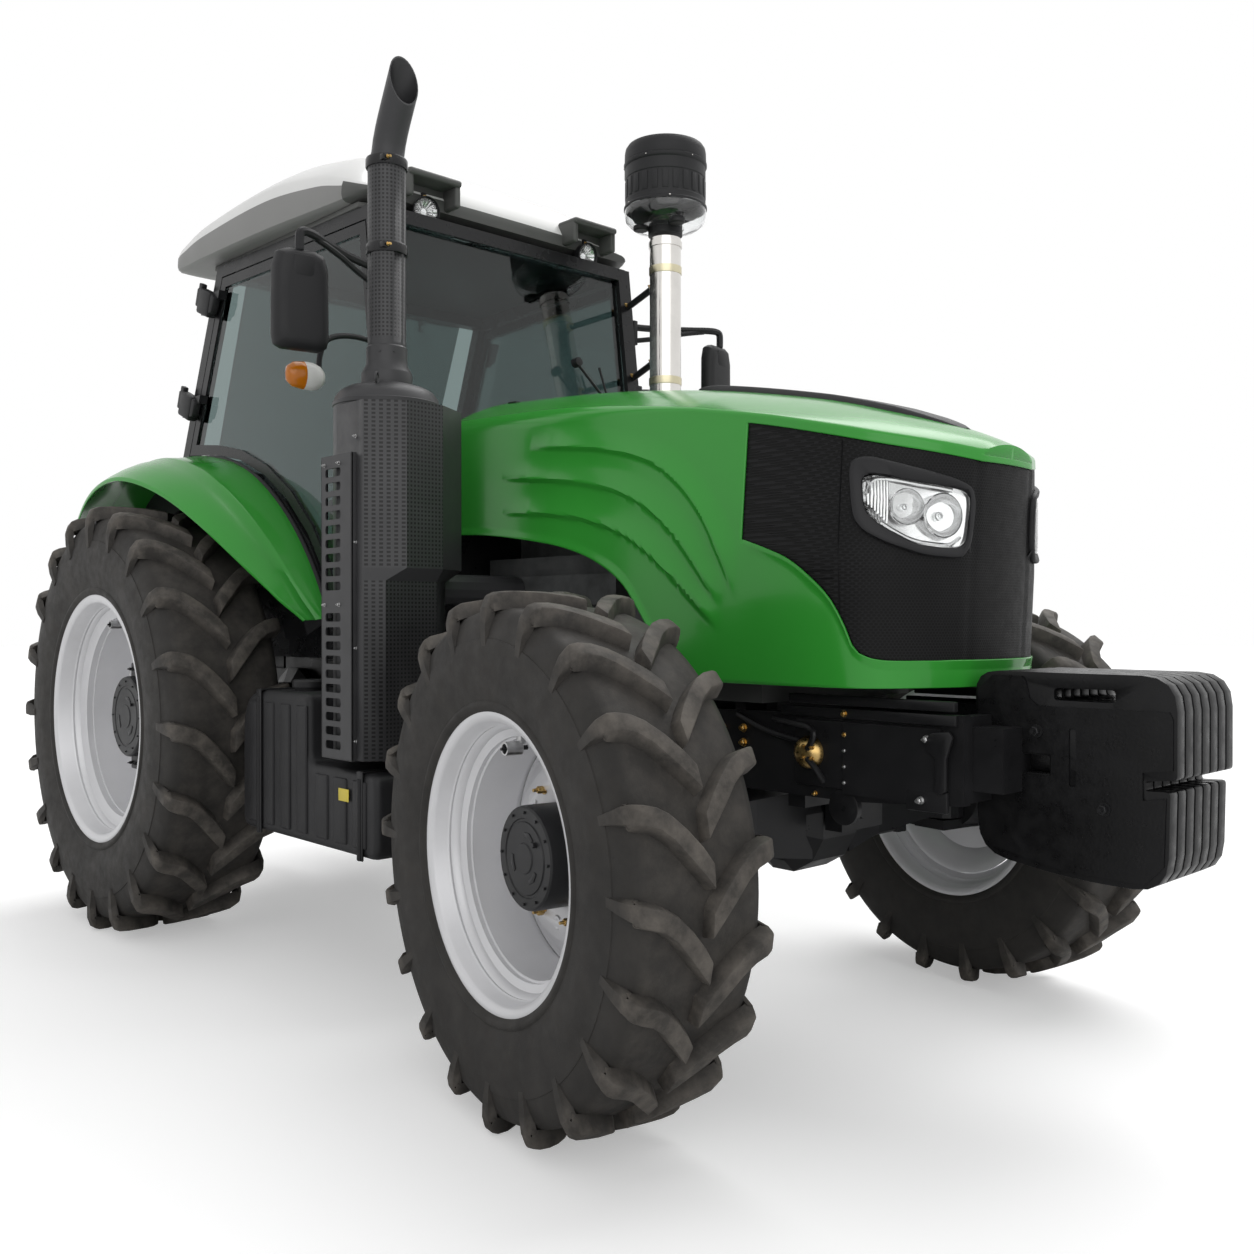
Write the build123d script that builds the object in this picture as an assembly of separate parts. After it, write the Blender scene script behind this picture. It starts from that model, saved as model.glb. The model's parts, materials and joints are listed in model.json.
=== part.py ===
"""Four-wheel-drive farm tractor with a closed cab, as separate named pieces.

Every piece is built with X forward from the rear axle line, Y to the left and Z up from the ground, and is
written out about the middle of the machine's length.
"""
from build123d import *
import math
import os

os.makedirs("parts", exist_ok=True)

# ---------------------------------------------------------------- driving sizes, in millimetres and degrees
wheelbase = 2746.0
front_reach = 4000.0            # front face of the ballast weights, ahead of the rear axle
rear_reach = 1050.0             # ends of the lower links, behind the rear axle
steer_rest = -8.3               # the front wheels stand turned a little to the right
running_gap = 0.05              # a shaft in its bore
seat_gap = 0.3                  # between pieces that rest on each other
motion_gap = 8.0                # between pieces that pass each other

# wheels: tyre radius to the lug tips, section and tread half widths, bead seat and flange radii
lugs_per_side = 18
wheel_sides = lugs_per_side     # one flat of the carcass under each bar
lug_half_turn = 1.9             # half width of a bar, as a turn about the axle
lug_sweep = 12.6                # turn from a bar's shoulder end to its middle end
front = dict(radius=675.0, section=189.0, tread=176.0, lug=38.0, bead=356.0, flange=381.0, rim=168.0,
             wall=22.0, disc=-30.0, disc_hole=90.0, wheel_track=979.1, cap_radius=133.0, cap_out=75.0)
rear = dict(radius=875.0, section=233.0, tread=222.0, lug=46.0, bead=483.0, flange=511.0, rim=214.0,
            wall=26.0, disc=-20.0, disc_hole=130.0, wheel_track=965.0, cap_radius=169.0, cap_out=85.0)
rim_wall = 9.0
rim_drop = 44.0                 # dropped middle of the rim below its seats
disc_thick = 12.0
disc_dish = 60.0                # the disc's outer part leans in by this much to the rim
kingpin_half = 800.0            # kingpin axis to the middle plane
kingpin_pin_radius = 26.0
knuckle_arm = 210.0             # kingpin axis to the tie rod pin
spindle_radius = 48.0
axle_end_radius = 78.0
axle_end_half = 92.0
tie_pin_radius = 16.0
axle_pivot_radius = 60.0

# rear axle and transmission
trumpet_radius = 104.0
trumpet_end = 700.0
half_shaft_radius = 50.0
shaft_in = 560.0                # inner ends of the half shafts, from the middle plane
gearbox_half = 250.0
gearbox_front_x, gearbox_rear = 1500.0, -430.0

# engine and front frame
engine_rear_x = gearbox_front_x
engine_front_x = wheelbase - 186.0
frame_half = 300.0              # outer faces of the side rails
rail_thick = 30.0
rail_z = (790.0, 1000.0)
weight_length = 440.0
frame_front_x = front_reach - weight_length - 60.0
engine_half = frame_half - rail_thick - seat_gap

# ballast weights
weight_count = 9
weight_thick = 52.0
weight_pitch = 60.0
weight_rear_x = front_reach - weight_length
weight_z = (672.0, 1155.0)
weight_hook = 24.0              # the weights' upper hook stands this far ahead of the frame's carrier

# cab: heights stand on its floor, and the wheel arch follows the rear tyre
floor_z = rear["radius"] + 255.0
roof_z = floor_z + 1670.0
cab_half_rear = 715.0           # outer faces of the side frames at the rear axle line
side_taper = 3.6                # each side frame closes in towards the front
pillar = 58.0
depth = 62.0                    # the side frames' thickness
a_low, a_high = (1385.0, floor_z + 510.0), (1235.0, roof_z)
c_low, c_high = (-262.0, floor_z + 560.0), (190.0, roof_z)
arch_radius = rear["radius"] + 243.0    # lower rear edge of the door, about the rear axle
floor_thick = 30.0
floor_rear_x = -180.0
scuttle_high = 60.0             # the firewall ends this far above the foot of the raked front pillars
door_thick = 34.0
door_rim = 42.0
glass_thick = 6.0
door_gap = 6.0
hinge_heights = (floor_z + 1087.0, floor_z + 1510.0)
hinge_out = 32.0                # hinge line outside the side frame's face
hinge_back = 8.0                # hinge line behind the door's rear edge
hinge_barrel = 18.0
hinge_pin = 8.0
roof_rail = 50.0
steering_radius = 195.0

# hood: distance behind the nose, crest and shoulder heights, half widths at and below the shoulder
hood_wall = 8.0
lamp_proud = 12.0
hood_low_z = 1102.0
hood_rear_x = a_low[0] + pillar + 19.0
hood_nose_x = frame_front_x - 48.0
hood_stations = [
    dict(x=hood_rear_x, crest=2122.0, shoulder=2020.0, top_half=418.0, side_half=436.0),
    dict(x=hood_nose_x - 1452.0, crest=2082.0, shoulder=1990.0, top_half=420.0, side_half=442.0),
    dict(x=hood_nose_x - 972.0, crest=2020.0, shoulder=1930.0, top_half=420.0, side_half=446.0),
    dict(x=hood_nose_x - 532.0, crest=1932.0, shoulder=1850.0, top_half=416.0, side_half=446.0),
    dict(x=hood_nose_x - 292.0, crest=1868.0, shoulder=1793.0, top_half=400.0, side_half=438.0),
    dict(x=hood_nose_x - 152.0, crest=1820.0, shoulder=1752.0, top_half=345.0, side_half=395.0),
    dict(x=hood_nose_x - 52.0, crest=1782.0, shoulder=1722.0, top_half=235.0, side_half=265.0),
    dict(x=hood_nose_x, crest=1752.0, shoulder=1700.0, top_half=120.0, side_half=130.0),
]
hood_hinge_x, hood_hinge_z = hood_rear_x + 68.0, 2062.0
hood_pin = 10.0
hood_hinge_half = 190.0
# the hood's cut over the front wheels, as distance behind the front axle and height
hood_arch = [(-1046, 1575), (-786, 1544), (-596, 1510), (-446, 1462), (-316, 1385), (-216, 1265), (-146, 1165), (-78, 1102)]
# the grille's edge on the side, as distance behind the nose and height
grille_line = [(-562, 1822), (-543, 1499), (-385, 1438), (-253, 1329), (-190, 1208), (-152, 1180)]
lamp_rim = [(-450, 1700), (-130, 1645), (-126, 1530), (-190, 1494), (-300, 1500), (-470, 1590)]
lamp_glass = [(-425, 1676), (-150, 1628), (-146, 1543), (-198, 1514), (-300, 1519), (-440, 1597)]

# fenders: angle from straight up, outer edge, and how far the three edges stand above the rear tyre
fender_thick = 7.0
fender_table = [
    dict(angle=-34.0, outer=1085.0, inner_r=200.0, crease_r=175.0, outer_r=90.0),
    dict(angle=-15.0, outer=1110.0, inner_r=230.0, crease_r=208.0, outer_r=110.0),
    dict(angle=0.0, outer=1105.0, inner_r=237.0, crease_r=218.0, outer_r=120.0),
    dict(angle=18.0, outer=1065.0, inner_r=230.0, crease_r=203.0, outer_r=110.0),
    dict(angle=36.0, outer=1000.0, inner_r=213.0, crease_r=187.0, outer_r=110.0),
    dict(angle=50.0, outer=925.0, inner_r=207.0, crease_r=185.0, outer_r=130.0),
    dict(angle=62.0, outer=830.0, inner_r=210.0, crease_r=197.0, outer_r=170.0),
    dict(angle=68.0, outer=760.0, inner_r=215.0, crease_r=211.0, outer_r=203.0),
]

# exhaust and intake
muffler_x, muffler_y, muffler_radius = 1680.0, -820.0, 172.0
muffler_z = (832.0, 2050.0)
outlet_z, outlet_radius = 1380.0, 52.0
shield_gap = 4.0                # heat shield to the muffler
exhaust_pipe_radius = 62.0
exhaust_top_z = 2780.0
exhaust_tip_z = 3110.0
exhaust_tip_radius = 50.0
intake_x, intake_y, intake_radius = 1625.0, 525.0, 65.0
intake_top_z = 2850.0
precleaner_radius = 170.0
precleaner_z = (2930.0, 3215.0)
stay_heights = (2330.0, 2640.0)

# tank, battery box and steps
side_box_y = (480.0, 980.0)     # inner and outer faces of the tank and the steps
tank_x = (950.0, 1880.0)
tank_z = (530.0, 800.0, 1030.0)
step_x = (960.0, 1420.0)
battery_x = (1424.0, 1850.0)
step_heights = (450.0, 720.0, 990.0)

# hitch: the lift arms, lift rods and lower links form a parallelogram
link_pivot = (-330.0, 560.0)    # lower link pivots: X, Z
lift_pivot = (-330.0, 1165.0)   # rockshaft: X, Z
lift_arm = 330.0                # rockshaft to the rod pin, and lower link pivot to its rod pin
link_slope = -14.0              # lower links and lift arms at rest, from level
link_ball_radius = 34.0
link_length = rear_reach - link_ball_radius + link_pivot[0]
link_half = 400.0
link_hole_radius = 14.2
link_pin_radius = 16.0
lift_pin = 14.0
lift_half = link_half - 100.0   # lift arms and lift rods stand inside the lower links
rockshaft_radius = 40.0
open_eye_gap = 1.5              # clearance in an eye where a closed linkage is opened
drawbar_end, drawbar_z, drawbar_hole = -780.0, 400.0, 16.5
pto_z, pto_radius = 700.0, 17.45
pto_neck = 22.0                 # the shaft behind its collar
top_hole_radius = 12.85
top_pin_radius = 12.0
top_link_pivot = (-500.0, 960.0)
top_link_length = 540.0
top_link_slope = 8.0

x_middle = (front_reach - rear_reach) / 2

made = {}


def put(node, *shapes):
    """Write one node from its solids."""
    solids = []
    for shape in shapes:
        solids += list(shape.solids())
    placed = [s.moved(Location((-x_middle, 0, 0))) for s in solids]
    whole = Compound(children=placed) if len(placed) > 1 else placed[0]
    made[node] = whole
    export_step(whole, f"parts/{node}.step")


def box(x, y, z):
    """A block between two X, two Y and two Z values."""
    size = (x[1] - x[0], y[1] - y[0], z[1] - z[0])
    return Pos(x[0] + size[0] / 2, y[0] + size[1] / 2, z[0] + size[2] / 2) * Box(*size)


def across(side, a, b):
    """Two distances from the middle plane as a rising pair of Y values, on the right (-1) or left (1)."""
    return tuple(sorted((side * a, side * b)))


def side_plate(points, y):
    """A plate cut to an outline of (x, z) points, between two Y values."""
    face = make_face(Polyline(*[(px, y[0], pz) for px, pz in points], close=True))
    return extrude(face, amount=y[1] - y[0], dir=(0, 1, 0))


def floor_plate(points, z):
    """A plate cut to an outline of (x, y) points, between two heights."""
    face = make_face(Polyline(*[(px, py, z[0]) for px, py in points], close=True))
    return extrude(face, amount=z[1] - z[0], dir=(0, 0, 1))


def front_plate(points, x):
    """A plate cut to an outline of (y, z) points, between two X values."""
    face = make_face(Polyline(*[(x[0], py, pz) for py, pz in points], close=True))
    return extrude(face, amount=x[1] - x[0], dir=(1, 0, 0))


def rod(start, end, radius):
    """A true round bar or bore between two points, for pins, shafts and what they run in."""
    a, b = Vector(*start), Vector(*end)
    along = b - a
    return extrude(Plane(origin=a, z_dir=along) * Circle(radius), amount=along.length)


def mirrored(shape):
    """The same piece on the other side of the machine."""
    return mirror(shape, about=Plane.XZ)


def pair(shape):
    return [shape, mirrored(shape)]


def panel(corners):
    """A four-sided face, or two three-sided ones where its corners don't lie flat."""
    a, b, c, d = corners
    normal = (b - a).cross(d - a)
    if normal.length < 1e-6 or (c - b).length < 1e-6:
        return [Face(Wire.make_polygon([p for i, p in enumerate(corners) if (p - corners[i - 1]).length > 1e-6]))]
    if abs((c - a).dot(normal.normalized())) < 1e-4:
        return [Face(Wire.make_polygon(corners))]
    return [Face(Wire.make_polygon([a, b, c])), Face(Wire.make_polygon([a, c, d]))]


def section_loft(sections, closed=False):
    """A solid with flat panels between matching closed outlines; a closed one runs round to its start."""
    rings = [[Vector(*p) for p in outline] for outline in sections]
    count = len(rings[0])
    faces = []
    for k in range(len(rings) if closed else len(rings) - 1):
        here, there = rings[k], rings[(k + 1) % len(rings)]
        for i in range(count):
            j = (i + 1) % count
            faces += panel([here[i], here[j], there[j], there[i]])
    if not closed:
        faces += [Face(Wire.make_polygon(rings[0])), Face(Wire.make_polygon(rings[-1]))]
    return Solid(Shell(faces)).fix()


def spokes_about(along, sides):
    """Unit spokes square to a direction, one to each corner of a many-sided bar."""
    side = along.cross(Vector(0, 0, 1) if abs(along.Z) < 0.9 else Vector(1, 0, 0)).normalized()
    up = along.cross(side)
    turns = [2 * math.pi * (k + 0.5) / sides for k in range(sides)]
    return [side * math.cos(a) + up * math.sin(a) for a in turns]


def tube(points, radius, sides=8):
    """A many-sided bar along straight runs, mitred at each corner."""
    stops = [Vector(*p) for p in points]
    runs = [(b - a).normalized() for a, b in zip(stops, stops[1:])]
    spokes = [s * radius for s in spokes_about(runs[0], sides)]
    rings = [[stops[0] + s for s in spokes]]
    for i, stop in enumerate(stops[1:]):
        if i + 1 < len(runs):
            mitre = (runs[i] + runs[i + 1]).normalized()
            spokes = [s - runs[i] * (s.dot(mitre) / runs[i].dot(mitre)) for s in spokes]
        rings.append([stop + s for s in spokes])
        if i + 1 < len(runs):
            spokes = [s - runs[i + 1] * s.dot(runs[i + 1]) for s in spokes]
    return section_loft(rings)


def turned(rows, start, along, sides=12):
    """A many-sided turned piece from rows of (distance, radius) along a line."""
    axis = Vector(*along).normalized()
    spokes = spokes_about(axis, sides)
    return section_loft([[Vector(*start) + axis * distance + s * radius for s in spokes] for distance, radius in rows])


def bent(points, reach, steps=2):
    """Rounds each inner corner of a route with a few short runs that start `reach` before it."""
    stops = [Vector(*p) for p in points]
    route = [stops[0]]
    for a, b, c in zip(stops, stops[1:], stops[2:]):
        first, last = b - (b - a).normalized() * reach, b + (c - b).normalized() * reach
        for k in range(steps + 1):
            t = k / steps
            route.append(first * (1 - t) ** 2 + b * (2 * t * (1 - t)) + last * t ** 2)
    route.append(stops[-1])
    return route


def wheel_turns():
    """The turns of a wheel's many-sided outline, one side under each tread bar."""
    return [math.radians(360 * i / wheel_sides - lug_half_turn - 0.6) for i in range(wheel_sides)]


def wheel_ring(profile):
    """A many-sided ring about the Y axis from a closed outline of (y, radius) points."""
    return section_loft([[(r * math.sin(t), y, r * math.cos(t)) for y, r in profile] for t in wheel_turns()], closed=True)


def wheel_drum(rows):
    """A solid many-sided drum about the Y axis from rows of (y, radius), with the ring's own sides."""
    return section_loft([[(r * math.sin(t), y, r * math.cos(t)) for t in wheel_turns()] for y, r in rows])


# ---------------------------------------------------------------- wheels, built about their own centre, outboard is -Y
def make_lug(w, turn, out):
    """One tread bar: it runs in from the shoulder, then bends and slants to the middle."""
    top, foot = w["radius"], w["radius"] - w["lug"] - 16
    half = lug_sweep / 2
    flat = top * math.cos(math.radians(half + lug_half_turn))
    rows = [(w["tread"], -half), (0.56 * w["tread"], -0.6 * half), (-0.02 * w["tread"], half)]
    ring = [(top * math.sin(math.radians(t - lug_half_turn)), out * y) for y, t in rows]
    ring += [(top * math.sin(math.radians(t + lug_half_turn)), out * y) for y, t in reversed(rows)]
    bar = section_loft([[(x, y, foot) for x, y in ring], [(x, y, flat) for x, y in ring]])
    return Rot(0, turn + half, 0) * bar


def make_tyre(w):
    """A hollow carcass with two rows of tread bars, half a pitch apart."""
    base = w["radius"] - w["lug"]
    side = (base + w["bead"]) / 2 + 30
    outer = [(w["tread"] + 2, base - 4), (w["section"], side), (w["rim"] - 12, w["bead"])]
    bead_in = w["rim"] - 12 - 1.4 * w["wall"]
    crown = [(0, base - 2.2 * w["wall"])]
    half = outer + [(bead_in, w["bead"])]
    carcass = wheel_ring(half + crown + [(-y, r) for y, r in reversed(half)])
    pitch = 360 / lugs_per_side
    lugs = []
    for i in range(lugs_per_side):
        lugs.append(make_lug(w, i * pitch, -1))
        lugs.append(make_lug(w, (i + 0.5) * pitch, 1))
    return carcass.fuse(*lugs)


def make_rim(w):
    """A barrel with a dropped middle and two flanges, on a dished disc."""
    seat, edge = w["bead"], w["rim"]
    drop = seat - rim_drop
    half = [(0.5 * edge, drop), (0.62 * edge, seat), (edge - 12, seat), (edge, w["flange"]),
            (edge - 2, seat - rim_wall), (0.5 * edge, drop - rim_wall)]
    barrel = wheel_ring(half + [(-y, r) for y, r in reversed(half)])
    d, t = -w["disc"], disc_thick / 2
    root = drop - rim_wall + 3
    disc = wheel_ring([(d + t + disc_dish, root), (d + t, root - 74), (d + t, w["disc_hole"]), (d - t, w["disc_hole"]),
                       (d - t, root - 82), (d - t + disc_dish - 10, root)])
    return barrel + disc


def wheel_at(shape, right, x, track, radius, angle):
    """Place a right-hand wheel piece, or its mirror image, at the axle's end."""
    piece = shape if right else mirrored(shape)
    return Pos(x, -track if right else track, radius) * Rot(0, 0, angle) * piece


def steered(local, right):
    """Place a piece built about the kingpin's foot point, outboard -Y, at its kingpin and rest angle."""
    piece = local if right else mirrored(local)
    return Pos(wheelbase, -kingpin_half if right else kingpin_half, 0) * Rot(0, 0, steer_rest) * piece


wheel_offset = (front["wheel_track"] - kingpin_half) / math.cos(math.radians(steer_rest))


def in_wheel(shape):
    """From a wheel's centre to its kingpin's foot point."""
    return Pos(0, -wheel_offset, front["radius"]) * shape


front_tyre, rear_tyre = make_tyre(front), make_tyre(rear)
front_rim, rear_rim = make_rim(front), make_rim(rear)
for right, name in ((True, "right"), (False, "left")):
    put(f"tyre_front_{name}", steered(in_wheel(front_tyre), right))
    put(f"rim_front_{name}", steered(in_wheel(front_rim), right))
    put(f"tyre_rear_{name}", wheel_at(rear_tyre, right, 0, rear["wheel_track"], rear["radius"], 0))
    put(f"rim_rear_{name}", wheel_at(rear_rim, right, 0, rear["wheel_track"], rear["radius"], 0))


# hubs: a drum on each side of the disc, through its hole; the front one runs on the knuckle's spindle
def make_hub(w, inner_end, drum):
    back, face = -w["disc"] + disc_thick / 2 + seat_gap, -w["disc"] - disc_thick / 2 - seat_gap
    spigot = w["disc_hole"] - seat_gap
    return wheel_drum([(inner_end, drum), (back, drum), (back, spigot), (face, spigot), (face, w["cap_radius"]),
                       (15 - w["cap_out"], w["cap_radius"]), (-w["cap_out"], 0.86 * w["cap_radius"])])


wall_out = 118.0                # outer face of the knuckle's wall, from the kingpin axis
hub_in = wheel_offset - wall_out - motion_gap    # inner end of the front hub, from the wheel's centre
front_hub = make_hub(front, hub_in, front["disc_hole"] + 52)
front_hub -= rod((0, hub_in + 1, 0), (0, hub_in - 60, 0), spindle_radius + running_gap)
rear_hub = make_hub(rear, -rear["disc"] + 60, rear["disc_hole"] + 46)
rear_hub += rod((0, rear["wheel_track"] - shaft_in, 0), (0, -rear["disc"], 0), half_shaft_radius)
clamp_face = -rear["disc"] - disc_thick / 2 - seat_gap
for s in (-1, 1):
    rear_hub += box(across(s, 60, 224), (clamp_face - 62, clamp_face), (-46, 46))
for right, name in ((True, "right"), (False, "left")):
    put(f"hub_front_{name}", steered(in_wheel(front_hub), right))
    put(f"hub_rear_{name}", wheel_at(rear_hub, right, 0, rear["wheel_track"], rear["radius"], 0))

# ---------------------------------------------------------------- front axle, knuckles and tie rod
axle_z = front["radius"]
trunnion_z = rail_z[0] - 40.0
trunnion_reach = 250.0
beam = turned([(-115, 120), (-80, 158), (80, 158), (115, 120)], (wheelbase, 0, axle_z - 8), (0, 1, 0), 12)
beam += box((wheelbase - 60, wheelbase + 60), (-70, 70), (axle_z + 60, trunnion_z))
beam += turned([(0, axle_pivot_radius), (2 * trunnion_reach, axle_pivot_radius)], (wheelbase - trunnion_reach, 0, trunnion_z), (1, 0, 0))
for s in (-1, 1):
    beam += section_loft([
        [(wheelbase - w, s * y, axle_z - h - d), (wheelbase + w, s * y, axle_z - h - d),
         (wheelbase + w, s * y, axle_z + h - d), (wheelbase - w, s * y, axle_z + h - d)]
        for y, w, h, d in ((90, 120, 104, 6), (300, 84, 84, 0), (kingpin_half - 40, 60, 66, 0))])
    beam += turned([(0, axle_end_radius), (2 * axle_end_half, axle_end_radius)], (wheelbase, s * kingpin_half, axle_z - axle_end_half),
                   (0, 0, 1), 16)
    beam -= rod((wheelbase, s * kingpin_half, axle_z - axle_end_half - 1),
                (wheelbase, s * kingpin_half, axle_z + axle_end_half + 1), kingpin_pin_radius + running_gap)
put("front_axle", beam)

ear_gap = 6.0
ear_thick = 34.0
ear_low = axle_z - axle_end_half - ear_gap
ear_high = axle_z + axle_end_half + ear_gap
knuckle = box((-66, 66), (-wall_out, 66), (ear_high, ear_high + ear_thick))
knuckle += box((-66, 66), (-wall_out, 66), (ear_low - ear_thick, ear_low))
knuckle += box((-66, 66), (-wall_out, -axle_end_radius - 12), (ear_low - ear_thick, ear_high + ear_thick))
knuckle += rod((0, -100, axle_z), (0, -wheel_offset + hub_in - 52, axle_z), spindle_radius)
knuckle += rod((0, 0, ear_high + 10), (0, 0, axle_z + 16), kingpin_pin_radius)
knuckle += rod((0, 0, ear_low - 10), (0, 0, axle_z - 16), kingpin_pin_radius)
tie_z = ear_low - ear_thick / 2
arm_end = -knuckle_arm
knuckle += floor_plate([(arm_end - 30, -26), (arm_end - 30, 26), (-60, 58), (-60, -58)], (tie_z - 17, tie_z + 17))
knuckle += rod((arm_end, 0, tie_z - 66), (arm_end, 0, tie_z - 5), tie_pin_radius)
for right, name in ((True, "right"), (False, "left")):
    put(f"knuckle_{name}", steered(knuckle, right))

turn = math.radians(steer_rest)
tie_x = wheelbase - knuckle_arm * math.cos(turn)
tie_y = -knuckle_arm * math.sin(turn)
tie = tube([(tie_x, -kingpin_half + tie_y + 22, tie_z - 43), (tie_x, kingpin_half + tie_y - 22, tie_z - 43)], 19)
for s, gap in ((-1, running_gap), (1, open_eye_gap)):
    tie += turned([(0, 34), (36, 34)], (tie_x, s * kingpin_half + tie_y, tie_z - 61), (0, 0, 1))
    tie -= rod((tie_x, s * kingpin_half + tie_y, tie_z - 80), (tie_x, s * kingpin_half + tie_y, tie_z), tie_pin_radius + gap)
put("tie_rod", tie)

# ---------------------------------------------------------------- front frame, weights
inner = frame_half - rail_thick
rail_rear_x = engine_front_x - 260.0
rail_front_z = rail_z[1] + 40.0
rail = side_plate([(rail_rear_x, rail_z[0] + 40), (rail_rear_x, rail_z[1]), (frame_front_x, rail_front_z),
                   (frame_front_x, rail_z[0] + 25), (frame_front_x - 340, rail_z[0]), (rail_rear_x + 200, rail_z[0])],
                  (-frame_half, -inner))
frame_parts = rail + mirrored(rail)
radiator_z = rail_z[1] + 44.0
radiator_x = (wheelbase - 46.0, wheelbase + 154.0)
frame_parts += box((frame_front_x - 40, frame_front_x), (-inner, inner), (rail_z[0] + 30, rail_front_z - 4))
frame_parts += box((rail_rear_x + 220, rail_rear_x + 250), (-inner, inner), (rail_z[0] + 40, rail_z[1] - 20))
frame_parts += box((wheelbase + 274, wheelbase + 314), (-inner, inner), (rail_z[0] + 5, rail_z[1] - 60))
for x in (radiator_x[0] + 20, radiator_x[1] - 60):
    frame_parts += box((x, x + 40), (-inner, inner), (rail_z[1] - 60, radiator_z - seat_gap))
for x0 in (wheelbase - trunnion_reach + 15, wheelbase + trunnion_reach - 75):
    bearing = box((x0, x0 + 60), (-inner, inner), (trunnion_z, rail_z[0] + 60))
    bearing += box((x0, x0 + 60), (-100, 100), (trunnion_z - 90, trunnion_z))
    bearing -= turned([(0, axle_pivot_radius + seat_gap), (62, axle_pivot_radius + seat_gap)], (x0 - 1, 0, trunnion_z), (1, 0, 0))
    frame_parts += bearing
for s in (-1, 1):
    frame_parts += box((frame_front_x - 360, frame_front_x - 60), across(s, frame_half - 1, frame_half + 12), (rail_z[0] + 20, rail_z[1] + 4))
carrier_x = weight_rear_x + weight_hook - seat_gap
frame_parts += box((frame_front_x, carrier_x), (-inner + 10, inner - 10), (rail_z[0] + 60, rail_z[1] + 10))
put("front_frame", frame_parts)

zl, zh = weight_z
slab_outline = [(weight_rear_x + 60, zl + 20), (weight_rear_x + 30, zl + 130), (weight_rear_x + 150, zl + 130),
                (weight_rear_x + 150, zl + 175), (weight_rear_x + weight_hook, zl + 175), (weight_rear_x + weight_hook, zh - 60),
                (weight_rear_x + 70, zh), (front_reach - 70, zh), (front_reach, zh - 60), (front_reach, zl + 250),
                (front_reach - 60, zl + 240), (front_reach - 10, zl + 205), (front_reach - 10, zl + 60),
                (front_reach - 70, zl), (weight_rear_x + 110, zl)]
bar_gap = weight_pitch - weight_thick
slabs = []
for i in range(weight_count):
    y = (i - (weight_count - 1) / 2) * weight_pitch
    slab = side_plate(slab_outline, (y - weight_thick / 2, y + weight_thick / 2))
    low_end = y - weight_thick / 2 - (12 if i == 0 else bar_gap)
    for x, z in ((weight_rear_x + 110, zh - 130), (weight_rear_x + 265, zl + 150)):
        slab += box((x - 13, x + 13), (low_end, y - weight_thick / 2), (z - 13, z + 13))
        if i == weight_count - 1:
            slab += box((x - 13, x + 13), (y + weight_thick / 2, y + weight_thick / 2 + 12), (z - 13, z + 13))
    slabs.append(slab)
put("front_weights", slabs[0].fuse(*slabs[1:]))

# ---------------------------------------------------------------- engine, radiator, transmission
block_top = 1500.0
manifold_reach = 60.0
engine_end = engine_front_x - 160.0
engine = box((engine_rear_x + seat_gap, engine_end), (-engine_half, engine_half), (760, block_top))
engine += box((engine_rear_x + 60, engine_end - 60), (-engine_half + 60, engine_half - 60), (560, 760))
engine += box((engine_rear_x + 60, engine_end - 60), (-170, 170), (block_top, block_top + 160))
engine += box((engine_end, engine_end + 100), (-180, 180), (820, block_top - 80))
engine += box((engine_rear_x + 100, engine_end - 140), (-engine_half - manifold_reach, -engine_half), (outlet_z - 50, outlet_z + 50))
put("engine", engine)
radiator = box(radiator_x, (-360, 360), (radiator_z, radiator_z + 720))
radiator += box((radiator_x[0] - 40, radiator_x[0]), (-300, 300), (radiator_z + 40, radiator_z + 660))
put("radiator", radiator)

axle_height = rear["radius"]
gearbox_profile = [(gearbox_rear, 560), (gearbox_rear, 1050), (-150, 1050), (-150, floor_z - 20), (560, floor_z - 40),
                   (900, floor_z - 70), (gearbox_front_x, 1010), (gearbox_front_x, 600), (700, 540), (250, 470), (-250, 470)]
gearbox = side_plate(gearbox_profile, (-gearbox_half, gearbox_half))
for s in (-1, 1):
    gearbox += turned([(gearbox_half - 20, 190), (gearbox_half + 40, 190), (gearbox_half + 70, trumpet_radius + 20),
                       (trumpet_end - 60, trumpet_radius), (trumpet_end - 45, trumpet_radius + 45), (trumpet_end, trumpet_radius + 45)],
                      (0, 0, axle_height), (0, s, 0))
    gearbox -= rod((0, s * (shaft_in - 1), axle_height), (0, s * (trumpet_end + 1), axle_height), half_shaft_radius + running_gap)
    gearbox += box((-60, 60), across(s, 430, 530), (axle_height + trumpet_radius - 30, floor_z - seat_gap))
    gearbox += box((gearbox_front_x - 170, gearbox_front_x - 70), across(s, 130, 230), (1000, floor_z - seat_gap))
    gearbox += box((link_pivot[0] - 60, link_pivot[0] + 60), across(s, gearbox_half - 10, link_half - 40),
                   (link_pivot[1] - 40, link_pivot[1] + 60))
    gearbox += rod((link_pivot[0], s * (link_half - 50), link_pivot[1]), (link_pivot[0], s * (link_half + 34), link_pivot[1]),
                   link_pin_radius)
    gearbox += box((lift_pivot[0] - 58, lift_pivot[0] + 58), across(s, 130, 200), (1040, lift_pivot[1] + 58))
    gearbox -= rod((lift_pivot[0], s * 129, lift_pivot[1]), (lift_pivot[0], s * 201, lift_pivot[1]), rockshaft_radius + running_gap)
gearbox -= rod((gearbox_rear - 1, 0, pto_z), (gearbox_rear + 60, 0, pto_z), pto_neck + running_gap)
put("rear_axle_housing", gearbox)

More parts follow.
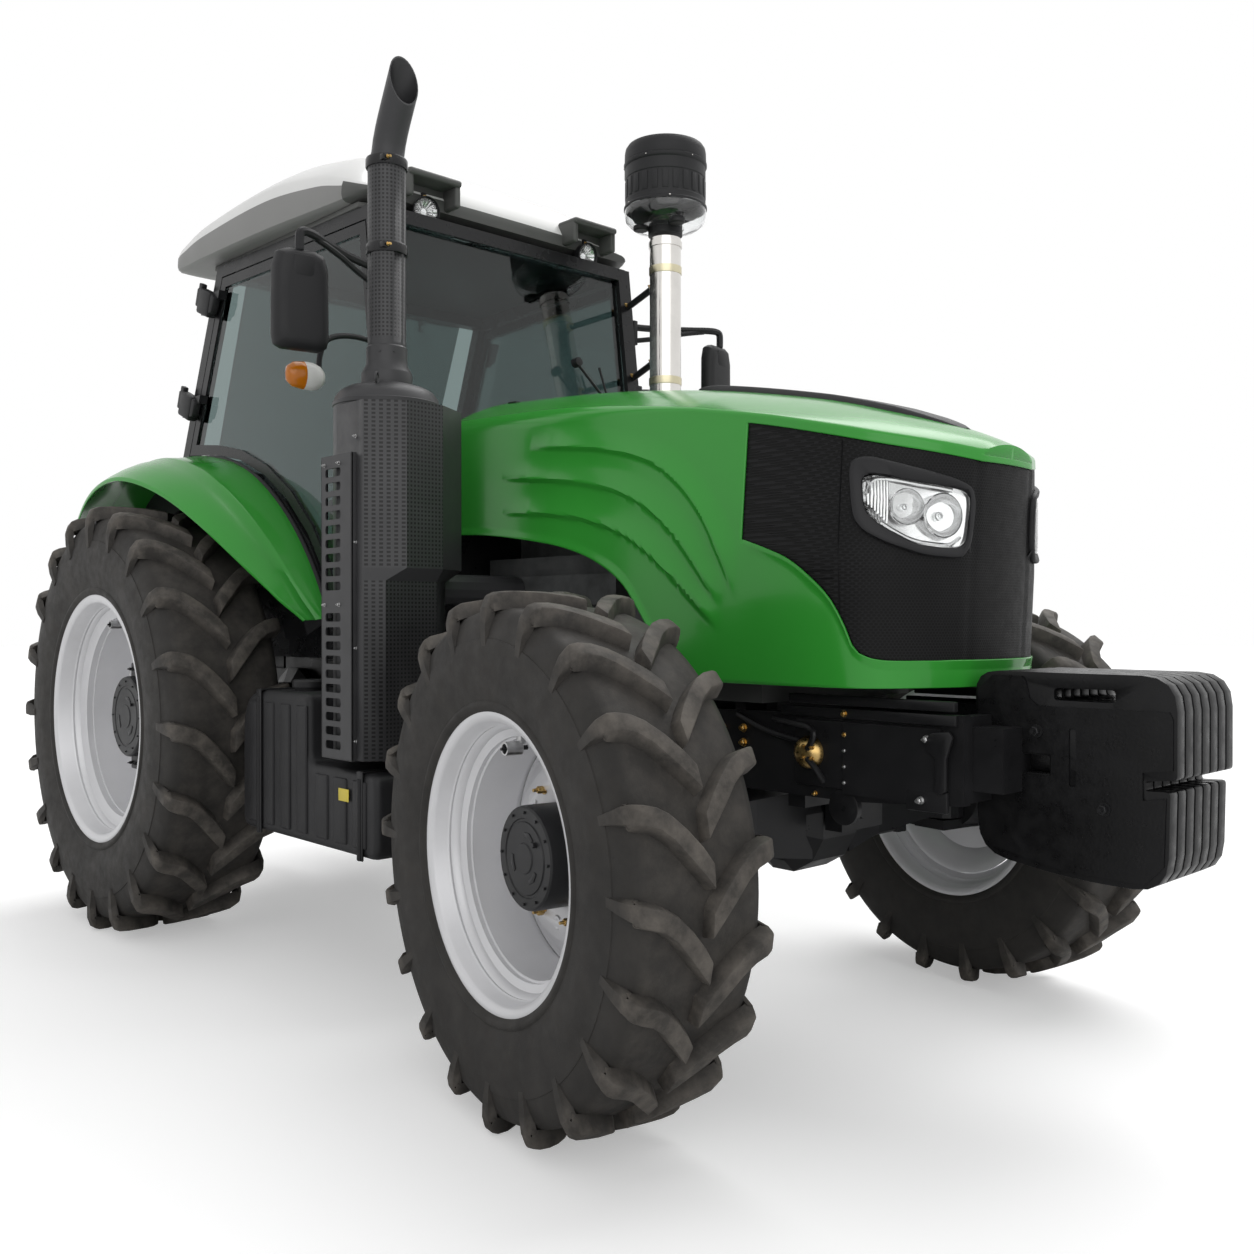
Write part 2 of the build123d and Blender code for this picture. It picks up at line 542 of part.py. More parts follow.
# ---------------------------------------------------------------- hood
def hood_section(st, grow):
    """One cross-section; a negative grow is the inner face."""
    low = hood_low_z - (0 if grow == 0 else 60)
    s, t = st["side_half"] + grow, st["top_half"] + grow
    half = [(s, low), (s + 2, 0.5 * (hood_low_z + st["shoulder"])), (t + 6, st["shoulder"] - 34 + grow),
            (t - 48, st["shoulder"] + 32 + grow), (0.45 * t, st["crest"] - 8 + grow)]
    return [(st["x"], -y, z) for y, z in half] + [(st["x"], y, z) for y, z in reversed(half)]


hood_outer = section_loft([hood_section(st, 0) for st in hood_stations])
inner_rows = [dict(st) for st in hood_stations]
inner_rows[0]["x"] -= 30
inner_rows[-1]["x"] -= 9
inner_rows[-2]["x"] -= 9
hood_inner = section_loft([hood_section(st, -hood_wall) for st in inner_rows])
shell = hood_outer - hood_inner
hood_wide = 600.0
below = hood_low_z - 100.0
arch_line = [(wheelbase + x, z) for x, z in hood_arch]
arch_cut = side_plate([(hood_rear_x - 60, below), (hood_rear_x - 60, 1587)] + arch_line + [(arch_line[-1][0], below)],
                      (-hood_wide, hood_wide))
shell -= arch_cut
grille_edge = [(hood_nose_x + x, z) for x, z in grille_line]
grille_edge += [(hood_nose_x + x, z) for x, z in ((-122, 1172), (108, 1172), (108, 1690), (18, 1690), (-152, 1727), (-352, 1775))]
grille_cut = side_plate(grille_edge, (-hood_wide, hood_wide))
grille_skin = shell & grille_cut
hood_shell = shell - grille_cut
lamp_rear_x, lamp_front_x = hood_nose_x - 332.0, hood_nose_x + 168.0
proud = section_loft([hood_section(st, lamp_proud) for st in hood_stations[2:]])
inner_solid = section_loft([hood_section(st, -hood_wall) for st in inner_rows[2:]])
lamp_block = (proud & front_plate(lamp_rim, (lamp_rear_x, lamp_front_x))) - inner_solid
lens_block = lamp_block & front_plate(lamp_glass, (lamp_rear_x - 20, lamp_front_x))
bezel = lamp_block - front_plate(lamp_glass, (lamp_rear_x - 20, lamp_front_x))
for y in (-1, 1):
    outline = [(-y * py, pz) for py, pz in lamp_rim]
    grille_skin -= front_plate(outline, (lamp_rear_x, lamp_front_x))
# two ears under the crest turn on the pin that the cab's front carries
crest_rear = hood_stations[0]["crest"]
ear = side_plate([(hood_hinge_x - 26, crest_rear - 24), (hood_hinge_x - 26, hood_hinge_z - 8), (hood_hinge_x - 10, hood_hinge_z - 24),
                  (hood_hinge_x + 10, hood_hinge_z - 24), (hood_hinge_x + 26, hood_hinge_z - 8), (hood_hinge_x + 26, crest_rear - 24)],
                 (hood_hinge_half - 30, hood_hinge_half))
ear &= section_loft([hood_section(st, -0.5 * hood_wall) for st in inner_rows])
ear -= rod((hood_hinge_x, hood_hinge_half - 40, hood_hinge_z), (hood_hinge_x, hood_hinge_half + 10, hood_hinge_z), hood_pin + running_gap)
put("hood", hood_shell + ear + mirrored(ear))
put("grille", grille_skin)
put("headlight_bezels", *pair(bezel))
put("headlight_lenses", *pair(lens_block))


# ---------------------------------------------------------------- cab
def at_side(shape, right=True):
    """From the side frame's own flat plane (y = 0 its outer face, inwards +) to its place."""
    placed = Pos(0, -cab_half_rear, 0) * Rot(0, 0, side_taper) * shape
    return placed if right else mirrored(placed)


def strip(a, b, width, y):
    """A flat bar in the side plane from a to b, its width measured forward from the line."""
    (ax, az), (bx, bz) = a, b
    return side_plate([(ax, az), (ax + width, az), (bx + width, bz), (bx, bz)], y)


def lean(low, high, z):
    """X of a raked pillar's rear edge at a height."""
    return low[0] + (high[0] - low[0]) * (z - low[1]) / (high[1] - low[1])


def hinge_x(z):
    """The door's hinge line in the side plane, which leans with the rear pillar."""
    return lean(c_low, c_high, z) - hinge_back


def hinge_rod(z, start, end, radius):
    """A round piece on the hinge line, from start to end along it about a height."""
    line = Vector(hinge_x(z + 100) - hinge_x(z), 0, 100).normalized()
    origin = Vector(hinge_x(z), -hinge_out, z)
    return rod(origin + line * start, origin + line * end, radius)


def hinge_knuckle(z, start, end):
    """A many-sided barrel on the hinge line."""
    line = Vector(hinge_x(z + 100) - hinge_x(z), 0, 100).normalized()
    return turned([(start, hinge_barrel), (end, hinge_barrel)], (hinge_x(z), -hinge_out, z), tuple(line), 8)


def arc_points(radius, start, end, steps):
    """Points about the rear axle, by angle from straight up towards the front."""
    pts = []
    for i in range(steps + 1):
        a = math.radians(start + (end - start) * i / steps)
        pts.append((radius * math.sin(a), rear["radius"] + radius * math.cos(a)))
    return pts


def inner_half(x, gap):
    """Half width between the side frames' inner faces at a station."""
    return cab_half_rear - x * math.tan(math.radians(side_taper)) - depth / math.cos(math.radians(side_taper)) - gap


def outer_half(x):
    """Half width over the side frames' outer faces at a station."""
    return cab_half_rear - x * math.tan(math.radians(side_taper))


rail_low = roof_z - roof_rail
sill_low = floor_z
side_frame = strip(a_low, a_high, pillar, (0, depth))
side_frame += side_plate([(a_low[0], sill_low), (a_low[0] + pillar, sill_low), (a_low[0] + pillar, a_low[1]), a_low], (0, depth))
side_frame += strip((c_low[0] - pillar, c_low[1]), (c_high[0] - pillar, c_high[1]), pillar, (0, depth))
side_frame += side_plate([(c_high[0] - pillar, roof_z), (lean(c_low, c_high, rail_low) - pillar, rail_low),
                          (lean(a_low, a_high, rail_low) + pillar, rail_low), (a_high[0] + pillar, roof_z)], (0, depth))
sill_rear_x = arch_radius * math.sin(math.radians(76)) - 120
side_frame += side_plate([(sill_rear_x, sill_low), (sill_rear_x, sill_low + 60), (a_low[0] + pillar, sill_low + 60),
                          (a_low[0] + pillar, sill_low)], (0, depth))
side_frame += side_plate(arc_points(arch_radius - 8, -14, 76, 7) + arc_points(arch_radius - 48, 76, -14, 7), (0, depth))
for top_z in hinge_heights:
    low_arm = side_plate([(hinge_x(top_z - 40), top_z - 40), (hinge_x(top_z - 10), top_z - 6),
                          (hinge_x(top_z - 10) - 50, top_z - 6), (hinge_x(top_z - 40) - 50, top_z - 40)], (-hinge_out - 4, 2))
    side_frame += hinge_knuckle(top_z, -46, -2) + low_arm + hinge_rod(top_z, -40, 44, hinge_pin)
cab_frame = at_side(side_frame) + at_side(side_frame, False)
front_half = outer_half(a_high[0] + 30)
cab_frame += box((a_high[0], a_high[0] + pillar), (-front_half + 30, front_half - 30), (rail_low, roof_z))
rear_half = outer_half(c_high[0])
cab_frame += box((c_high[0] - pillar, c_high[0]), (-rear_half + 30, rear_half - 30), (rail_low, roof_z))
scuttle_z = a_low[1] + scuttle_high
scuttle_x = (a_low[0] + pillar - 30, a_low[0] + pillar - 2)
scuttle_half = outer_half(a_low[0]) - depth + 4
cab_frame += box(scuttle_x, (-scuttle_half, scuttle_half), (scuttle_z - 40, scuttle_z))
# hood hinge: two arms on the scuttle carry a pin through the hood's ears
arm_out = hood_hinge_half - 30 - motion_gap
for s in (-1, 1):
    cab_frame += side_plate([(scuttle_x[0], scuttle_z - 10), (scuttle_x[1], scuttle_z - 10), (hood_hinge_x - 40, hood_hinge_z - 120),
                             (hood_hinge_x + 18, hood_hinge_z - 18), (hood_hinge_x + 18, hood_hinge_z + 14),
                             (hood_hinge_x - 18, hood_hinge_z + 14), (hood_hinge_x - 70, hood_hinge_z - 100)],
                            across(s, arm_out - 20, arm_out))
    cab_frame += rod((hood_hinge_x, s * (arm_out - 12), hood_hinge_z), (hood_hinge_x, s * (hood_hinge_half + 6), hood_hinge_z), hood_pin)
# rear window hinge: ears behind the rear top rail carry a pin through the window's ears
window_hinge_x, window_hinge_z = c_high[0] - pillar - 30.0, roof_z - 22.0
window_pin = 6.0
window_ear = (330.0, 356.0)
for s in (-1, 1):
    cab_frame += box((window_hinge_x - 13, c_high[0] - pillar + 2), across(s, window_ear[0] - 34, window_ear[0] - 4),
                     (window_hinge_z - 13, window_hinge_z + 13))
    cab_frame += rod((window_hinge_x, s * (window_ear[0] - 20), window_hinge_z), (window_hinge_x, s * (window_ear[1] + 4), window_hinge_z),
                     window_pin)
put("cab_frame", cab_frame)

floor_front_x = a_low[0] + pillar - 2
fl = [(floor_rear_x, inner_half(floor_rear_x, 1)), (floor_front_x, inner_half(floor_front_x, 1))]
floor_top = floor_z + floor_thick
floor = floor_plate([(fl[0][0], -fl[0][1]), (fl[1][0], -fl[1][1]), fl[1], fl[0]], (floor_z, floor_top))
firewall_half = inner_half(floor_front_x, 1)
floor += box((floor_front_x - 28, floor_front_x), (-firewall_half, firewall_half), (floor_z, scuttle_z - 40 - seat_gap))
arch_wall = side_plate([(sill_rear_x + 25, floor_top)] + arc_points(arch_radius - 50, 74, -11, 7) + [(floor_rear_x, floor_top)],
                       (depth + 2, depth + 10))
floor += at_side(arch_wall) + at_side(arch_wall, False)
rear_wall_half = inner_half(floor_rear_x, 12)
floor += box((floor_rear_x, floor_rear_x + 20), (-rear_wall_half, rear_wall_half), (floor_z, c_low[1]))
put("cab_floor", floor)

windshield = section_loft([
    [(x, -inner_half(x, seat_gap), z), (x, inner_half(x, seat_gap), z),
     (x - glass_thick, inner_half(x - glass_thick, seat_gap), z), (x - glass_thick, -inner_half(x - glass_thick, seat_gap), z)]
    for x, z in ((lean(a_low, a_high, scuttle_z) + 28, scuttle_z + seat_gap), (lean(a_low, a_high, rail_low) + 28, rail_low - seat_gap))])
put("windshield", windshield)

window_thick = 14.0
window_half = 560.0
window_low_x = lean(c_low, c_high, c_low[1]) - pillar - 0.5
window_top_z = window_hinge_z - 16.0
window_top_x = lean(c_low, c_high, window_top_z) - pillar - 0.5
rear_glass = section_loft([
    [(x, -window_half, z), (x, window_half, z), (x - window_thick, window_half, z), (x - window_thick, -window_half, z)]
    for x, z in ((window_low_x, c_low[1] + 12), (window_top_x, window_top_z))])
for s in (-1, 1):
    window_lug = side_plate([(window_hinge_x - 13, window_hinge_z + 13), (window_hinge_x + 13, window_hinge_z + 13),
                             (window_hinge_x + 13, window_top_z - 6), (window_top_x - 4, window_top_z - 60),
                             (window_top_x - 26, window_top_z - 60), (window_hinge_x - 13, window_top_z - 20)],
                            across(s, *window_ear))
    window_lug -= rod((window_hinge_x, s * (window_ear[0] - 5), window_hinge_z), (window_hinge_x, s * (window_ear[1] + 5), window_hinge_z),
                      window_pin + running_gap)
    rear_glass += window_lug
put("rear_window", rear_glass)


# doors: a frame round the glass, cut to the wheel arch below
def door_outline(inset):
    r = arch_radius + door_gap + inset
    arc = arc_points(r, 6, 70, 6)
    zl = sill_low + 66 + inset
    top = rail_low - door_gap - inset
    front_top = (lean(a_low, a_high, top) - door_gap - inset, top)
    front_mid = (a_low[0] - door_gap - inset, a_low[1])
    front_low = (a_low[0] - door_gap - inset, zl)
    rear_top = (lean(c_low, c_high, top) + door_gap + inset, top)
    arc = [p for p in arc if p[0] > lean(c_low, c_high, p[1]) + door_gap + inset and p[1] > zl]
    first = arc[0]
    rear_mid = (lean(c_low, c_high, first[1] + 20) + door_gap + inset, first[1] + 20)
    return [rear_top, rear_mid] + arc + [(arc[-1][0] + 14, zl), front_low, front_mid, front_top]


handle_z = floor_z + 420.0
door_frame = side_plate(door_outline(0), (0, door_thick)) - side_plate(door_outline(door_rim), (-1, door_thick + 1))
door_glass = side_plate(door_outline(door_rim + seat_gap), (8, 8 + glass_thick))
door_front = a_low[0] - door_gap
grip = side_plate([(door_front - 38, handle_z - 80), (door_front - 6, handle_z - 80), (door_front - 6, handle_z + 80), (door_front - 38, handle_z + 80)],
                  (-24, -12))
for z in (handle_z - 74, handle_z + 50):
    grip += side_plate([(door_front - 36, z), (door_front - 8, z), (door_front - 8, z + 24), (door_front - 36, z + 24)], (-14, 1))
door_frame += grip
for top_z in hinge_heights:
    arm = side_plate([(hinge_x(top_z + 10), top_z + 6), (hinge_x(top_z + 10) + 80, top_z + 6),
                      (hinge_x(top_z + 40) + 80, top_z + 40), (hinge_x(top_z + 40), top_z + 40)], (-hinge_out - 4, -1))
    arm += side_plate([(hinge_x(top_z + 10) + 24, top_z + 6), (hinge_x(top_z + 10) + 80, top_z + 6),
                       (hinge_x(top_z + 40) + 80, top_z + 40), (hinge_x(top_z + 40) + 24, top_z + 40)], (-2, 2))
    door_frame += (hinge_knuckle(top_z, 2, 46) + arm) - hinge_rod(top_z, -10, 60, hinge_pin + running_gap)
for name, right in (("right", True), ("left", False)):
    put(f"door_{name}", at_side(door_frame, right))
    put(f"door_glass_{name}", at_side(door_glass, right))

# roof: a white cap over a grey rim that carries two lamp pods
roof_rows = [
    dict(x=-285.0, half=560.0, low=68.0, mid=80.0, top=106.0),
    dict(x=-215.0, half=735.0, low=46.0, mid=105.0, top=175.0),
    dict(x=150.0, half=760.0, low=22.0, mid=160.0, top=270.0),
    dict(x=650.0, half=735.0, low=22.0, mid=190.0, top=320.0),
    dict(x=1150.0, half=690.0, low=22.0, mid=160.0, top=270.0),
    dict(x=1330.0, half=560.0, low=60.0, mid=125.0, top=185.0),
]
pod_half, pod_y = 120.0, 398.0
pod_rear_x, pod_front_x = 1130.0, 1352.0
pod_top = 105.0
rim_thick = 21.5
roof = section_loft([[(r["x"], -r["half"], roof_z + r["low"]), (r["x"], -r["half"], roof_z + r["mid"]),
                      (r["x"], -r["half"] + 190, roof_z + r["top"]), (r["x"], r["half"] - 190, roof_z + r["top"]),
                      (r["x"], r["half"], roof_z + r["mid"]), (r["x"], r["half"], roof_z + r["low"])] for r in roof_rows])
for y in (-pod_y, pod_y):
    roof -= box((pod_rear_x - 6, pod_front_x + 60), (y - pod_half - 4, y + pod_half + 4), (roof_z, roof_z + pod_top + 4))
put("roof", roof)
visor = floor_plate([(60, -690), (1240, -650), (1300, -560), (1300, 560), (1240, 650), (60, 690)], (roof_z + seat_gap, roof_z + rim_thick))
for y in (-pod_y, pod_y):
    pod = side_plate([(pod_rear_x, roof_z + rim_thick - 1), (pod_front_x - 20, roof_z + rim_thick - 1), (pod_front_x, roof_z + 36),
                      (pod_front_x - 12, roof_z + pod_top), (pod_rear_x, roof_z + pod_top)], (y - pod_half, y + pod_half))
    pod -= box((pod_front_x - 30, pod_front_x + 10), (y - pod_half + 20, y + pod_half - 20), (roof_z + 44, roof_z + pod_top - 10))
    visor += pod
put("roof_visor", visor)

# seat, dash and steering wheel
cushion_z = floor_top + 370.0
cushion = section_loft([
    [(330, -w, z), (760, -w, z), (790, -w * 0.6, z), (790, w * 0.6, z), (760, w, z), (330, w, z)]
    for w, z in ((235, cushion_z), (255, cushion_z + 45), (235, cushion_z + 95))])
backrest = section_loft([
    [(x, -w, z), (x + 95, -w, z), (x + 110, -w * 0.5, z), (x + 110, w * 0.5, z), (x + 95, w, z), (x, w, z)]
    for x, w, z in ((300, 225, cushion_z + 95 + seat_gap), (275, 240, cushion_z + 380), (255, 165, cushion_z + 640))])
put("seat", cushion, backrest)
seat_base = section_loft([
    [(400, -w, z), (700, -w, z), (700, w, z), (400, w, z)]
    for w, z in ((210, floor_top + seat_gap), (150, floor_top + 120), (150, cushion_z - 60), (225, cushion_z - seat_gap))])
seat_base += side_plate([(262, cushion_z - 60), (299.5, cushion_z - 60), (299.5, cushion_z + 95), (279, cushion_z + 330),
                         (255, cushion_z + 330)], (-120, 120))
seat_base += box((262, 420), (-120, 120), (cushion_z - 60, cushion_z - 20))
put("seat_base", seat_base)

column_foot, column_top = (1180.0, 0.0, floor_z + 570.0), (1060.0, 0.0, floor_z + 775.0)
column_out = Vector(*column_top) - Vector(*column_foot)
wheel_axis = column_out.normalized()
dash = section_loft([
    [(x, -w, z), (1360, -w, z), (1360, w, z), (x, w, z)]
    for x, w, z in ((1230, 150, floor_top + seat_gap), (1190, 170, floor_z + 380), (1120, 270, floor_z + 560), (1230, 270, floor_z + 670))])
dash += turned([(-60, 48), (column_out.length, 34)], column_foot, tuple(wheel_axis), 10)
put("dash", dash)
wheel_centre = Vector(*column_top) + wheel_axis * seat_gap
steer_plane = Plane(origin=wheel_centre, x_dir=(0, 1, 0), z_dir=wheel_axis)
rim_rings = []
for i in range(18):
    a = 2 * math.pi * i / 18
    ring = [(steering_radius + 15 * math.cos(b), 15 * math.sin(b) + 24) for b in (math.radians(72 * k) for k in range(5))]
    rim_rings.append([(r * math.cos(a), r * math.sin(a), h) for r, h in ring])
steering_wheel = steer_plane * section_loft(rim_rings, closed=True)
steering_wheel += rod(tuple(wheel_centre), tuple(wheel_centre + wheel_axis * 34), 42)
for k in range(3):
    steering_wheel += steer_plane * Rot(0, 0, 90 + 120 * k) * Pos(steering_radius / 2, 0, 24) * Box(steering_radius - 14, 28, 10)
put("steering_wheel", steering_wheel)

# ---------------------------------------------------------------- fenders
fender_sections = []
for f in fender_table:
    a = math.radians(f["angle"])
    inner_r, crease_r, outer_r = (rear["radius"] + f[k] for k in ("inner_r", "crease_r", "outer_r"))
    inner_y = outer_half(inner_r * math.sin(a)) + seat_gap
    under_y = outer_half((inner_r - fender_thick) * math.sin(a)) + seat_gap
    crease = inner_y + 0.52 * (f["outer"] - inner_y)
    rows = [(inner_y, inner_r), (crease, crease_r), (f["outer"], outer_r),
            (f["outer"] - 4, outer_r - 14), (crease, crease_r - fender_thick), (under_y, inner_r - fender_thick)]
    fender_sections.append([(r * math.sin(a), -y, rear["radius"] + r * math.cos(a)) for y, r in rows])
fender = section_loft(fender_sections)
put("fenders", *pair(fender))

# ---------------------------------------------------------------- exhaust, intake
def pillar_foot(x, z, right):
    """A small plate on a front pillar's outer face, for the end of an arm."""
    return at_side(box((x - 24, x + 24), (-20, -seat_gap), (z - 22, z + 22)), right)


zl, zh = muffler_z
can = [(0, muffler_radius - 16), (18, muffler_radius), (zh - zl - 64, muffler_radius), (zh - zl - 26, muffler_radius - 44),
       (zh - zl, exhaust_pipe_radius + 26)]
muffler = turned(can, (muffler_x, muffler_y, zl), (0, 0, 1), 16)
manifold_y = -engine_half - manifold_reach - seat_gap
muffler += tube([(muffler_x + 60, manifold_y, outlet_z), (muffler_x + 60, muffler_y + 110, outlet_z)], outlet_radius, 10)
put("muffler", muffler)

shield_foot, shield_top = zl + 8.0, zh - 90.0
band = muffler_radius + shield_gap
shield_plan = [(0, -band - 8), (160, -band - 8), (236, -74), (236, 60), (160, band + 8), (0, band + 8)]
hollow_plan = [(-1, -band), (156, -band), (228, -72), (228, 58), (156, band), (-1, band)]
shield = floor_plate([(muffler_x + x, muffler_y + y) for x, y in shield_plan], (shield_foot, shield_top))
shield -= floor_plate([(muffler_x + x, muffler_y + y) for x, y in hollow_plan], (shield_foot - 10, shield_top - 8))
shield -= turned([(0, muffler_radius + seat_gap), (200, muffler_radius + seat_gap)], (muffler_x, muffler_y, shield_top - 60), (0, 0, 1), 16)
shield -= box((muffler_x, muffler_x + 120), (muffler_y + band - 20, muffler_y + band + 20), (shield_foot - 10, outlet_z + 60))
# the slotted guard stands out from the shield on two spacers
guard_y = muffler_y - band - 20.0
guard_x, guard_z = (1610.0, 1800.0), (840.0, 1800.0)
guard = box(guard_x, (guard_y - 6, guard_y), guard_z)
guard += box((guard_x[1] - 7, guard_x[1]), (guard_y - 46, guard_y), guard_z)
for start, count in ((868, 10), (1372, 9)):
    for k in range(count):
        guard -= box((guard_x[0] + 24, guard_x[1] - 55), (guard_y - 8, guard_y + 1), (start + 45 * k, start + 45 * k + 24))
for z in (guard_z[0] + 490, guard_z[1] - 40):
    guard += box((guard_x[1] - 40, guard_x[1] - 20), (guard_y - 1, muffler_y - band - 7), (z, z + 20))
put("heat_shield", shield + guard)

# exhaust stack: collar, pipe, clamps and a slanted mouth
foot = (muffler_x, muffler_y, zh + seat_gap)
top = exhaust_top_z - zh
stack = turned([(0, 84), (36, 84), (60, exhaust_pipe_radius), (top - 310, exhaust_pipe_radius), (top - 306, exhaust_pipe_radius + 7),
                (top - 282, exhaust_pipe_radius + 7), (top - 278, exhaust_pipe_radius), (top - 26, exhaust_pipe_radius),
                (top - 22, exhaust_pipe_radius + 7), (top, exhaust_pipe_radius + 7)], foot, (0, 0, 1), 14)
tip_route = bent([(muffler_x, muffler_y, exhaust_top_z - 10), (muffler_x, muffler_y, exhaust_top_z + 190),
                  (muffler_x + 110, muffler_y, exhaust_tip_z + 70)], 110, 3)
stack += tube(tip_route, exhaust_tip_radius, 14)
stack -= tube(tip_route[2:], exhaust_tip_radius - 5, 14)
mouth_low, mouth_high = (muffler_x + 140, exhaust_tip_z - 96), (muffler_x - 20, exhaust_tip_z + 14)
stack -= side_plate([mouth_low, (mouth_low[0] + 60, exhaust_tip_z + 300), (mouth_high[0] - 60, exhaust_tip_z + 300), mouth_high],
                    (muffler_y - 90, muffler_y + 90))
put("exhaust_stack", stack)

intake = tube(bent([(intake_x, engine_half + seat_gap, outlet_z + 30), (intake_x, intake_y, outlet_z + 30),
                    (intake_x, intake_y, intake_top_z)], 120, 2), intake_radius, 12)
for z in stay_heights:
    x = lean(a_low, a_high, z) + pillar + 3.4
    intake += tube([(x, outer_half(x) - 0.5 * depth, z), (intake_x - intake_radius + 12, intake_y + 6, z)], 9, 6)
put("intake_stack", intake)
zl, zh = precleaner_z
pre = turned([(0, 88), (24, 88), (40, 74), (zl - intake_top_z - 20, 74), (zl - intake_top_z, precleaner_radius - 20),
              (zl - intake_top_z + 10, precleaner_radius), (zh - intake_top_z - 70, precleaner_radius),
              (zh - intake_top_z - 20, precleaner_radius - 30), (zh - intake_top_z - seat_gap, 70)],
             (intake_x, intake_y, intake_top_z + seat_gap), (0, 0, 1), 16)
put("precleaner", pre)

# ---------------------------------------------------------------- tank, battery box and steps, mirrors
near_y, far_y = side_box_y
tank = side_plate([(tank_x[0], tank_z[0]), (tank_x[1], tank_z[0]), (tank_x[1], tank_z[1]), (muffler_x - muffler_radius - 58, tank_z[1]),
                   (muffler_x - muffler_radius - 58, tank_z[2]), (tank_x[0] + 110, tank_z[2]), (tank_x[0] + 32, tank_z[2] - 34),
                   (tank_x[0], tank_z[2] - 110)], (-far_y, -near_y))
for x in (tank_x[0] + 190, tank_x[0] + 330):
    tank -= box((x, x + 16), (-far_y - 1, -far_y + 10), (tank_z[0] + 50, tank_z[2] - 30))
tank += box((tank_x[0] + 100, tank_x[1] - 80), (-near_y, -gearbox_half - seat_gap), (600, 700))
tank += box((tank_x[0] + 10, tank_x[1] - 10), (-far_y + 30, -far_y + 80), (tank_z[0] - 34, tank_z[0]))
put("fuel_tank", tank)
steps = box(battery_x, (near_y, far_y - 80), (600, 1000))
steps += box((battery_x[0] - 4, battery_x[1] - 50), (gearbox_half + seat_gap, near_y), (620, 700))
steps += box((step_x[0] + 20, step_x[1] - 36), (gearbox_half + seat_gap, near_y - 20), (620, 680))
for x in (step_x[0], step_x[1] - 26):
    steps += side_plate([(x, step_heights[0] - 6), (x + 30, step_heights[0] - 6), (x + 30, step_heights[-1] + 36), (x, step_heights[-1] + 36)],
                        (near_y - 40, far_y))
for z in step_heights:
    steps += box((step_x[0] + 20, step_x[1] - 20), (near_y + 240, far_y - 4), (z, z + 28))
put("battery_box", steps)

mirror_z = (roof_z - 605.0, roof_z - 235.0)
arm_z = roof_z - 180.0
arm_x = lean(a_low, a_high, arm_z) + 0.5 * pillar
mirror_x, mirror_y = (1440.0, 1500.0), (955.0, 1150.0)
hang_y = mirror_y[1] - 95.0
arm_foot_y = outer_half(arm_x)
mirror_head = side_plate([(mirror_x[0], mirror_z[0]), (mirror_x[1] - 16, mirror_z[0]), (mirror_x[1], mirror_z[0] + 30),
                     (mirror_x[1], mirror_z[1] - 30), (mirror_x[1] - 16, mirror_z[1]), (mirror_x[0], mirror_z[1])],
                    (-mirror_y[1], -mirror_y[0]))
mirror_head += pillar_foot(arm_x, arm_z, True)
mirror_head += tube([(arm_x, -arm_foot_y - 12, arm_z), (mirror_x[0] + 30, -hang_y, arm_z), (mirror_x[0] + 30, -hang_y, mirror_z[1] - 5)],
               14, 6)
# the turn lamp hangs on its own short arm from the front pillar
lamp_z = roof_z - 690.0
lamp_x, lamp_y = 1370.0, 950.0
low_x = lean(a_low, a_high, lamp_z + 160) + 0.5 * pillar
turn_arm = pillar_foot(low_x, lamp_z + 160, True)
turn_arm += tube([(low_x, -outer_half(low_x) - 14, lamp_z + 160), (lamp_x, -lamp_y + 70, lamp_z + 100), (lamp_x, -lamp_y, lamp_z + 30)], 11, 6)
turn_lamp = turn_arm + box((lamp_x - 26, lamp_x + 26), (-lamp_y - 42, -lamp_y + 42), (lamp_z - 42, lamp_z + 34))
put("mirrors", *pair(mirror_head), *pair(turn_lamp))

# ---------------------------------------------------------------- hitch
slope = math.radians(link_slope)


def on_link(pivot, length, y):
    return (pivot[0] - length * math.cos(slope), y, pivot[1] + length * math.sin(slope))


def eye(x, z, y0, y1, radius):
    """A many-sided boss across the machine, for a pin or a ball."""
    return turned([(0, radius), (y1 - y0, radius)], (x, y0, z), (0, 1, 0), 12)


rod_top, rod_low = on_link(lift_pivot, lift_arm, 0), on_link(link_pivot, lift_arm, 0)
links = []
for s in (-1, 1):
    a = (link_pivot[0], s * link_half, link_pivot[1])
    b = on_link(link_pivot, link_length, s * link_half)
    p, q = on_link(link_pivot, 28, 0), on_link(link_pivot, link_length - 28, 0)
    bar = section_loft([[(x, s * link_half - 11, z - h), (x, s * link_half + 11, z - h), (x, s * link_half + 11, z + h),
                         (x, s * link_half - 11, z + h)] for x, z, h in ((p[0], p[2], 24), (rod_low[0], rod_low[2], 36), (q[0], q[2], 22))])
    for c in (a, b):
        bar += eye(c[0], c[2], c[1] - 22, c[1] + 22, link_ball_radius)
    bar -= rod((a[0], a[1] - 30, a[2]), (a[0], a[1] + 30, a[2]), link_pin_radius + running_gap)
    bar -= rod((b[0], b[1] - 30, b[2]), (b[0], b[1] + 30, b[2]), link_hole_radius)
    bar += rod((rod_low[0], s * (link_half - 10), rod_low[2]), (rod_low[0], s * (lift_half + 22), rod_low[2]), lift_pin)
    links.append(bar)
put("lower_links", *links)
arms = rod((lift_pivot[0], -lift_half - 22, lift_pivot[1]), (lift_pivot[0], lift_half + 22, lift_pivot[1]), rockshaft_radius)
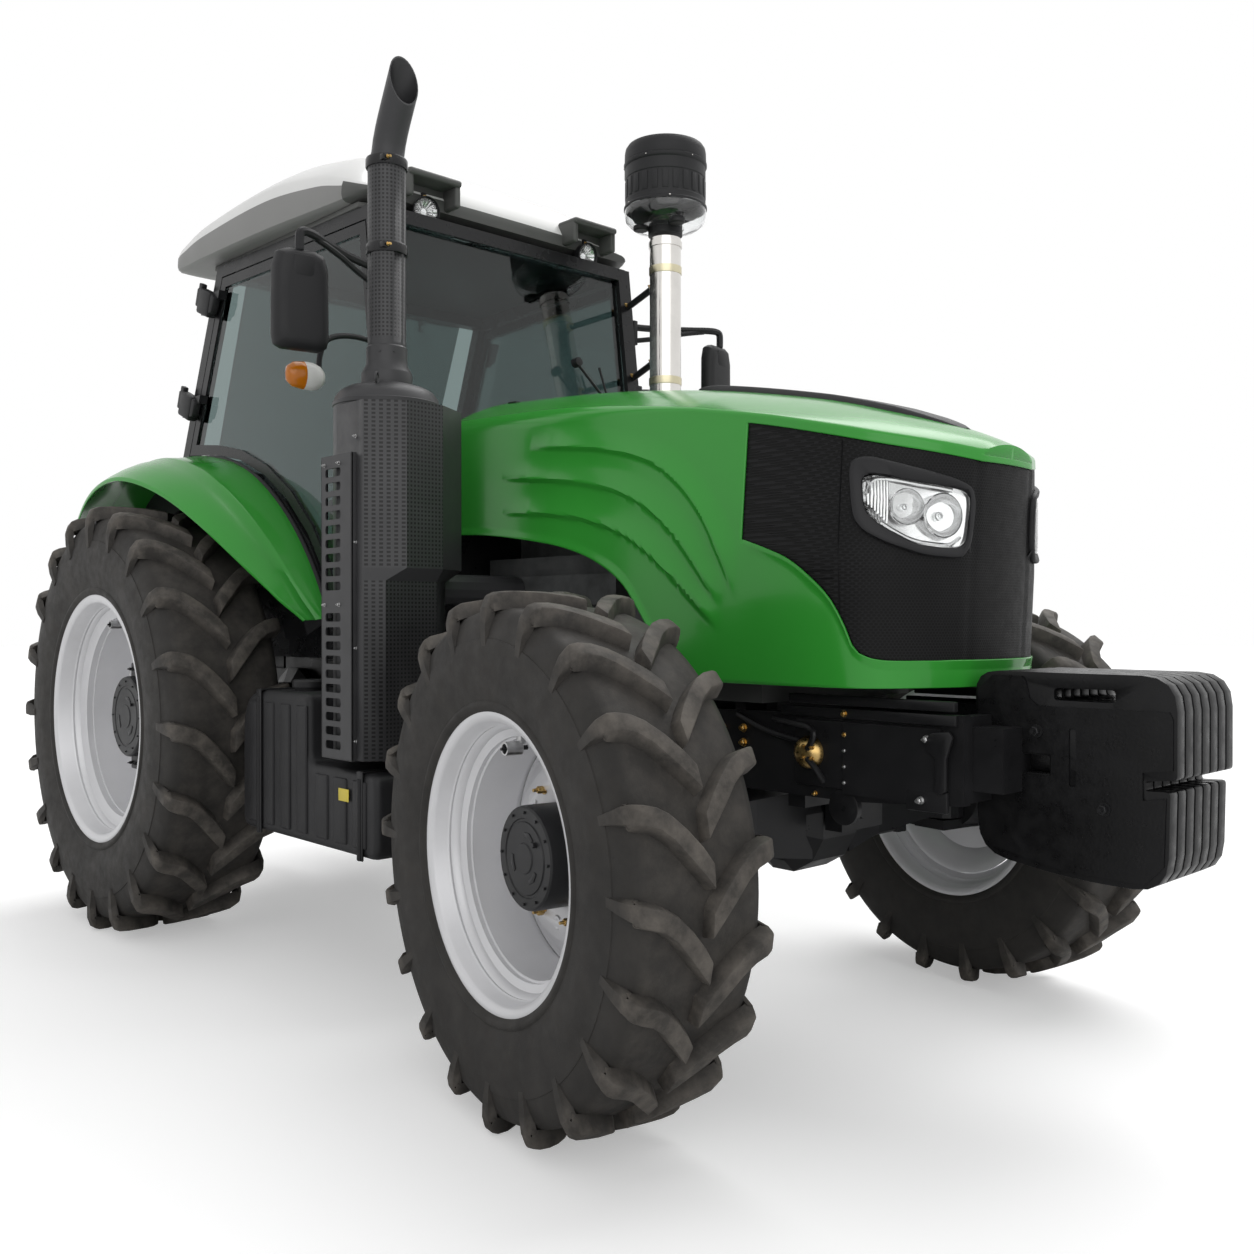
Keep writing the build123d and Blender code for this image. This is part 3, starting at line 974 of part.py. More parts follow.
for s in (-1, 1):
    outline = [(lift_pivot[0] + 30 * math.sin(slope), lift_pivot[1] + 52), (rod_top[0], rod_top[2] + 30),
               (rod_top[0] - 28, rod_top[2]), (rod_top[0], rod_top[2] - 30), (lift_pivot[0], lift_pivot[1] - 52),
               (lift_pivot[0] + 50, lift_pivot[1])]
    arms += side_plate(outline, (s * lift_half - 18, s * lift_half + 18))
    arms += rod((rod_top[0], s * (lift_half + 10), rod_top[2]), (rod_top[0], s * (lift_half + 62), rod_top[2]), lift_pin)
put("lift_arms", arms)
rods = []
for s in (-1, 1):
    y = s * (lift_half + 42)
    bar = tube([(rod_top[0], y, rod_top[2] - 26), (rod_low[0], y, rod_low[2] + 26)], 17, 8)
    bar += tube([(rod_top[0], y, rod_top[2] - 150), (rod_low[0], y, rod_low[2] + 200)], 24, 8)
    for c, gap in ((rod_top, running_gap), (rod_low, open_eye_gap)):
        bar += eye(c[0], c[2], y - 14, y + 14, 32)
        bar -= rod((c[0], y - 20, c[2]), (c[0], y + 20, c[2]), lift_pin + gap)
    rods.append(bar)
put("lift_rods", *rods)

top_slope = math.radians(top_link_slope)
along_top = (-math.cos(top_slope), math.sin(top_slope))
end = (top_link_pivot[0] + along_top[0] * top_link_length, top_link_pivot[1] - along_top[1] * top_link_length)
near = (top_link_pivot[0] + along_top[0] * 28, top_link_pivot[1] - along_top[1] * 28)
far = (end[0] - along_top[0] * 28, end[1] + along_top[1] * 28)
middle = [(near[0] + (far[0] - near[0]) * t, 0, near[1] + (far[1] - near[1]) * t) for t in (0.22, 0.72)]
top_link = tube([(near[0], 0, near[1]), (far[0], 0, far[1])], 17, 8) + tube(middle, 25, 8)
for c in (top_link_pivot, end):
    top_link += eye(c[0], c[1], -24, 24, 34)
top_link -= rod((top_link_pivot[0], -30, top_link_pivot[1]), (top_link_pivot[0], 30, top_link_pivot[1]), top_pin_radius + running_gap)
top_link -= rod((end[0], -30, end[1]), (end[0], 30, end[1]), top_hole_radius)
put("top_link", top_link)
hitch = box((gearbox_rear - seat_gap - 30, gearbox_rear - seat_gap), (-90, 90), (top_link_pivot[1] - 90, top_link_pivot[1] + 70))
for s in (-1, 1):
    hitch += box((top_link_pivot[0] - 34, gearbox_rear - 20), across(s, 32, 56), (top_link_pivot[1] - 36, top_link_pivot[1] + 36))
hitch += rod((top_link_pivot[0], -56, top_link_pivot[1]), (top_link_pivot[0], 56, top_link_pivot[1]), top_pin_radius)
put("hitch_bracket", hitch)
drawbar = box((drawbar_end, -100), (-45, 45), (drawbar_z - 20, drawbar_z + 20))
drawbar += box((-240, -100), (-120, 120), (drawbar_z + 20, gearbox_profile[-1][1] - seat_gap))
drawbar -= rod((drawbar_end + 50, 0, drawbar_z - 30), (drawbar_end + 50, 0, drawbar_z + 30), drawbar_hole)
put("drawbar", drawbar)
pto_end, pto_length = gearbox_rear - 130.0, 80.0
shaft = rod((pto_end, 0, pto_z), (pto_end + pto_length + 1, 0, pto_z), pto_radius)
shaft += turned([(0, 30), (20, 30)], (pto_end + pto_length, 0, pto_z), (1, 0, 0))
shaft += rod((pto_end + pto_length + 19, 0, pto_z), (gearbox_rear + 55, 0, pto_z), pto_neck)
put("pto_shaft", shaft)

# lamps: work lamp lenses in the roof pods, and rear lamps behind the fenders
lamps = []
for y in (-pod_y, pod_y):
    lamps.append(box((pod_front_x - 30 + seat_gap, pod_front_x - 14), (y - pod_half + 20.3, y + pod_half - 20.3), (roof_z + 44.3, roof_z + pod_top - 10.3)))
put("work_lamps", *lamps)
tail = fender_table[0]
tail_a = math.radians(tail["angle"])
tail_r = rear["radius"] + 0.5 * (tail["inner_r"] + tail["crease_r"]) - fender_thick
tail_x, tail_z = tail_r * math.sin(tail_a), rear["radius"] + tail_r * math.cos(tail_a)
rear_lamp = box((tail_x - 52, tail_x - 6), (-930, -790), (tail_z - 70, tail_z + 10))
rear_lamp -= fender
put("rear_lamps", *pair(rear_lamp))

total = 0
for node, whole in made.items():
    total += len(whole.solids())
print(len(made), "nodes", total, "solids")
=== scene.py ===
"""The looks of a four-wheel-drive farm tractor, laid over its construction model."""

import json
import math

import bmesh
import bpy
from bpy.props import FloatProperty, FloatVectorProperty, IntProperty, PointerProperty
from bpy.types import Operator, Panel, PropertyGroup
from mathutils import Matrix, Vector


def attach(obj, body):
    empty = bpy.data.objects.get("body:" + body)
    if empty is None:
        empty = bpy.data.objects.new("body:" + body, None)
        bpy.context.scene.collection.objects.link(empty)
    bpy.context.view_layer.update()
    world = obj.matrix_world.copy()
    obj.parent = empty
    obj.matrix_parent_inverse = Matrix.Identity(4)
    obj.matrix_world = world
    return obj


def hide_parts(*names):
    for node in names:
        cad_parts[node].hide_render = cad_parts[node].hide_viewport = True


bl_info = {
    "name": "Farm Tractor Looks",
    "version": (1, 0, 0),
    "blender": (4, 5, 0),
    "location": "3D View > Sidebar > Tractor",
    "description": "Builds the visible pieces and finishes of a farm tractor",
    "category": "Add Mesh",
}

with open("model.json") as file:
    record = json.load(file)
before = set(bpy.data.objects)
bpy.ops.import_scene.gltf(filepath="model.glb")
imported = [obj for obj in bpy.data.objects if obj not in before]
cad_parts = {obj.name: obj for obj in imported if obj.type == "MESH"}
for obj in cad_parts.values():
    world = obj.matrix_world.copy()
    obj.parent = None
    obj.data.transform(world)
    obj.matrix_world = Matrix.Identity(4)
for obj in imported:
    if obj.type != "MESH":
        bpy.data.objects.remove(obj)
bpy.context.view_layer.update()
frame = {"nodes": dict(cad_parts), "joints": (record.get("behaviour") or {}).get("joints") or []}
joint = {j["name"]: j for j in frame["joints"]}
node = frame["nodes"]
axle_line = joint["spin_rear_right"]["pos_m"][0]
coats = {}


# ---------------------------------------------------------------- sizes and colours a user may change
def colour(name, description, default):
    return FloatVectorProperty(name=name, description=description, default=default, subtype="COLOR", size=3, min=0.0,
        max=1.0)


def length(name, description, default):
    return FloatProperty(name=name, description=description, default=default, unit="LENGTH", precision=4)


class TractorColours(PropertyGroup):
    """Paint, rubber, metal and glass colours."""

    paint: colour("Body paint", "Colour of the hood and fenders", (0.034, 0.300, 0.034))
    roof: colour("Roof", "Colour of the roof shell", (0.72, 0.72, 0.71))
    roof_trim: colour("Roof trim", "Colour of the visor and lamp pods", (0.085, 0.087, 0.083))
    rubber: colour("Tyre rubber", "Colour of the tyres", (0.021, 0.020, 0.019))
    dust: colour("Dust", "Dry soil on the tread bars", (0.115, 0.103, 0.090))
    rim: colour("Rims", "Colour of the wheel rims", (0.66, 0.66, 0.675))
    black: colour("Black paint", "Colour of the frame, axles and hubs", (0.013, 0.013, 0.014))
    satin: colour("Exhaust finish", "Colour of the muffler, its shields and the exhaust", (0.038, 0.038, 0.040))
    iron: colour("Cast weights", "Colour of the front weights", (0.006, 0.006, 0.0065))
    glass: colour("Glass", "Tint of the cab glass", (0.16, 0.215, 0.21))
    seat: colour("Seat cloth", "Colour of the seat", (0.035, 0.036, 0.040))


class TractorWheels(PropertyGroup):
    """Tyre tread and wheel sizes."""

    bars: IntProperty(name="Tread bars", description="Bars on each side of a tyre", default=20, min=12, max=26)
    bar_sweep: FloatProperty(name="Bar sweep", description="Turn from a bar's shoulder to its middle end",
        default=math.radians(12.6), subtype="ANGLE")
    front_radius: length("Front tyre radius", "To the tips of the front tread bars", 0.675)
    rear_radius: length("Rear tyre radius", "To the tips of the rear tread bars", 0.875)
    nut_size: length("Wheel nut", "Across the corners of a wheel nut", 0.034)


class TractorHood(PropertyGroup):
    """Hood sheet and styling."""

    sheet: length("Sheet", "Thickness of the hood's sheet", 0.006)
    crease: length("Crease height", "How far a styling crease stands out", 0.017)
    inset: length("Grille inset", "How far the mesh lies behind the paint", 0.006)


class TractorStage(PropertyGroup):
    """Camera, floor and light."""

    lens: FloatProperty(name="Lens", description="Focal length of the camera", default=34.0, unit="CAMERA")
    camera_place: FloatVectorProperty(name="Camera", description="Where the camera stands", default=(3.595, -2.90,
        1.272), subtype="TRANSLATION", size=3)
    camera_turn: FloatProperty(name="Camera turn", description="View direction about the vertical",
        default=math.radians(47.018), subtype="ANGLE")
    camera_tilt: FloatProperty(name="Camera tilt", description="View direction above level",
        default=math.radians(-0.247), subtype="ANGLE")
    sun: FloatProperty(name="Overhead light", description="Strength of the soft overhead light", default=1.7, min=0.0)
    sky: FloatProperty(name="Room light", description="Strength of the even light of the room", default=0.55, min=0.0)


# ---------------------------------------------------------------- finishes
def link(tree, a, out, b, socket):
    tree.links.new(a.outputs[out], b.inputs[socket])


def add_node(tree, kind, values):
    """A shader node with numbers or colours on its sockets."""
    made = tree.nodes.new(kind)
    for socket, value in values.items():
        made.inputs[socket].default_value = value
    return made


def calc(tree, kind, *values):
    """One step of arithmetic on sockets and numbers."""
    made = tree.nodes.new("ShaderNodeMath")
    made.operation = kind
    for socket, value in zip(made.inputs, values):
        if isinstance(value, bpy.types.NodeSocket):
            tree.links.new(value, socket)
        else:
            socket.default_value = value
    return made.outputs[0]


def noise(tree, place, scale, detail=3.0, rough=0.5):
    """Noise in Object coordinates."""
    made = add_node(tree, "ShaderNodeTexNoise", {"Scale": scale, "Detail": detail, "Roughness": rough})
    link(tree, place, "Object", made, "Vector")
    return made


def spread(tree, source, out, low, high, to_low, to_high):
    """Map a value's range to another range, clamped."""
    made = add_node(tree, "ShaderNodeMapRange", {"From Min": low, "From Max": high, "To Min": to_low,
        "To Max": to_high})
    link(tree, source, out, made, "Value")
    return made


def blend_colour(tree, factor, out, a, b, mode="MIX"):
    """Mix two colours, or a socket and a colour, by a factor socket."""
    m = tree.nodes.new("ShaderNodeMix")
    m.data_type = "RGBA"
    m.blend_type = mode
    for index, c in ((6, a), (7, b)):
        if isinstance(c, bpy.types.NodeSocket):
            tree.links.new(c, m.inputs[index])
        else:
            m.inputs[index].default_value = (c[0], c[1], c[2], 1.0)
    if isinstance(factor, float):
        m.inputs[0].default_value = factor
    else:
        tree.links.new(factor.outputs[out], m.inputs[0])
    return m


def finish(name, colour, rough, metal=0.0, mottle=0.10, patch=2.5, grain=0.0, fine=160.0, vary=0.06, lacquer=0.0,
        wear=0.0, wear_colour=(0.1, 0.1, 0.1), shine=0.5):
    """A finish with a colour that shifts in patches, a varied gloss and a fine surface grain."""
    made = bpy.data.materials.new(name)
    made.use_nodes = True
    tree = made.node_tree
    shader = tree.nodes["Principled BSDF"]
    place = tree.nodes.new("ShaderNodeTexCoord")
    patches = noise(tree, place, patch, 5.0, 0.6)
    shade = spread(tree, patches, "Fac", 0.35, 0.65, 0.0, 1.0)
    dark = [c * (1 - mottle) for c in colour]
    light = [min(1.0, c * (1 + mottle)) for c in colour]
    tone = blend_colour(tree, shade, "Result", dark, light)
    if wear:
        scuff = spread(tree, noise(tree, place, 38.0, 6.0, 0.7), "Fac", 0.62, 0.76, 0.0, wear)
        tone = blend_colour(tree, scuff, "Result", tone.outputs[2], wear_colour)
    link(tree, tone, 2, shader, "Base Color")
    gloss = noise(tree, place, patch * 4.0, 4.0, 0.6)
    sheen = spread(tree, gloss, "Fac", 0.3, 0.7, max(0.0, rough - vary), min(1.0, rough + vary))
    link(tree, sheen, "Result", shader, "Roughness")
    if grain:
        speck = noise(tree, place, fine, 3.0, 0.6)
        bump = add_node(tree, "ShaderNodeBump", {"Strength": grain, "Distance": 0.001})
        link(tree, speck, "Fac", bump, "Height")
        link(tree, bump, "Normal", shader, "Normal")
    for socket, value in (("Metallic", metal), ("Coat Weight", lacquer), ("Coat Roughness", 0.04),
            ("Specular IOR Level", shine)):
        shader.inputs[socket].default_value = value
    coats[name] = made
    return made


def parts_of(made):
    """(node tree, principled shader, texture coordinate) of a finish."""
    tree = made.node_tree
    return tree, tree.nodes["Principled BSDF"], next(n for n in tree.nodes if n.type == "TEX_COORD")


def pattern(made, height, out, strength, distance=0.001):
    """Add a relief from a height socket to a finish, over the grain it has."""
    tree, shader, _ = parts_of(made)
    bump = add_node(tree, "ShaderNodeBump", {"Strength": strength, "Distance": distance})
    link(tree, height, out, bump, "Height")
    if shader.inputs["Normal"].links:
        tree.links.new(shader.inputs["Normal"].links[0].from_socket, bump.inputs["Normal"])
    link(tree, bump, "Normal", shader, "Normal")


def tint(made, factor, out, colour):
    """Lay a colour over a finish by a factor socket."""
    tree, shader, _ = parts_of(made)
    mixed = blend_colour(tree, factor, out, shader.inputs["Base Color"].links[0].from_socket, colour)
    link(tree, mixed, 2, shader, "Base Color")


def coordinates(made):
    """The Object coordinates of a finish, split into X, Y and Z."""
    tree, _, place = parts_of(made)
    split = tree.nodes.new("ShaderNodeSeparateXYZ")
    link(tree, place, "Object", split, "Vector")
    return tree, split.outputs


def rounded_dots(made, pitch, radius, axes):
    """A factor that is 1 inside round holes on a staggered grid; axes names the two coordinates in use."""
    tree, place = coordinates(made)

    def from_middle(axis, step, shift):
        return calc(tree, "SUBTRACT", calc(tree, "FRACT", calc(tree, "ADD", calc(tree, "DIVIDE", place[axis], step),
            shift)), 0.5)

    far = []
    for shift in (0.0, 0.5):
        u, v = from_middle(axes[0], pitch, shift), from_middle(axes[1], pitch * 1.732, shift)
        squares = calc(tree, "MULTIPLY", u, u), calc(tree, "MULTIPLY", calc(tree, "MULTIPLY", v, v), 3.0)
        far.append(calc(tree, "SQRT", calc(tree, "ADD", *squares)))
    return spread(tree, calc(tree, "MINIMUM", *far).node, "Value", radius / pitch, radius / pitch * 1.12, 1.0, 0.0)


def square_holes(made, pitch, half, axes):
    """A factor that is 1 inside square holes on a square grid; without axes the grid runs round the exhaust."""
    tree, place = coordinates(made)
    if axes:
        across, along = (place[a] for a in axes)
    else:
        x, y = calc(tree, "SUBTRACT", place["X"], CAN_X / 1000 + axle_line), calc(tree, "SUBTRACT", place["Y"],
            CAN_Y / 1000)
        across, along = calc(tree, "MULTIPLY", calc(tree, "ARCTAN2", y, x), 0.062), place["Z"]
    inside = []
    for w in (across, along):
        middle = calc(tree, "SUBTRACT", calc(tree, "FRACT", calc(tree, "DIVIDE", w, pitch)), 0.5)
        inside.append(calc(tree, "LESS_THAN", calc(tree, "ABSOLUTE", middle), half / pitch))
    return calc(tree, "MULTIPLY", *inside).node


def make_finishes(c):
    """Every finish of the tractor."""
    finish("body_paint", c.paint, 0.20, mottle=0.03, patch=1.5, grain=0.02, fine=420.0, vary=0.04, lacquer=0.10,
        shine=0.3)
    finish("roof_white", c.roof, 0.34, mottle=0.03, grain=0.03, fine=300.0, lacquer=0.2)
    finish("roof_edge", (0.23, 0.23, 0.225), 0.5, mottle=0.06, grain=0.1, fine=500.0, shine=0.3)
    finish("roof_grey", c.roof_trim, 0.48, mottle=0.08, grain=0.15, fine=500.0, shine=0.3)
    finish("rim_silver", c.rim, 0.40, metal=0.25, mottle=0.04, patch=3.0, grain=0.05, fine=600.0, lacquer=0.15)
    finish("frame_black", c.black, 0.36, mottle=0.25, grain=0.08, fine=240.0, vary=0.1, wear=0.5, wear_colour=(0.03,
        0.028, 0.025), shine=0.22)
    finish("cab_black", c.black, 0.28, mottle=0.15, grain=0.03, fine=300.0, shine=0.3)
    finish("hub_black", c.black, 0.40, mottle=0.2, grain=0.10, fine=320.0, wear=0.3, wear_colour=(0.035, 0.033, 0.03),
        shine=0.3)
    finish("soft_black", [v * 1.3 for v in c.black], 0.50, mottle=0.15, grain=0.2, fine=700.0, shine=0.25)
    finish("exhaust_satin", c.satin, 0.44, metal=0.15, mottle=0.12, patch=4.0, grain=0.08, fine=380.0, wear=0.25,
           wear_colour=(0.07, 0.066, 0.06), shine=0.35)
    finish("cast_iron", c.iron, 0.34, mottle=0.3, patch=6.0, grain=0.45, fine=120.0, vary=0.12, wear=0.3,
        wear_colour=(0.016, 0.015, 0.014), shine=0.22)
    # a black darker than the black paint: painted shade for parts set into recesses, such as the grille's seams
    finish("recess_shade_black", [v * 0.4 for v in c.black], 0.7, mottle=0.3, grain=0.1, shine=0.1)
    finish("engine_grey", (0.075, 0.078, 0.078), 0.5, metal=0.4, mottle=0.35, patch=9.0, grain=0.3, fine=90.0, wear=0.6,
           wear_colour=(0.05, 0.04, 0.03))
    finish("bright_steel", (0.70, 0.68, 0.65), 0.20, metal=1.0, mottle=0.06, patch=5.0, grain=0.04, fine=260.0,
        vary=0.08)
    finish("zinc", (0.46, 0.46, 0.46), 0.34, metal=1.0, mottle=0.15, patch=30.0, grain=0.1)
    finish("brass", (0.50, 0.34, 0.13), 0.30, metal=1.0, mottle=0.2, patch=30.0, grain=0.1)
    finish("mirror_face", (0.80, 0.82, 0.83), 0.03, metal=1.0, mottle=0.01, vary=0.01)
    finish("reflector", (0.66, 0.66, 0.66), 0.16, metal=1.0, mottle=0.03, patch=40.0, vary=0.05)
    finish("plate_yellow", (0.62, 0.50, 0.05), 0.4, mottle=0.05)
    finish("panel_grey", (0.055, 0.056, 0.058), 0.62, mottle=0.12, grain=0.25, fine=500.0, shine=0.25)
    finish("seat_shell", c.black, 0.5, mottle=0.15, grain=0.2, fine=400.0)

    rubber = finish("tyre_rubber", c.rubber, 0.66, mottle=0.22, patch=5.0, grain=0.35, fine=260.0, vary=0.1, shine=0.25)
    tree, _, place = parts_of(rubber)
    worn = tree.nodes.new("ShaderNodeAttribute")
    worn.attribute_name = "dust"
    blot = spread(tree, noise(tree, place, 14.0, 6.0, 0.65), "Fac", 0.38, 0.66, 0.25, 1.0)
    tint(rubber, calc(tree, "MULTIPLY", worn.outputs["Fac"], blot.outputs["Result"]).node, "Value", c.dust)
    film = spread(tree, noise(tree, place, 4.0, 6.0, 0.7), "Fac", 0.45, 0.75, 0.0, 0.14)
    tint(rubber, film, "Result", [v * 0.62 for v in c.dust])

    mesh = finish("grille_mesh", [v * 0.8 for v in c.black], 0.50, mottle=0.2, patch=8.0, shine=0.15)
    holes = rounded_dots(mesh, 0.0085, 0.0031, ("Y", "Z"))
    # the round holes are tinted almost black: painted shade for the dark space behind the screen
    tint(mesh, holes, "Result", (0.003, 0.003, 0.003))
    pattern(mesh, holes, "Result", 0.8, -0.002)

    for name, axes in (("perforated_side", ("X", "Z")), ("perforated_front", ("Y", "Z")), ("perforated_pipe", None)):
        sheet = finish(name, c.satin, 0.42, metal=0.3, mottle=0.12, patch=4.0)
        holes = square_holes(sheet, 0.0130, 0.0034, axes)
        # the square holes are tinted almost black: painted shade for the dark gap behind the sheet
        tint(sheet, holes, 0, (0.004, 0.004, 0.004))
        pattern(sheet, holes, 0, 0.7, -0.003)
    finish("warm_steel", (0.62, 0.57, 0.40), 0.32, metal=1.0, mottle=0.08, patch=8.0, grain=0.06)
    finish("label_white", (0.62, 0.62, 0.60), 0.45, mottle=0.06, patch=20.0)

    radiator = finish("radiator_core", (0.10, 0.10, 0.10), 0.5, metal=0.6, mottle=0.2)
    tree, _, place = parts_of(radiator)
    fins = tree.nodes.new("ShaderNodeTexWave")
    fins.bands_direction = "Z"
    fins.inputs["Scale"].default_value = 120.0
    link(tree, place, "Object", fins, "Vector")
    pattern(radiator, fins, "Fac", 0.7, 0.002)

    for name, tone, rough, clear in (("cab_glass", c.glass, 0.0, 1.0), ("clear_lens", (0.96, 0.97, 0.97), 0.02, 1.0),
            ("orange_lens", (1.0, 0.30, 0.01), 0.08, 0.55), ("red_lens", (0.75, 0.02, 0.01), 0.1, 0.4)):
        made = finish(name, tone, rough, mottle=0.02, patch=0.8, vary=0.0)
        shader = parts_of(made)[1]
        shader.inputs["Transmission Weight"].default_value = clear
        shader.inputs["IOR"].default_value = 1.45

    cloth = finish("seat_cloth", c.seat, 0.88, mottle=0.15, patch=12.0)
    tree, shader, place = parts_of(cloth)
    weave = add_node(tree, "ShaderNodeTexChecker", {"Scale": 330.0})
    link(tree, place, "Object", weave, "Vector")
    pattern(cloth, weave, "Fac", 0.35, 0.0006)
    shader.inputs["Sheen Weight"].default_value = 0.25


# ---------------------------------------------------------------- mesh helpers
def at(x, y, z):
    """A place in millimetres from the rear axle line, the middle plane and the ground."""
    return Vector((x / 1000 + axle_line, y / 1000, z / 1000))


def piece(name, bm, body, finishes, sharp=32.0, replaces=(), normals=True):
    """Close a mesh and make it one piece that rides on a body."""
    bmesh.ops.remove_doubles(bm, verts=bm.verts, dist=0.00002)
    if normals:
        bmesh.ops.recalc_face_normals(bm, faces=bm.faces)
    for f in bm.faces:
        f.smooth = True
    for e in bm.edges:
        if len(e.link_faces) == 2 and e.calc_face_angle(0.0) > math.radians(sharp):
            e.smooth = False
    mesh = bpy.data.meshes.new(name)
    bm.to_mesh(mesh)
    bm.free()
    made = bpy.data.objects.new(name, mesh)
    bpy.context.scene.collection.objects.link(made)
    for f in finishes:
        mesh.materials.append(coats[f])
    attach(made, body)
    if replaces:
        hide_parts(*replaces)
    return made


def paint(faces, index):
    for f in faces:
        f.material_index = index


def loft(bm, sections, closed=True, caps=True, coat=0):
    """Extrude the first section's edges through the places of the others."""
    row = [bm.verts.new(p) for p in sections[0]]
    ring = row + row[:1] if closed else row
    edges = [bm.edges.new(pair) for pair in zip(ring, ring[1:])]
    faces = []
    if caps and closed:
        faces.append(bm.faces.new(row))
    for places in sections[1:]:
        grown = bmesh.ops.extrude_edge_only(bm, edges=edges)["geom"]
        fresh = {g for g in grown if isinstance(g, bmesh.types.BMVert)}
        faces += faces_in(grown)
        row = [next(o for o in (e.other_vert(v) for e in v.link_edges) if o in fresh) for v in row]
        for v, p in zip(row, places):
            v.co = p
        ring = row + row[:1] if closed else row
        edges = [bm.edges.get(pair) for pair in zip(ring, ring[1:])]
    if caps and closed:
        faces.append(bm.faces.new(row))
    paint(faces, coat)
    return faces


def verts_in(geom):
    return [g for g in geom if isinstance(g, bmesh.types.BMVert)]


def faces_in(geom):
    return [g for g in geom if isinstance(g, bmesh.types.BMFace)]


def added(bm, before):
    """The faces that a mesh did not have before."""
    return [f for f in bm.faces if f not in before]


def turns(count, shift=0.0):
    """Even angles round a full turn."""
    return [2 * math.pi * (k + shift) / count for k in range(count)]


def around(a, z=0.0):
    """A step of length 1 at an angle about the vertical, with a height."""
    return Vector((math.cos(a), math.sin(a), z))


def verts_of(faces):
    return list(dict.fromkeys(v for f in faces for v in f.verts))


def edges_of(faces):
    return list(dict.fromkeys(e for f in faces for e in f.edges))


def soften(bm, edges, width, segments=2):
    """Round a set of edges."""
    if width > 0 and edges:
        return bmesh.ops.bevel(bm, geom=edges, offset=width, offset_type="OFFSET", segments=segments, profile=0.5,
            affect="EDGES", material=-1, clamp_overlap=True)["faces"]
    return []


def crisp(faces, over=25.0):
    """The edges between these faces that turn by more than an angle."""
    inside = set(faces)
    return [e for e in edges_of(faces) if len(e.link_faces) == 2 and all(f in inside for f in e.link_faces)
            and e.calc_face_angle(0.0) > math.radians(over)]


def slab(bm, low, high, round_edge=0.0, coat=0, segments=2):
    """A block between two opposite corners, with rounded edges."""
    low, high = (Vector([pick(a, b) for a, b in zip(low, high)]) for pick in (min, max))
    made = bmesh.ops.create_cube(bm, size=1.0)["verts"]
    size, mid = high - low, (high + low) / 2
    for v in made:
        v.co = Vector((mid[i] + v.co[i] * size[i] for i in range(3)))
    faces = list(dict.fromkeys(f for v in made for f in v.link_faces))
    paint(faces, coat)
    soften(bm, edges_of(faces), round_edge, segments)
    return faces


def shell(bm, rows, over=25.0, round_edge=0.0, segments=2):
    """A closed loft with its faces outward and its sharp edges rounded."""
    faces = loft(bm, rows)
    bmesh.ops.recalc_face_normals(bm, faces=faces)
    soften(bm, crisp(faces, over), round_edge, segments)
    return faces


def rounded(outline, cuts, steps):
    """A closed outline with an arc over each corner; a cut is how far from its corner an arc starts."""
    line = []
    for i, cut in enumerate(cuts):
        p, q, r = (Vector(outline[k % len(outline)]) for k in (i - 1, i, i + 1))
        start, end = (q + (w - q).normalized() * min(cut, (w - q).length * 0.45) for w in (p, r))
        line += [start * (1 - t) ** 2 + q * (2 * t * (1 - t)) + end * t ** 2 for t in steps_between(0.0, 1.0, steps)]
    return line


def plate(bm, outline, along, round_edge=0.0, coat=0, segments=2, over=25.0):
    """A plate from an outline of places, drawn out along a vector, with rounded edges."""
    face = bm.faces.new([bm.verts.new(p) for p in outline])
    grown = bmesh.ops.extrude_face_region(bm, geom=[face])["geom"]
    moved = verts_in(grown)
    bmesh.ops.translate(bm, verts=moved, vec=along)
    faces = list(dict.fromkeys([face] + [f for v in moved for f in v.link_faces]))
    bmesh.ops.recalc_face_normals(bm, faces=faces)
    paint(faces, coat)
    if round_edge:
        soften(bm, crisp(faces, over), round_edge, segments)
    return faces


def turn_profile(bm, rows, start, axis, steps=48, coat=0, closed=False):
    """Spin rows of (distance, radius) about an axis that starts at a place."""
    axis = Vector(axis).normalized()
    start = Vector(start)
    side = axis.orthogonal().normalized()
    row = [bm.verts.new(start + axis * d + side * r) for d, r in rows]
    loop = row + row[:1] if closed else row
    edges = [bm.edges.new(pair) for pair in zip(loop, loop[1:])]
    before = set(bm.faces)
    bmesh.ops.spin(bm, geom=row + edges, cent=start, axis=axis, angle=2 * math.pi, steps=steps, use_merge=True)
    faces = added(bm, before)
    bmesh.ops.remove_doubles(bm, verts=[v for v in verts_of(faces) if v.is_valid], dist=0.00001)
    faces = added(bm, before)
    paint(faces, coat)
    return faces


def run(bm, places, radius, coat=0, smooth=True, sides=12):
    """A round bar or pipe along a line of places, with closed ends."""
    line = bpy.data.curves.new("run", "CURVE")
    line.dimensions = "3D"
    line.bevel_depth = radius
    line.bevel_resolution = max(0, sides // 4 - 1)
    line.use_fill_caps = True
    line.resolution_u = 10
    spline = line.splines.new("NURBS" if smooth and len(places) > 2 else "POLY")
    spline.points.add(len(places) - 1)
    for point, p in zip(spline.points, places):
        point.co = (*p, 1.0)
    if spline.type == "NURBS":
        spline.order_u = 3
        spline.use_endpoint_u = True
    holder = bpy.data.objects.new("run", line)
    mesh = bpy.data.meshes.new_from_object(holder)
    before = set(bm.faces)
    bm.from_mesh(mesh)
    bpy.data.objects.remove(holder)
    bpy.data.curves.remove(line)
    bpy.data.meshes.remove(mesh)
    faces = added(bm, before)
    bmesh.ops.remove_doubles(bm, verts=verts_of(faces), dist=0.00001)
    faces = added(bm, before)
    paint(faces, coat)
    return faces


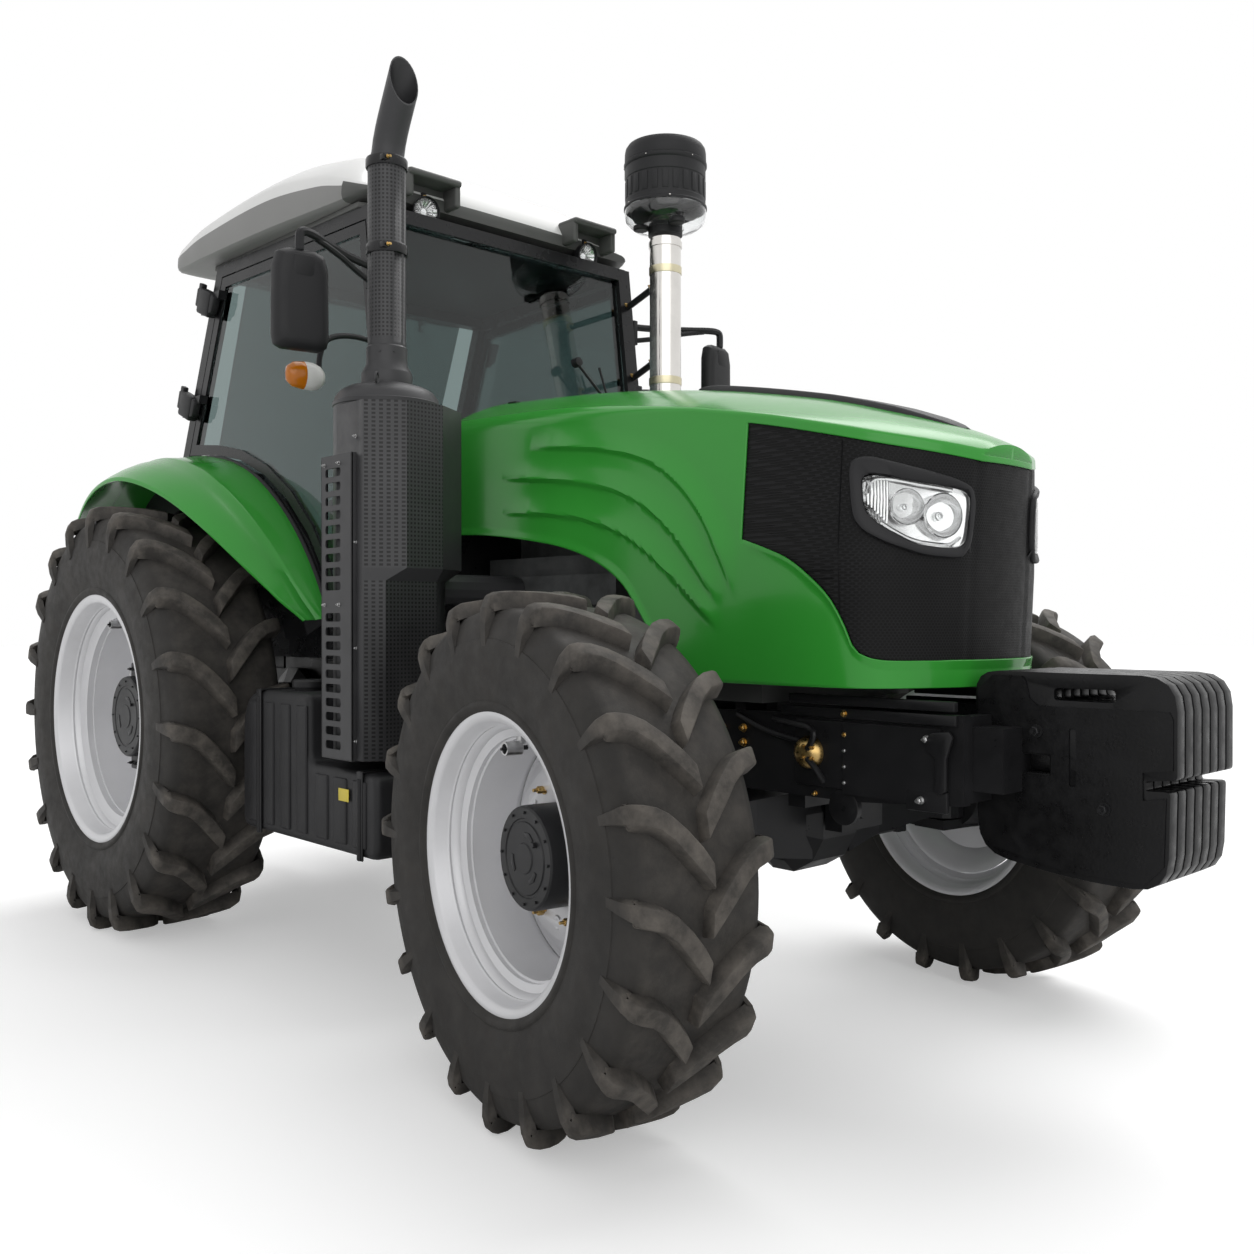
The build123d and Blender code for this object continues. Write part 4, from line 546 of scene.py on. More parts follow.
def bolt(bm, place, axis, size, high, coat=0, stud=True):
    """A six-sided head on a washer, with the end of its stud."""
    axis = Vector(axis).normalized()
    turn_profile(bm, [(0, 0), (0, size * 0.78), (high * 0.18, size * 0.78), (high * 0.18, 0)], place, axis, 12, coat)
    turn_profile(bm, [(high * 0.15, 0), (high * 0.15, size * 0.58), (high * 0.9, size * 0.58), (high, size * 0.48),
        (high, 0)], place, axis, 6, coat)
    if stud:
        turn_profile(bm, [(high, 0), (high, size * 0.28), (high * 1.5, size * 0.26), (high * 1.5, 0)], place, axis, 8,
            coat)


def mirror_across(bm, faces):
    """A mirror image of these faces on the machine's other side."""
    made = bmesh.ops.duplicate(bm, geom=verts_of(faces) + edges_of(faces) + list(faces))["geom"]
    copies = faces_in(made)
    for v in verts_of(copies):
        v.co.y = -v.co.y
    bmesh.ops.reverse_faces(bm, faces=copies)
    return copies


def between(table, x, column):
    """A smooth value from rows of numbers, the first being where; column names the value."""
    if x <= table[0][0]:
        return table[0][column]
    if x >= table[-1][0]:
        return table[-1][column]
    i = next(k for k in range(len(table) - 1) if table[k][0] <= x <= table[k + 1][0])
    p1, p2 = table[i], table[i + 1]
    p0 = table[i - 1] if i else p1
    p3 = table[i + 2] if i + 2 < len(table) else p2
    h = p2[0] - p1[0]
    t = (x - p1[0]) / h
    m1 = (p2[column] - p0[column]) / (p2[0] - p0[0]) * h
    m2 = (p3[column] - p1[column]) / (p3[0] - p1[0]) * h
    return ((2 * t ** 3 - 3 * t ** 2 + 1) * p1[column] + (t ** 3 - 2 * t ** 2 + t) * m1
            + (3 * t ** 2 - 2 * t ** 3) * p2[column] + (t ** 3 - t ** 2) * m2)


def steps_between(a, b, count):
    return [a + (b - a) * i / count for i in range(count + 1)]


# ---------------------------------------------------------------- wheels, built about their centre with outboard at -Y
TYRES = {
    "front": dict(section=0.189, tread=0.176, bar=0.038, bead=0.356, flange=0.381, edge=0.168, wall=0.022, wide=1.0),
    "rear": dict(section=0.233, tread=0.222, bar=0.046, bead=0.483, flange=0.511, edge=0.214, wall=0.026, wide=1.25),
}
# a tread bar from its foot on the sidewall to its middle end: distance out in tread halves, drop below the tips,
# turn in half sweeps, half width, how far its root lies below
BAR = (
    (1.060, 0.140, -1.16, 0.010, 0.006),
    (1.085, 0.085, -1.10, 0.014, 0.014),
    (1.070, 0.040, -1.05, 0.018, 0.026),
    (1.010, 0.012, -1.00, 0.021, 0.040),
    (0.900, 0.003, -0.93, 0.022, 0.044),
    (0.720, 0.000, -0.80, 0.023, 0.044),
    (0.540, 0.000, -0.52, 0.026, 0.044),
    (0.320, 0.000, 0.02, 0.030, 0.044),
    (0.120, 0.000, 0.56, 0.030, 0.044),
    (-0.020, 0.000, 1.00, 0.027, 0.044),
)


def set_wheel(bm, name):
    """Move a wheel piece from its own centre to its place on the machine."""
    spin = joint["spin_" + name]
    axis, centre = Vector(spin["axis"]), Vector(spin["pos_m"])
    if name.endswith("left"):
        for v in bm.verts:
            v.co.y = -v.co.y
        bmesh.ops.reverse_faces(bm, faces=bm.faces)
    angle = math.atan2(-axis.x, axis.y) if axis.y > 0 else math.atan2(axis.x, -axis.y)
    bmesh.ops.rotate(bm, verts=bm.verts, cent=(0, 0, 0), matrix=Matrix.Rotation(angle, 3, "Z"))
    bmesh.ops.translate(bm, verts=bm.verts, vec=centre)


def wheel_spot(radius, a, y):
    """A place on a wheel at a turn from straight up."""
    return Vector((radius * math.sin(a), y, radius * math.cos(a)))


def each_wheel():
    sizes = bpy.context.scene.tractor_wheels
    for end in ("front", "rear"):
        for side in ("right", "left"):
            radius = sizes.front_radius if end == "front" else sizes.rear_radius
            yield f"{end}_{side}", end, TYRES[end], radius, sizes


def tyre_walls(t, radius):
    """The carcass outline from the outboard bead over the tread to the inboard bead and back inside."""
    base = radius - t["bar"]
    high = base - t["bead"]
    half = ((0.150 / 0.189, 0.01), (0.175 / 0.189, 0.085), (0.181 / 0.189, 0.125), (0.180 / 0.189, 0.150),
        (0.176 / 0.189, 0.165), (0.184 / 0.189, 0.30), (0.995, 0.40), (1.0, 0.50), (0.995, 0.60), (0.980, 0.70),
        (0.978, 0.712), (0.966, 0.716), (0.945, 0.80), (0.905, 0.90), (0.85, 0.955), (0.74, 0.985), (0.45, 0.997),
        (0.0, 1.0))
    outer = [(-y * t["section"], t["bead"] + r * high) for y, r in half]
    outer += [(-y, r) for y, r in reversed(outer[:-1])]
    inner = [(0.120, 0.01), (0.150, 0.30), (0.155, 0.55), (0.130, 0.82), (0.0, 0.90)]
    back = [(y / 0.189 * t["section"], t["bead"] + r * high) for y, r in inner]
    return outer + back + [(-y, r) for y, r in reversed(back[:-1])]


def make_tyres():
    for name, end, t, radius, sizes in each_wheel():
        bm = bmesh.new()
        turn_profile(bm, tyre_walls(t, radius), (0, 0, 0), (0, 1, 0), 120, closed=True)
        dust = bm.verts.layers.float.new("dust")
        for v in bm.verts:
            reach = math.hypot(v.co.x, v.co.z)
            v[dust] = 0.35 if reach > radius - t["bar"] - 0.006 else 0.12
        half = sizes.bar_sweep / 2
        first = None
        for side in (-1, 1):
            rows = []
            for y, drop, turn, wide, root in BAR:
                wide, drop, root = wide * t["wide"], drop * t["bar"] / 0.038, root * t["bar"] / 0.038
                r, mid, out = radius - drop, turn * half, side * y * t["tread"]
                low = r - root
                low_y = out if drop < 0.02 else out - side * 0.020
                low_r = low if drop < 0.02 else r - 0.004
                row = []
                for yy, rr, w in ((low_y, low_r, -1.4), (out, r, -1.0), (out, r, 1.0), (low_y, low_r, 1.4)):
                    a = mid + w * wide / r
                    row.append((rr * math.sin(a), yy, rr * math.cos(a)))
                rows.append(row)
            bar = shell(bm, rows)
            for v in verts_of(bar):
                v[dust] = 0.30
            tops = [e for e in crisp(bar, 30.0) if max(math.hypot(v.co.x, v.co.z) for v in e.verts) > radius
                - t["bar"] * 0.9]
            for e in tops:
                for v in e.verts:
                    v[dust] = 1.0
            before = set(bm.faces)
            soften(bm, tops, 0.0045 * t["wide"], 2)
            bar = [f for f in bar if f.is_valid] + added(bm, before)
            whole = verts_of(bar) + edges_of(bar) + bar
            pitch = 2 * math.pi / sizes.bars
            shift = 0.0 if side < 0 else pitch / 2
            for i in range(sizes.bars):
                if i:
                    geom = bmesh.ops.duplicate(bm, geom=whole)["geom"]
                    spot = verts_in(geom)
                    bmesh.ops.rotate(bm, verts=spot, cent=(0, 0, 0), matrix=Matrix.Rotation(i * pitch + shift + half, 3,
                        "Y"))
            bmesh.ops.rotate(bm, verts=verts_of(bar), cent=(0, 0, 0), matrix=Matrix.Rotation(shift + half, 3, "Y"))
        set_wheel(bm, name)
        piece(f"tyre_{name}_tread", bm, "wheel_" + name, ["tyre_rubber"], sharp=38.0, replaces=("tyre_" + name,),
            normals=False)


def make_rims():
    for name, end, t, radius, sizes in each_wheel():
        bm = bmesh.new()
        big = t["bead"] / 0.356
        e, b, f = t["edge"], t["bead"], t["flange"]
        drop = b - 0.048 * big
        half = [(e - 0.010, f - 0.001), (e - 0.003, f), (e, f - 0.004), (e + 0.001, f - 0.012), (e - 0.004, b - 0.001),
            (e - 0.012, b - 0.008), (e - 0.045 * big, b - 0.012), (e - 0.050 * big, b - 0.017), (e - 0.056 * big,
            b - 0.016), (e - 0.062 * big, b - 0.024), (e - 0.086 * big, b - 0.030), (e - 0.094 * big, b - 0.028),
            (e - 0.102 * big, drop - 0.006), (0.0, drop - 0.007)]
        outside = [(e - 0.012, f - 0.004), (e - 0.015, b + 0.002), (0.60 * e, b - 0.001), (0.48 * e, drop),
            (0.0, drop + 0.001)]
        ring = [(-y, r) for y, r in half] + [(y, r) for y, r in reversed(half[:-1])]
        ring += [(y, r) for y, r in outside] + [(-y, r) for y, r in reversed(outside[:-1])]
        turn_profile(bm, ring, (0, 0, 0), (0, 1, 0), 128, closed=True)
        d = 0.030 if end == "front" else 0.020
        hole = 0.091 if end == "front" else 0.131
        root = drop - 0.004
        flat = root - 0.082 * big
        disc = [(d - 0.006, hole), (d - 0.006, flat - 0.060 * big), (d - 0.012, flat - 0.052 * big), (d - 0.012, flat
            - 0.036 * big), (d - 0.006, flat - 0.028 * big), (d - 0.002, flat - 0.004), (d + 0.016, flat + 0.014),
            (d + 0.048, root - 0.022), (d + 0.052, root - 0.008), (d + 0.050, root), (d + 0.064, root), (d + 0.062, root
            - 0.022), (d + 0.028, flat + 0.014), (d + 0.008, flat), (d + 0.006, hole)]
        turn_profile(bm, disc, (0, 0, 0), (0, 1, 0), 128, closed=True)
        ring_r = 0.172 if end == "front" else 0.225
        for nut, between_nuts in zip(turns(8, 0.5), turns(8)):
            bolt(bm, wheel_spot(ring_r, nut, d - 0.006), (0, -1, 0), sizes.nut_size / 2, 0.024, coat=1)
            spot = wheel_spot(ring_r * 1.02, between_nuts, d - 0.006)
            turn_profile(bm, [(0, 0.019), (0.005, 0.017), (0.006, 0.010), (0.002, 0.0)], spot, (0, -1, 0), 20)
        spot = wheel_spot(drop - 0.03, math.radians(-6), -0.42 * e)
        turn_profile(bm, [(0, 0.018), (0.046, 0.018), (0.046, 0.013), (0.008, 0.013)], spot, (0, -1, 0), 20, coat=2)
        turn_profile(bm, [(-0.02, 0.0), (-0.02, 0.006), (0.05, 0.006), (0.05, 0.004), (0.056, 0.004), (0.056, 0.0)],
            spot, (0, -1, 0), 12, coat=3)
        slab(bm, spot + Vector((-0.012, -0.006, 0.010)), spot + Vector((0.012, 0.010, 0.034)), 0.002, coat=2)
        set_wheel(bm, name)
        piece(f"rim_{name}_barrel", bm, "wheel_" + name, ["rim_silver", "brass", "zinc", "soft_black"], sharp=40.0,
              replaces=("rim_" + name,))


def make_hubs():
    for name, end, t, radius, sizes in each_wheel():
        bm = bmesh.new()
        cap, out, d = (0.133, 0.075, 0.030) if end == "front" else (0.169, 0.085, 0.020)
        back = 0.15
        rows = [(back, 0), (back, cap * 1.02), (d + 0.030, cap * 1.06), (d + 0.007, cap * 1.10), (d + 0.0065,
            cap * 0.66), (d - 0.0065, cap * 0.66), (d - 0.0065, cap), (0.012 - out, cap), (0.004 - out, cap * 0.985),
            (-out, cap * 0.95), (-out, cap * 0.76), (0.003 - out, cap * 0.745), (0.003 - out, cap * 0.70),
            (-out, cap * 0.685), (-out, cap * 0.30), (-out - 0.003, cap * 0.28), (-out - 0.003, 0)]
        if end == "rear":
            rows[0:1] = [(0.40, 0), (0.40, 0.0495), (back, 0.0495)]
        turn_profile(bm, rows, (0, 0, 0), (0, 1, 0), 64)
        for a in turns(12):
            bolt(bm, wheel_spot(cap * 0.87, a, 0.001 - out), (0, -1, 0), 0.0065, 0.006, stud=False)
        bolt(bm, wheel_spot(cap * 0.5, 0.9, 0.001 - out), (0, -1, 0), 0.012, 0.010, stud=False)
        for turn in (0.35, 2.4, 4.4):
            pad = [wheel_spot(cap * r, turn + w, 0.0008 - out)
                   for r, w in ((0.42, -0.34), (0.42, 0.0), (0.42, 0.34), (0.50, 0.36), (0.53, 0.0), (0.50, -0.36))]
            plate(bm, pad, Vector((0, -0.003, 0)), 0.001)
        if end == "rear":
            face = 0.014
            for s in (-1, 1):
                slab(bm, (-0.046, face - 0.062, s * 0.060), (0.046, face, s * 0.224), 0.006)
                for x in (-0.026, 0.026):
                    bolt(bm, Vector((x, face - 0.062, s * 0.198)), (0, -1, 0), 0.011, 0.014)
        set_wheel(bm, name)
        piece(f"hub_{name}_cap", bm, "wheel_" + name, ["hub_black"], sharp=30.0, replaces=("hub_" + name,))


# ---------------------------------------------------------------- hood, grille and lamps
NOSE, HOOD_REAR, HOOD_LOW = 3452.0, 1462.0, 1102.0
# x, crest height, shoulder height, half width at the shoulder, half width of the side
HOOD = ((1462, 2122, 2020, 418, 436), (2000, 2082, 1990, 420, 442), (2480, 2020, 1930, 420, 446), (2920, 1932, 1852,
    416, 446), (3160, 1864, 1797, 400, 438), (3300, 1813, 1762, 345, 395), (3400, 1770, 1738, 235, 265), (3452, 1742,
    1722, 120, 130))
ARCH = ((1462, 1587), (1700, 1575), (1960, 1544), (2150, 1510), (2300, 1462), (2430, 1385), (2530, 1265), (2600, 1165),
    (2668, 1102), (2669, 1102))
GRILLE_LOW = ((2905, 1499), (2990, 1470), (3067, 1438), (3130, 1394), (3199, 1329), (3240, 1260), (3262, 1208),
    (3290, 1186), (3330, 1174), (3400, 1172), (3452, 1172))
GRILLE_REAR = 2900.0
CREASES = (
    ((1946, 1857), (2163, 1836), (2354, 1806), (2532, 1755), (2657, 1678), (2757, 1576), (2822, 1474), (2871, 1360)),
    ((1790, 1766), (2062, 1740), (2308, 1699), (2489, 1639), (2637, 1540), (2737, 1434), (2822, 1325)),
    ((1800, 1646), (2062, 1628), (2260, 1596), (2445, 1536), (2595, 1445), (2717, 1346), (2815, 1262)),
)
# the headlamp's rim and lens: distance back from the nose's corner along the skin, and height
LAMP_RIM = ((370, 1688), (322, 1700), (252, 1680), (70, 1636), (24, 1614), (26, 1476), (54, 1434), (170, 1440),
    (276, 1472), (336, 1505), (362, 1543))
LAMP_GLASS = ((337, 1639), (319, 1653), (199, 1630), (60, 1612), (35, 1592), (42, 1481), (70, 1459), (196, 1470),
    (284, 1514), (331, 1557))
LAMP_MIDDLE = (190, 1558)


def hood_row(x):
    """(crest, shoulder, half at the shoulder, half of the side) of the hood at a station."""
    return tuple(between(HOOD, x, k) for k in (1, 2, 3, 4))


def edge_round(x):
    """The shoulder is softly rounded at the rear and crisp at the nose."""
    return 75.0 if x < 1900 else max(16.0, 75.0 - (x - 1900) * 0.075)


def side_half(x, z):
    """Half width of the hood's side at a height."""
    _, shoulder, top, side = hood_row(x)
    t = min(1.0, max(0.0, (shoulder - 20 - z) / (shoulder - 20 - HOOD_LOW)))
    bulge = 5.0 * math.sin(math.pi * t)
    return top + 4 + (side - top - 4) * min(1.0, t * 2.0) + bulge * (1.0 if x < 3200 else max(0.0, (3452 - x) / 252.0))


def fine_line(rows, count=36):
    """More places along a line of (x, z) rows."""
    return tuple((x, between(rows, x, 1)) for x in steps_between(rows[0][0], rows[-1][0], count))


CREASE_LINES = tuple(fine_line(rows) for rows in CREASES)


def crease_rise(x, z, high):
    """How far the three styling creases lift the side at a place, in millimetres."""
    rise = 0.0
    for line in CREASE_LINES:
        best = None
        for (ax, az), (bx, bz) in zip(line, line[1:]):
            dx, dz = bx - ax, bz - az
            t = max(0.0, min(1.0, ((x - ax) * dx + (z - az) * dz) / (dx * dx + dz * dz)))
            px, pz = ax + dx * t, az + dz * t
            far = math.hypot(x - px, z - pz)
            if best is None or far < best[0]:
                best = (far, (z - pz) * dx - (x - px) * dz, px)
        far, above, px = best
        start, end = line[0][0], line[-1][0]
        fade = min(1.0, max(0.0, (px - start) / 160.0)) * min(1.0, max(0.0, (end + 4 - px) / 60.0))
        if above > 0:
            rise = max(rise, high * fade * max(0.0, 1 - far / 70.0) ** 1.8)
        else:
            t = max(0.0, 1 - far / 17.0)
            rise = max(rise, high * fade * t * t * (3 - 2 * t))
    return rise * max(0.0, min(1.0, (GRILLE_REAR - x) / 30.0))


def plan_columns(first, count):
    """Stations along the hood from a rear X round the nose: (x, side, share across the nose)."""
    xs = [first + (3160 - first) * i / count for i in range(count)]
    xs += [3160 + 140 * i / 7 for i in range(7)] + [3300 + 100 * i / 8 for i in range(8)] + [3400 + 52 * i / 8
        for i in range(8)]
    right = [(x, -1.0) for x in xs] + [(NOSE, -1.0)]
    front = [(NOSE, s) for s in steps_between(-1.0, 1.0, 12)[1:-1]]
    return right + front + [(x, -s) for x, s in reversed(right)]


def on_skin(x, share, z, inset=0.0):
    """A place on the hood's side or nose at a height."""
    y = (side_half(x, z) - inset) * share
    ahead = -inset if abs(share) < 1.0 or x > 3445 else 0.0
    bow = 10.0 * (1 - share * share) if x >= NOSE else 0.0
    return at(x + ahead + bow - nose_lean(x, z), y, z)


def nose_lean(x, z):
    """The front leans back towards its lower edge."""
    return 30.0 * max(0.0, min(1.0, (1690.0 - z) / 520.0)) * max(0.0, min(1.0, (x - 3160.0) / 292.0))


def hood_low(x):
    return between(ARCH, x, 1) if x < 2668 else HOOD_LOW


def side_top(x):
    """Where the hood's side ends and its rounded shoulder starts."""
    return hood_row(x)[1] - edge_round(x)


def grille_top(x):
    return side_top(x) - 17.0


def solid_sheet(made, thick):
    """Give a sheet its thickness towards the inside."""
    solid = made.modifiers.new("thickness", "SOLIDIFY")
    solid.thickness = thick
    solid.offset = -1.0
    solid.use_even_offset = True


def make_hood(sizes):
    bm = bmesh.new()
    high, rises = sizes.crease * 1000, {}
    # the side panels, with the wheel arch as their lower edge and the creases raised from them
    for s in (-1.0, 1.0):
        columns = []
        low_share, high_share = ((z - HOOD_LOW) / (side_top(GRILLE_REAR) - HOOD_LOW) for z in (GRILLE_LOW[0][1],
            grille_top(GRILLE_REAR)))
        shares = [low_share * i / 30 for i in range(30)] + [low_share + (high_share - low_share) * i / 40
            for i in range(40)]
        shares += [high_share + (1 - high_share) * i / 4 for i in range(5)]
        for x in steps_between(HOOD_REAR, GRILLE_REAR, 190):
            low, top = hood_low(x), side_top(x)
            column = []
            for share in shares:
                z = low + (top - low) * share
                flare = 9.0 * max(0.0, 1 - (z - low) / 26.0) if x < 2668 else 0.0
                if (x, z) not in rises:
                    rises[x, z] = side_half(x, z) + crease_rise(x, z, high) + flare
                column.append(at(x, s * rises[x, z], z))
            columns.append(column)
        loft(bm, columns, closed=False)
    # below the grille, round the nose
    columns = []
    for x, s in plan_columns(GRILLE_REAR, 24):
        low, top = HOOD_LOW, between(GRILLE_LOW, max(2905.0, x), 1)
        column = []
        for i in range(31):
            z = low + (top - low) * i / 30
            lip = 7.0 * max(0.0, 1 - (top - z) / 24.0) * max(0.0, min(1.0, (x - GRILLE_REAR) / 60.0))
            p = on_skin(x, s, z)
            p.y += math.copysign(lip / 1000, s) if abs(s) == 1.0 else 0.0
            p.x += lip / 1000 * (1.0 if x > 3420 else 0.0)
            column.append(p)
        columns.append(column)
    loft(bm, columns, closed=False)
    # the strip above the grille
    columns = []
    for x, s in plan_columns(GRILLE_REAR, 24):
        low, top = grille_top(x), side_top(x)
        columns.append([on_skin(x, s, low + (top - low) * i / 4) for i in range(5)])
    loft(bm, columns, closed=False)
    # the rounded shoulder and the crowned top
    xs = steps_between(HOOD_REAR, GRILLE_REAR, 190)[:-1] + [x for x, s in plan_columns(GRILLE_REAR, 24)][:48]
    rows = []
    for x in xs:
        crest, shoulder, _, _ = hood_row(x)
        r = edge_round(x)
        line = []
        for k in range(7):
            a = math.radians(72 * k / 6)
            line.append((side_half(x, shoulder - r) - r * (1 - math.cos(a)), shoulder - r + r * math.sin(a)))
        start_y, start_z = line[-1]
        for k in range(1, 13):
            t = k / 12
            line.append((start_y * (1 - t), start_z + (crest - start_z) * (1 - (1 - t) ** 2.0)))
        full = [(-y, z) for y, z in line] + [(y, z) for y, z in reversed(line[:-1])]
        bow = [10.0 * (1 - (y / line[0][0]) ** 2) if x >= NOSE - 0.01 else 0.0 for y, z in full]
        rows.append([at(x + b, y, z) for (y, z), b in zip(full, bow)])
    loft(bm, rows, closed=False)
    # the front edge comes down to the strip above the grille
    lip = [Vector(p) for p in rows[-1]]
    low_z = side_top(NOSE)
    half = side_half(NOSE, low_z)
    low = [at(NOSE + 10.0 * (1 - (p.y * 1000 / half) ** 2), p.y * 1000, low_z) for p in lip]
    loft(bm, [lip, low], closed=False)
    made = piece("hood_panels", bm, "hood_body", ["body_paint"], sharp=42.0, replaces=("hood",))
    solid_sheet(made, sizes.sheet)
    # a low dark centre panel along the crest
    bm = bmesh.new()
    rows = []
    for x in steps_between(2330.0, 3330.0, 24):
        crest = hood_row(x)[0]
        end = min(1.0, (x - 2330.0) / 160.0, (3330.0 - x) / 160.0)
        wide = 120.0 * math.sqrt(max(0.02, end)) + 8
        high_mid = crest + 3.0 + 12.0 * math.sqrt(max(0.0, end))
        rows.append([at(x, -wide, crest - 16), at(x, -wide * 0.86, high_mid - 4), at(x, 0, high_mid), at(x, wide * 0.86,
            high_mid - 4), at(x, wide, crest - 16), at(x, 0, crest - 18)])
    shell(bm, rows, 24.0, 0.003)
    piece("hood_centre_panel", bm, "hood_body", ["soft_black"], sharp=30.0)
    # inside ears and hinge eyes under the rear edge
    bm = bmesh.new()
    for s in (-1, 1):
        outline = [at(x, s * 175 - 15, z) for x, z in ((1504, 2098), (1504, 2054), (1520, 2038), (1540, 2038),
            (1556, 2054), (1556, 2096))]
        plate(bm, outline, Vector((0, 0.030, 0)), 0.003)
    piece("hood_ears", bm, "hood_body", ["soft_black"])


def make_grille(sizes):
    bm = bmesh.new()
    inset = sizes.inset * 1000
    columns = []
    for x, s in plan_columns(GRILLE_REAR - 6, 40):
        low, top = between(GRILLE_LOW, max(2905.0, x), 1) - 8, grille_top(x) + 8
        columns.append([on_skin(x, s, low + (top - low) * i / 44, inset) for i in range(45)])
    faces = loft(bm, columns, closed=False)
    behind = [f for f in faces if in_lens(f.calc_center_median())]
    bmesh.ops.delete(bm, geom=behind, context="FACES")
    made = piece("grille_screen", bm, "hood_body", ["grille_mesh"], sharp=40.0, replaces=("grille",))
    solid_sheet(made, 0.003)
    # the seams of the screen, and the pressed ribs behind its rear part
    bm = bmesh.new()
    for s in (-1, 1):
        seam = [on_skin(x, s, z, inset - 1.0) for x, z in ((3200, 1745), (3206, 1600), (3214, 1450), (3222, 1300),
            (3228, 1215))]
        run(bm, seam, 0.0016, sides=8)
        for z0 in (1405, 1385):
            run(bm, [on_skin(x, s, z0, inset - 0.6) for x in (3080, 3120, 3160, 3200)], 0.0016, sides=8)
    # the seams and ribs take the darker black, a painted shade for their place inside the grille
    piece("grille_seams", bm, "hood_body", ["recess_shade_black"])


def lamp_place(back, z, out):
    """A place on the hood's front corner: distance back from the nose, height, and distance out of the skin."""
    if back < 0:
        return at(NOSE + out - nose_lean(NOSE, z), side_half(NOSE, z) + back, z)
    x, gone, step = NOSE, 0.0, 4.0
    while True:
        a, b = (x, side_half(x, z)), (x - step, side_half(x - step, z))
        part = math.dist(a, b)
        if gone + part >= back or x < 2900:
            break
        gone, x = gone + part, x - step
    t = (back - gone) / part
    px, py = a[0] + (b[0] - a[0]) * t, a[1] + (b[1] - a[1]) * t
    nx, ny = (b[1] - a[1]) / part, (a[0] - b[0]) / part
    return at(px + nx * out - nose_lean(px, z), py + ny * out, z)


def lamp_reach():
    """(x, distance back) pairs along the skin at the lamp's height."""
    rows, x, gone = [], NOSE, 0.0
    while x > 3000:
        rows.append((x, gone))
        gone += math.dist((x, side_half(x, 1590.0)), (x - 4, side_half(x - 4, 1590.0)))
        x -= 4
    return rows


def within(outline, p):
    """Whether a point lies inside a closed outline."""
    hit = False
    for a, b in zip(outline, outline[1:] + outline[:1]):
        if (a[1] > p[1]) != (b[1] > p[1]) and p[0] < (b[0] - a[0]) * (p[1] - a[1]) / (b[1] - a[1]) + a[0]:
            hit = not hit
    return hit


def in_lens(place):
    """Whether a place on the grille lies behind a headlamp's lens."""
    x = (place.x - axle_line) * 1000 + nose_lean((place.x - axle_line) * 1000, place.z * 1000)
    if x < 3000 or x > NOSE - 2:
        return False
    back = next(gone for row_x, gone in lamp_reach() if row_x <= x + 2)
    return within(LAMP_GLASS, (back, place.z * 1000))


def rounded_ring(corners, count):
    """Places at even turns round a closed outline with softened corners, about the lamp's middle."""
    line, n = [], len(corners)
    for i in range(n):
        a, b, c = (Vector(corners[(i + k) % n]) for k in (0, 1, 2))
        start, end = b.lerp(a, 0.35), b.lerp(c, 0.35)
        line += [start * (1 - t) ** 2 + b * (2 * t * (1 - t)) + end * t ** 2 for t in (k / 6 for k in range(7))]
    middle = Vector(LAMP_MIDDLE)
    ring = []
    for k in range(count):
        a = 2 * math.pi * k / count
        d = Vector((math.cos(a), math.sin(a)))
        for p, q in zip(line, line[1:] + line[:1]):
            e = q - p
            cross = d.x * e.y - d.y * e.x
            if abs(cross) < 1e-9:
                continue
            w = p - middle
            far, along = (w.x * e.y - w.y * e.x) / cross, (w.x * d.y - w.y * d.x) / cross
            if far > 0 and -1e-6 <= along <= 1 + 1e-6:
                ring.append(middle + d * far)
                break
    return ring


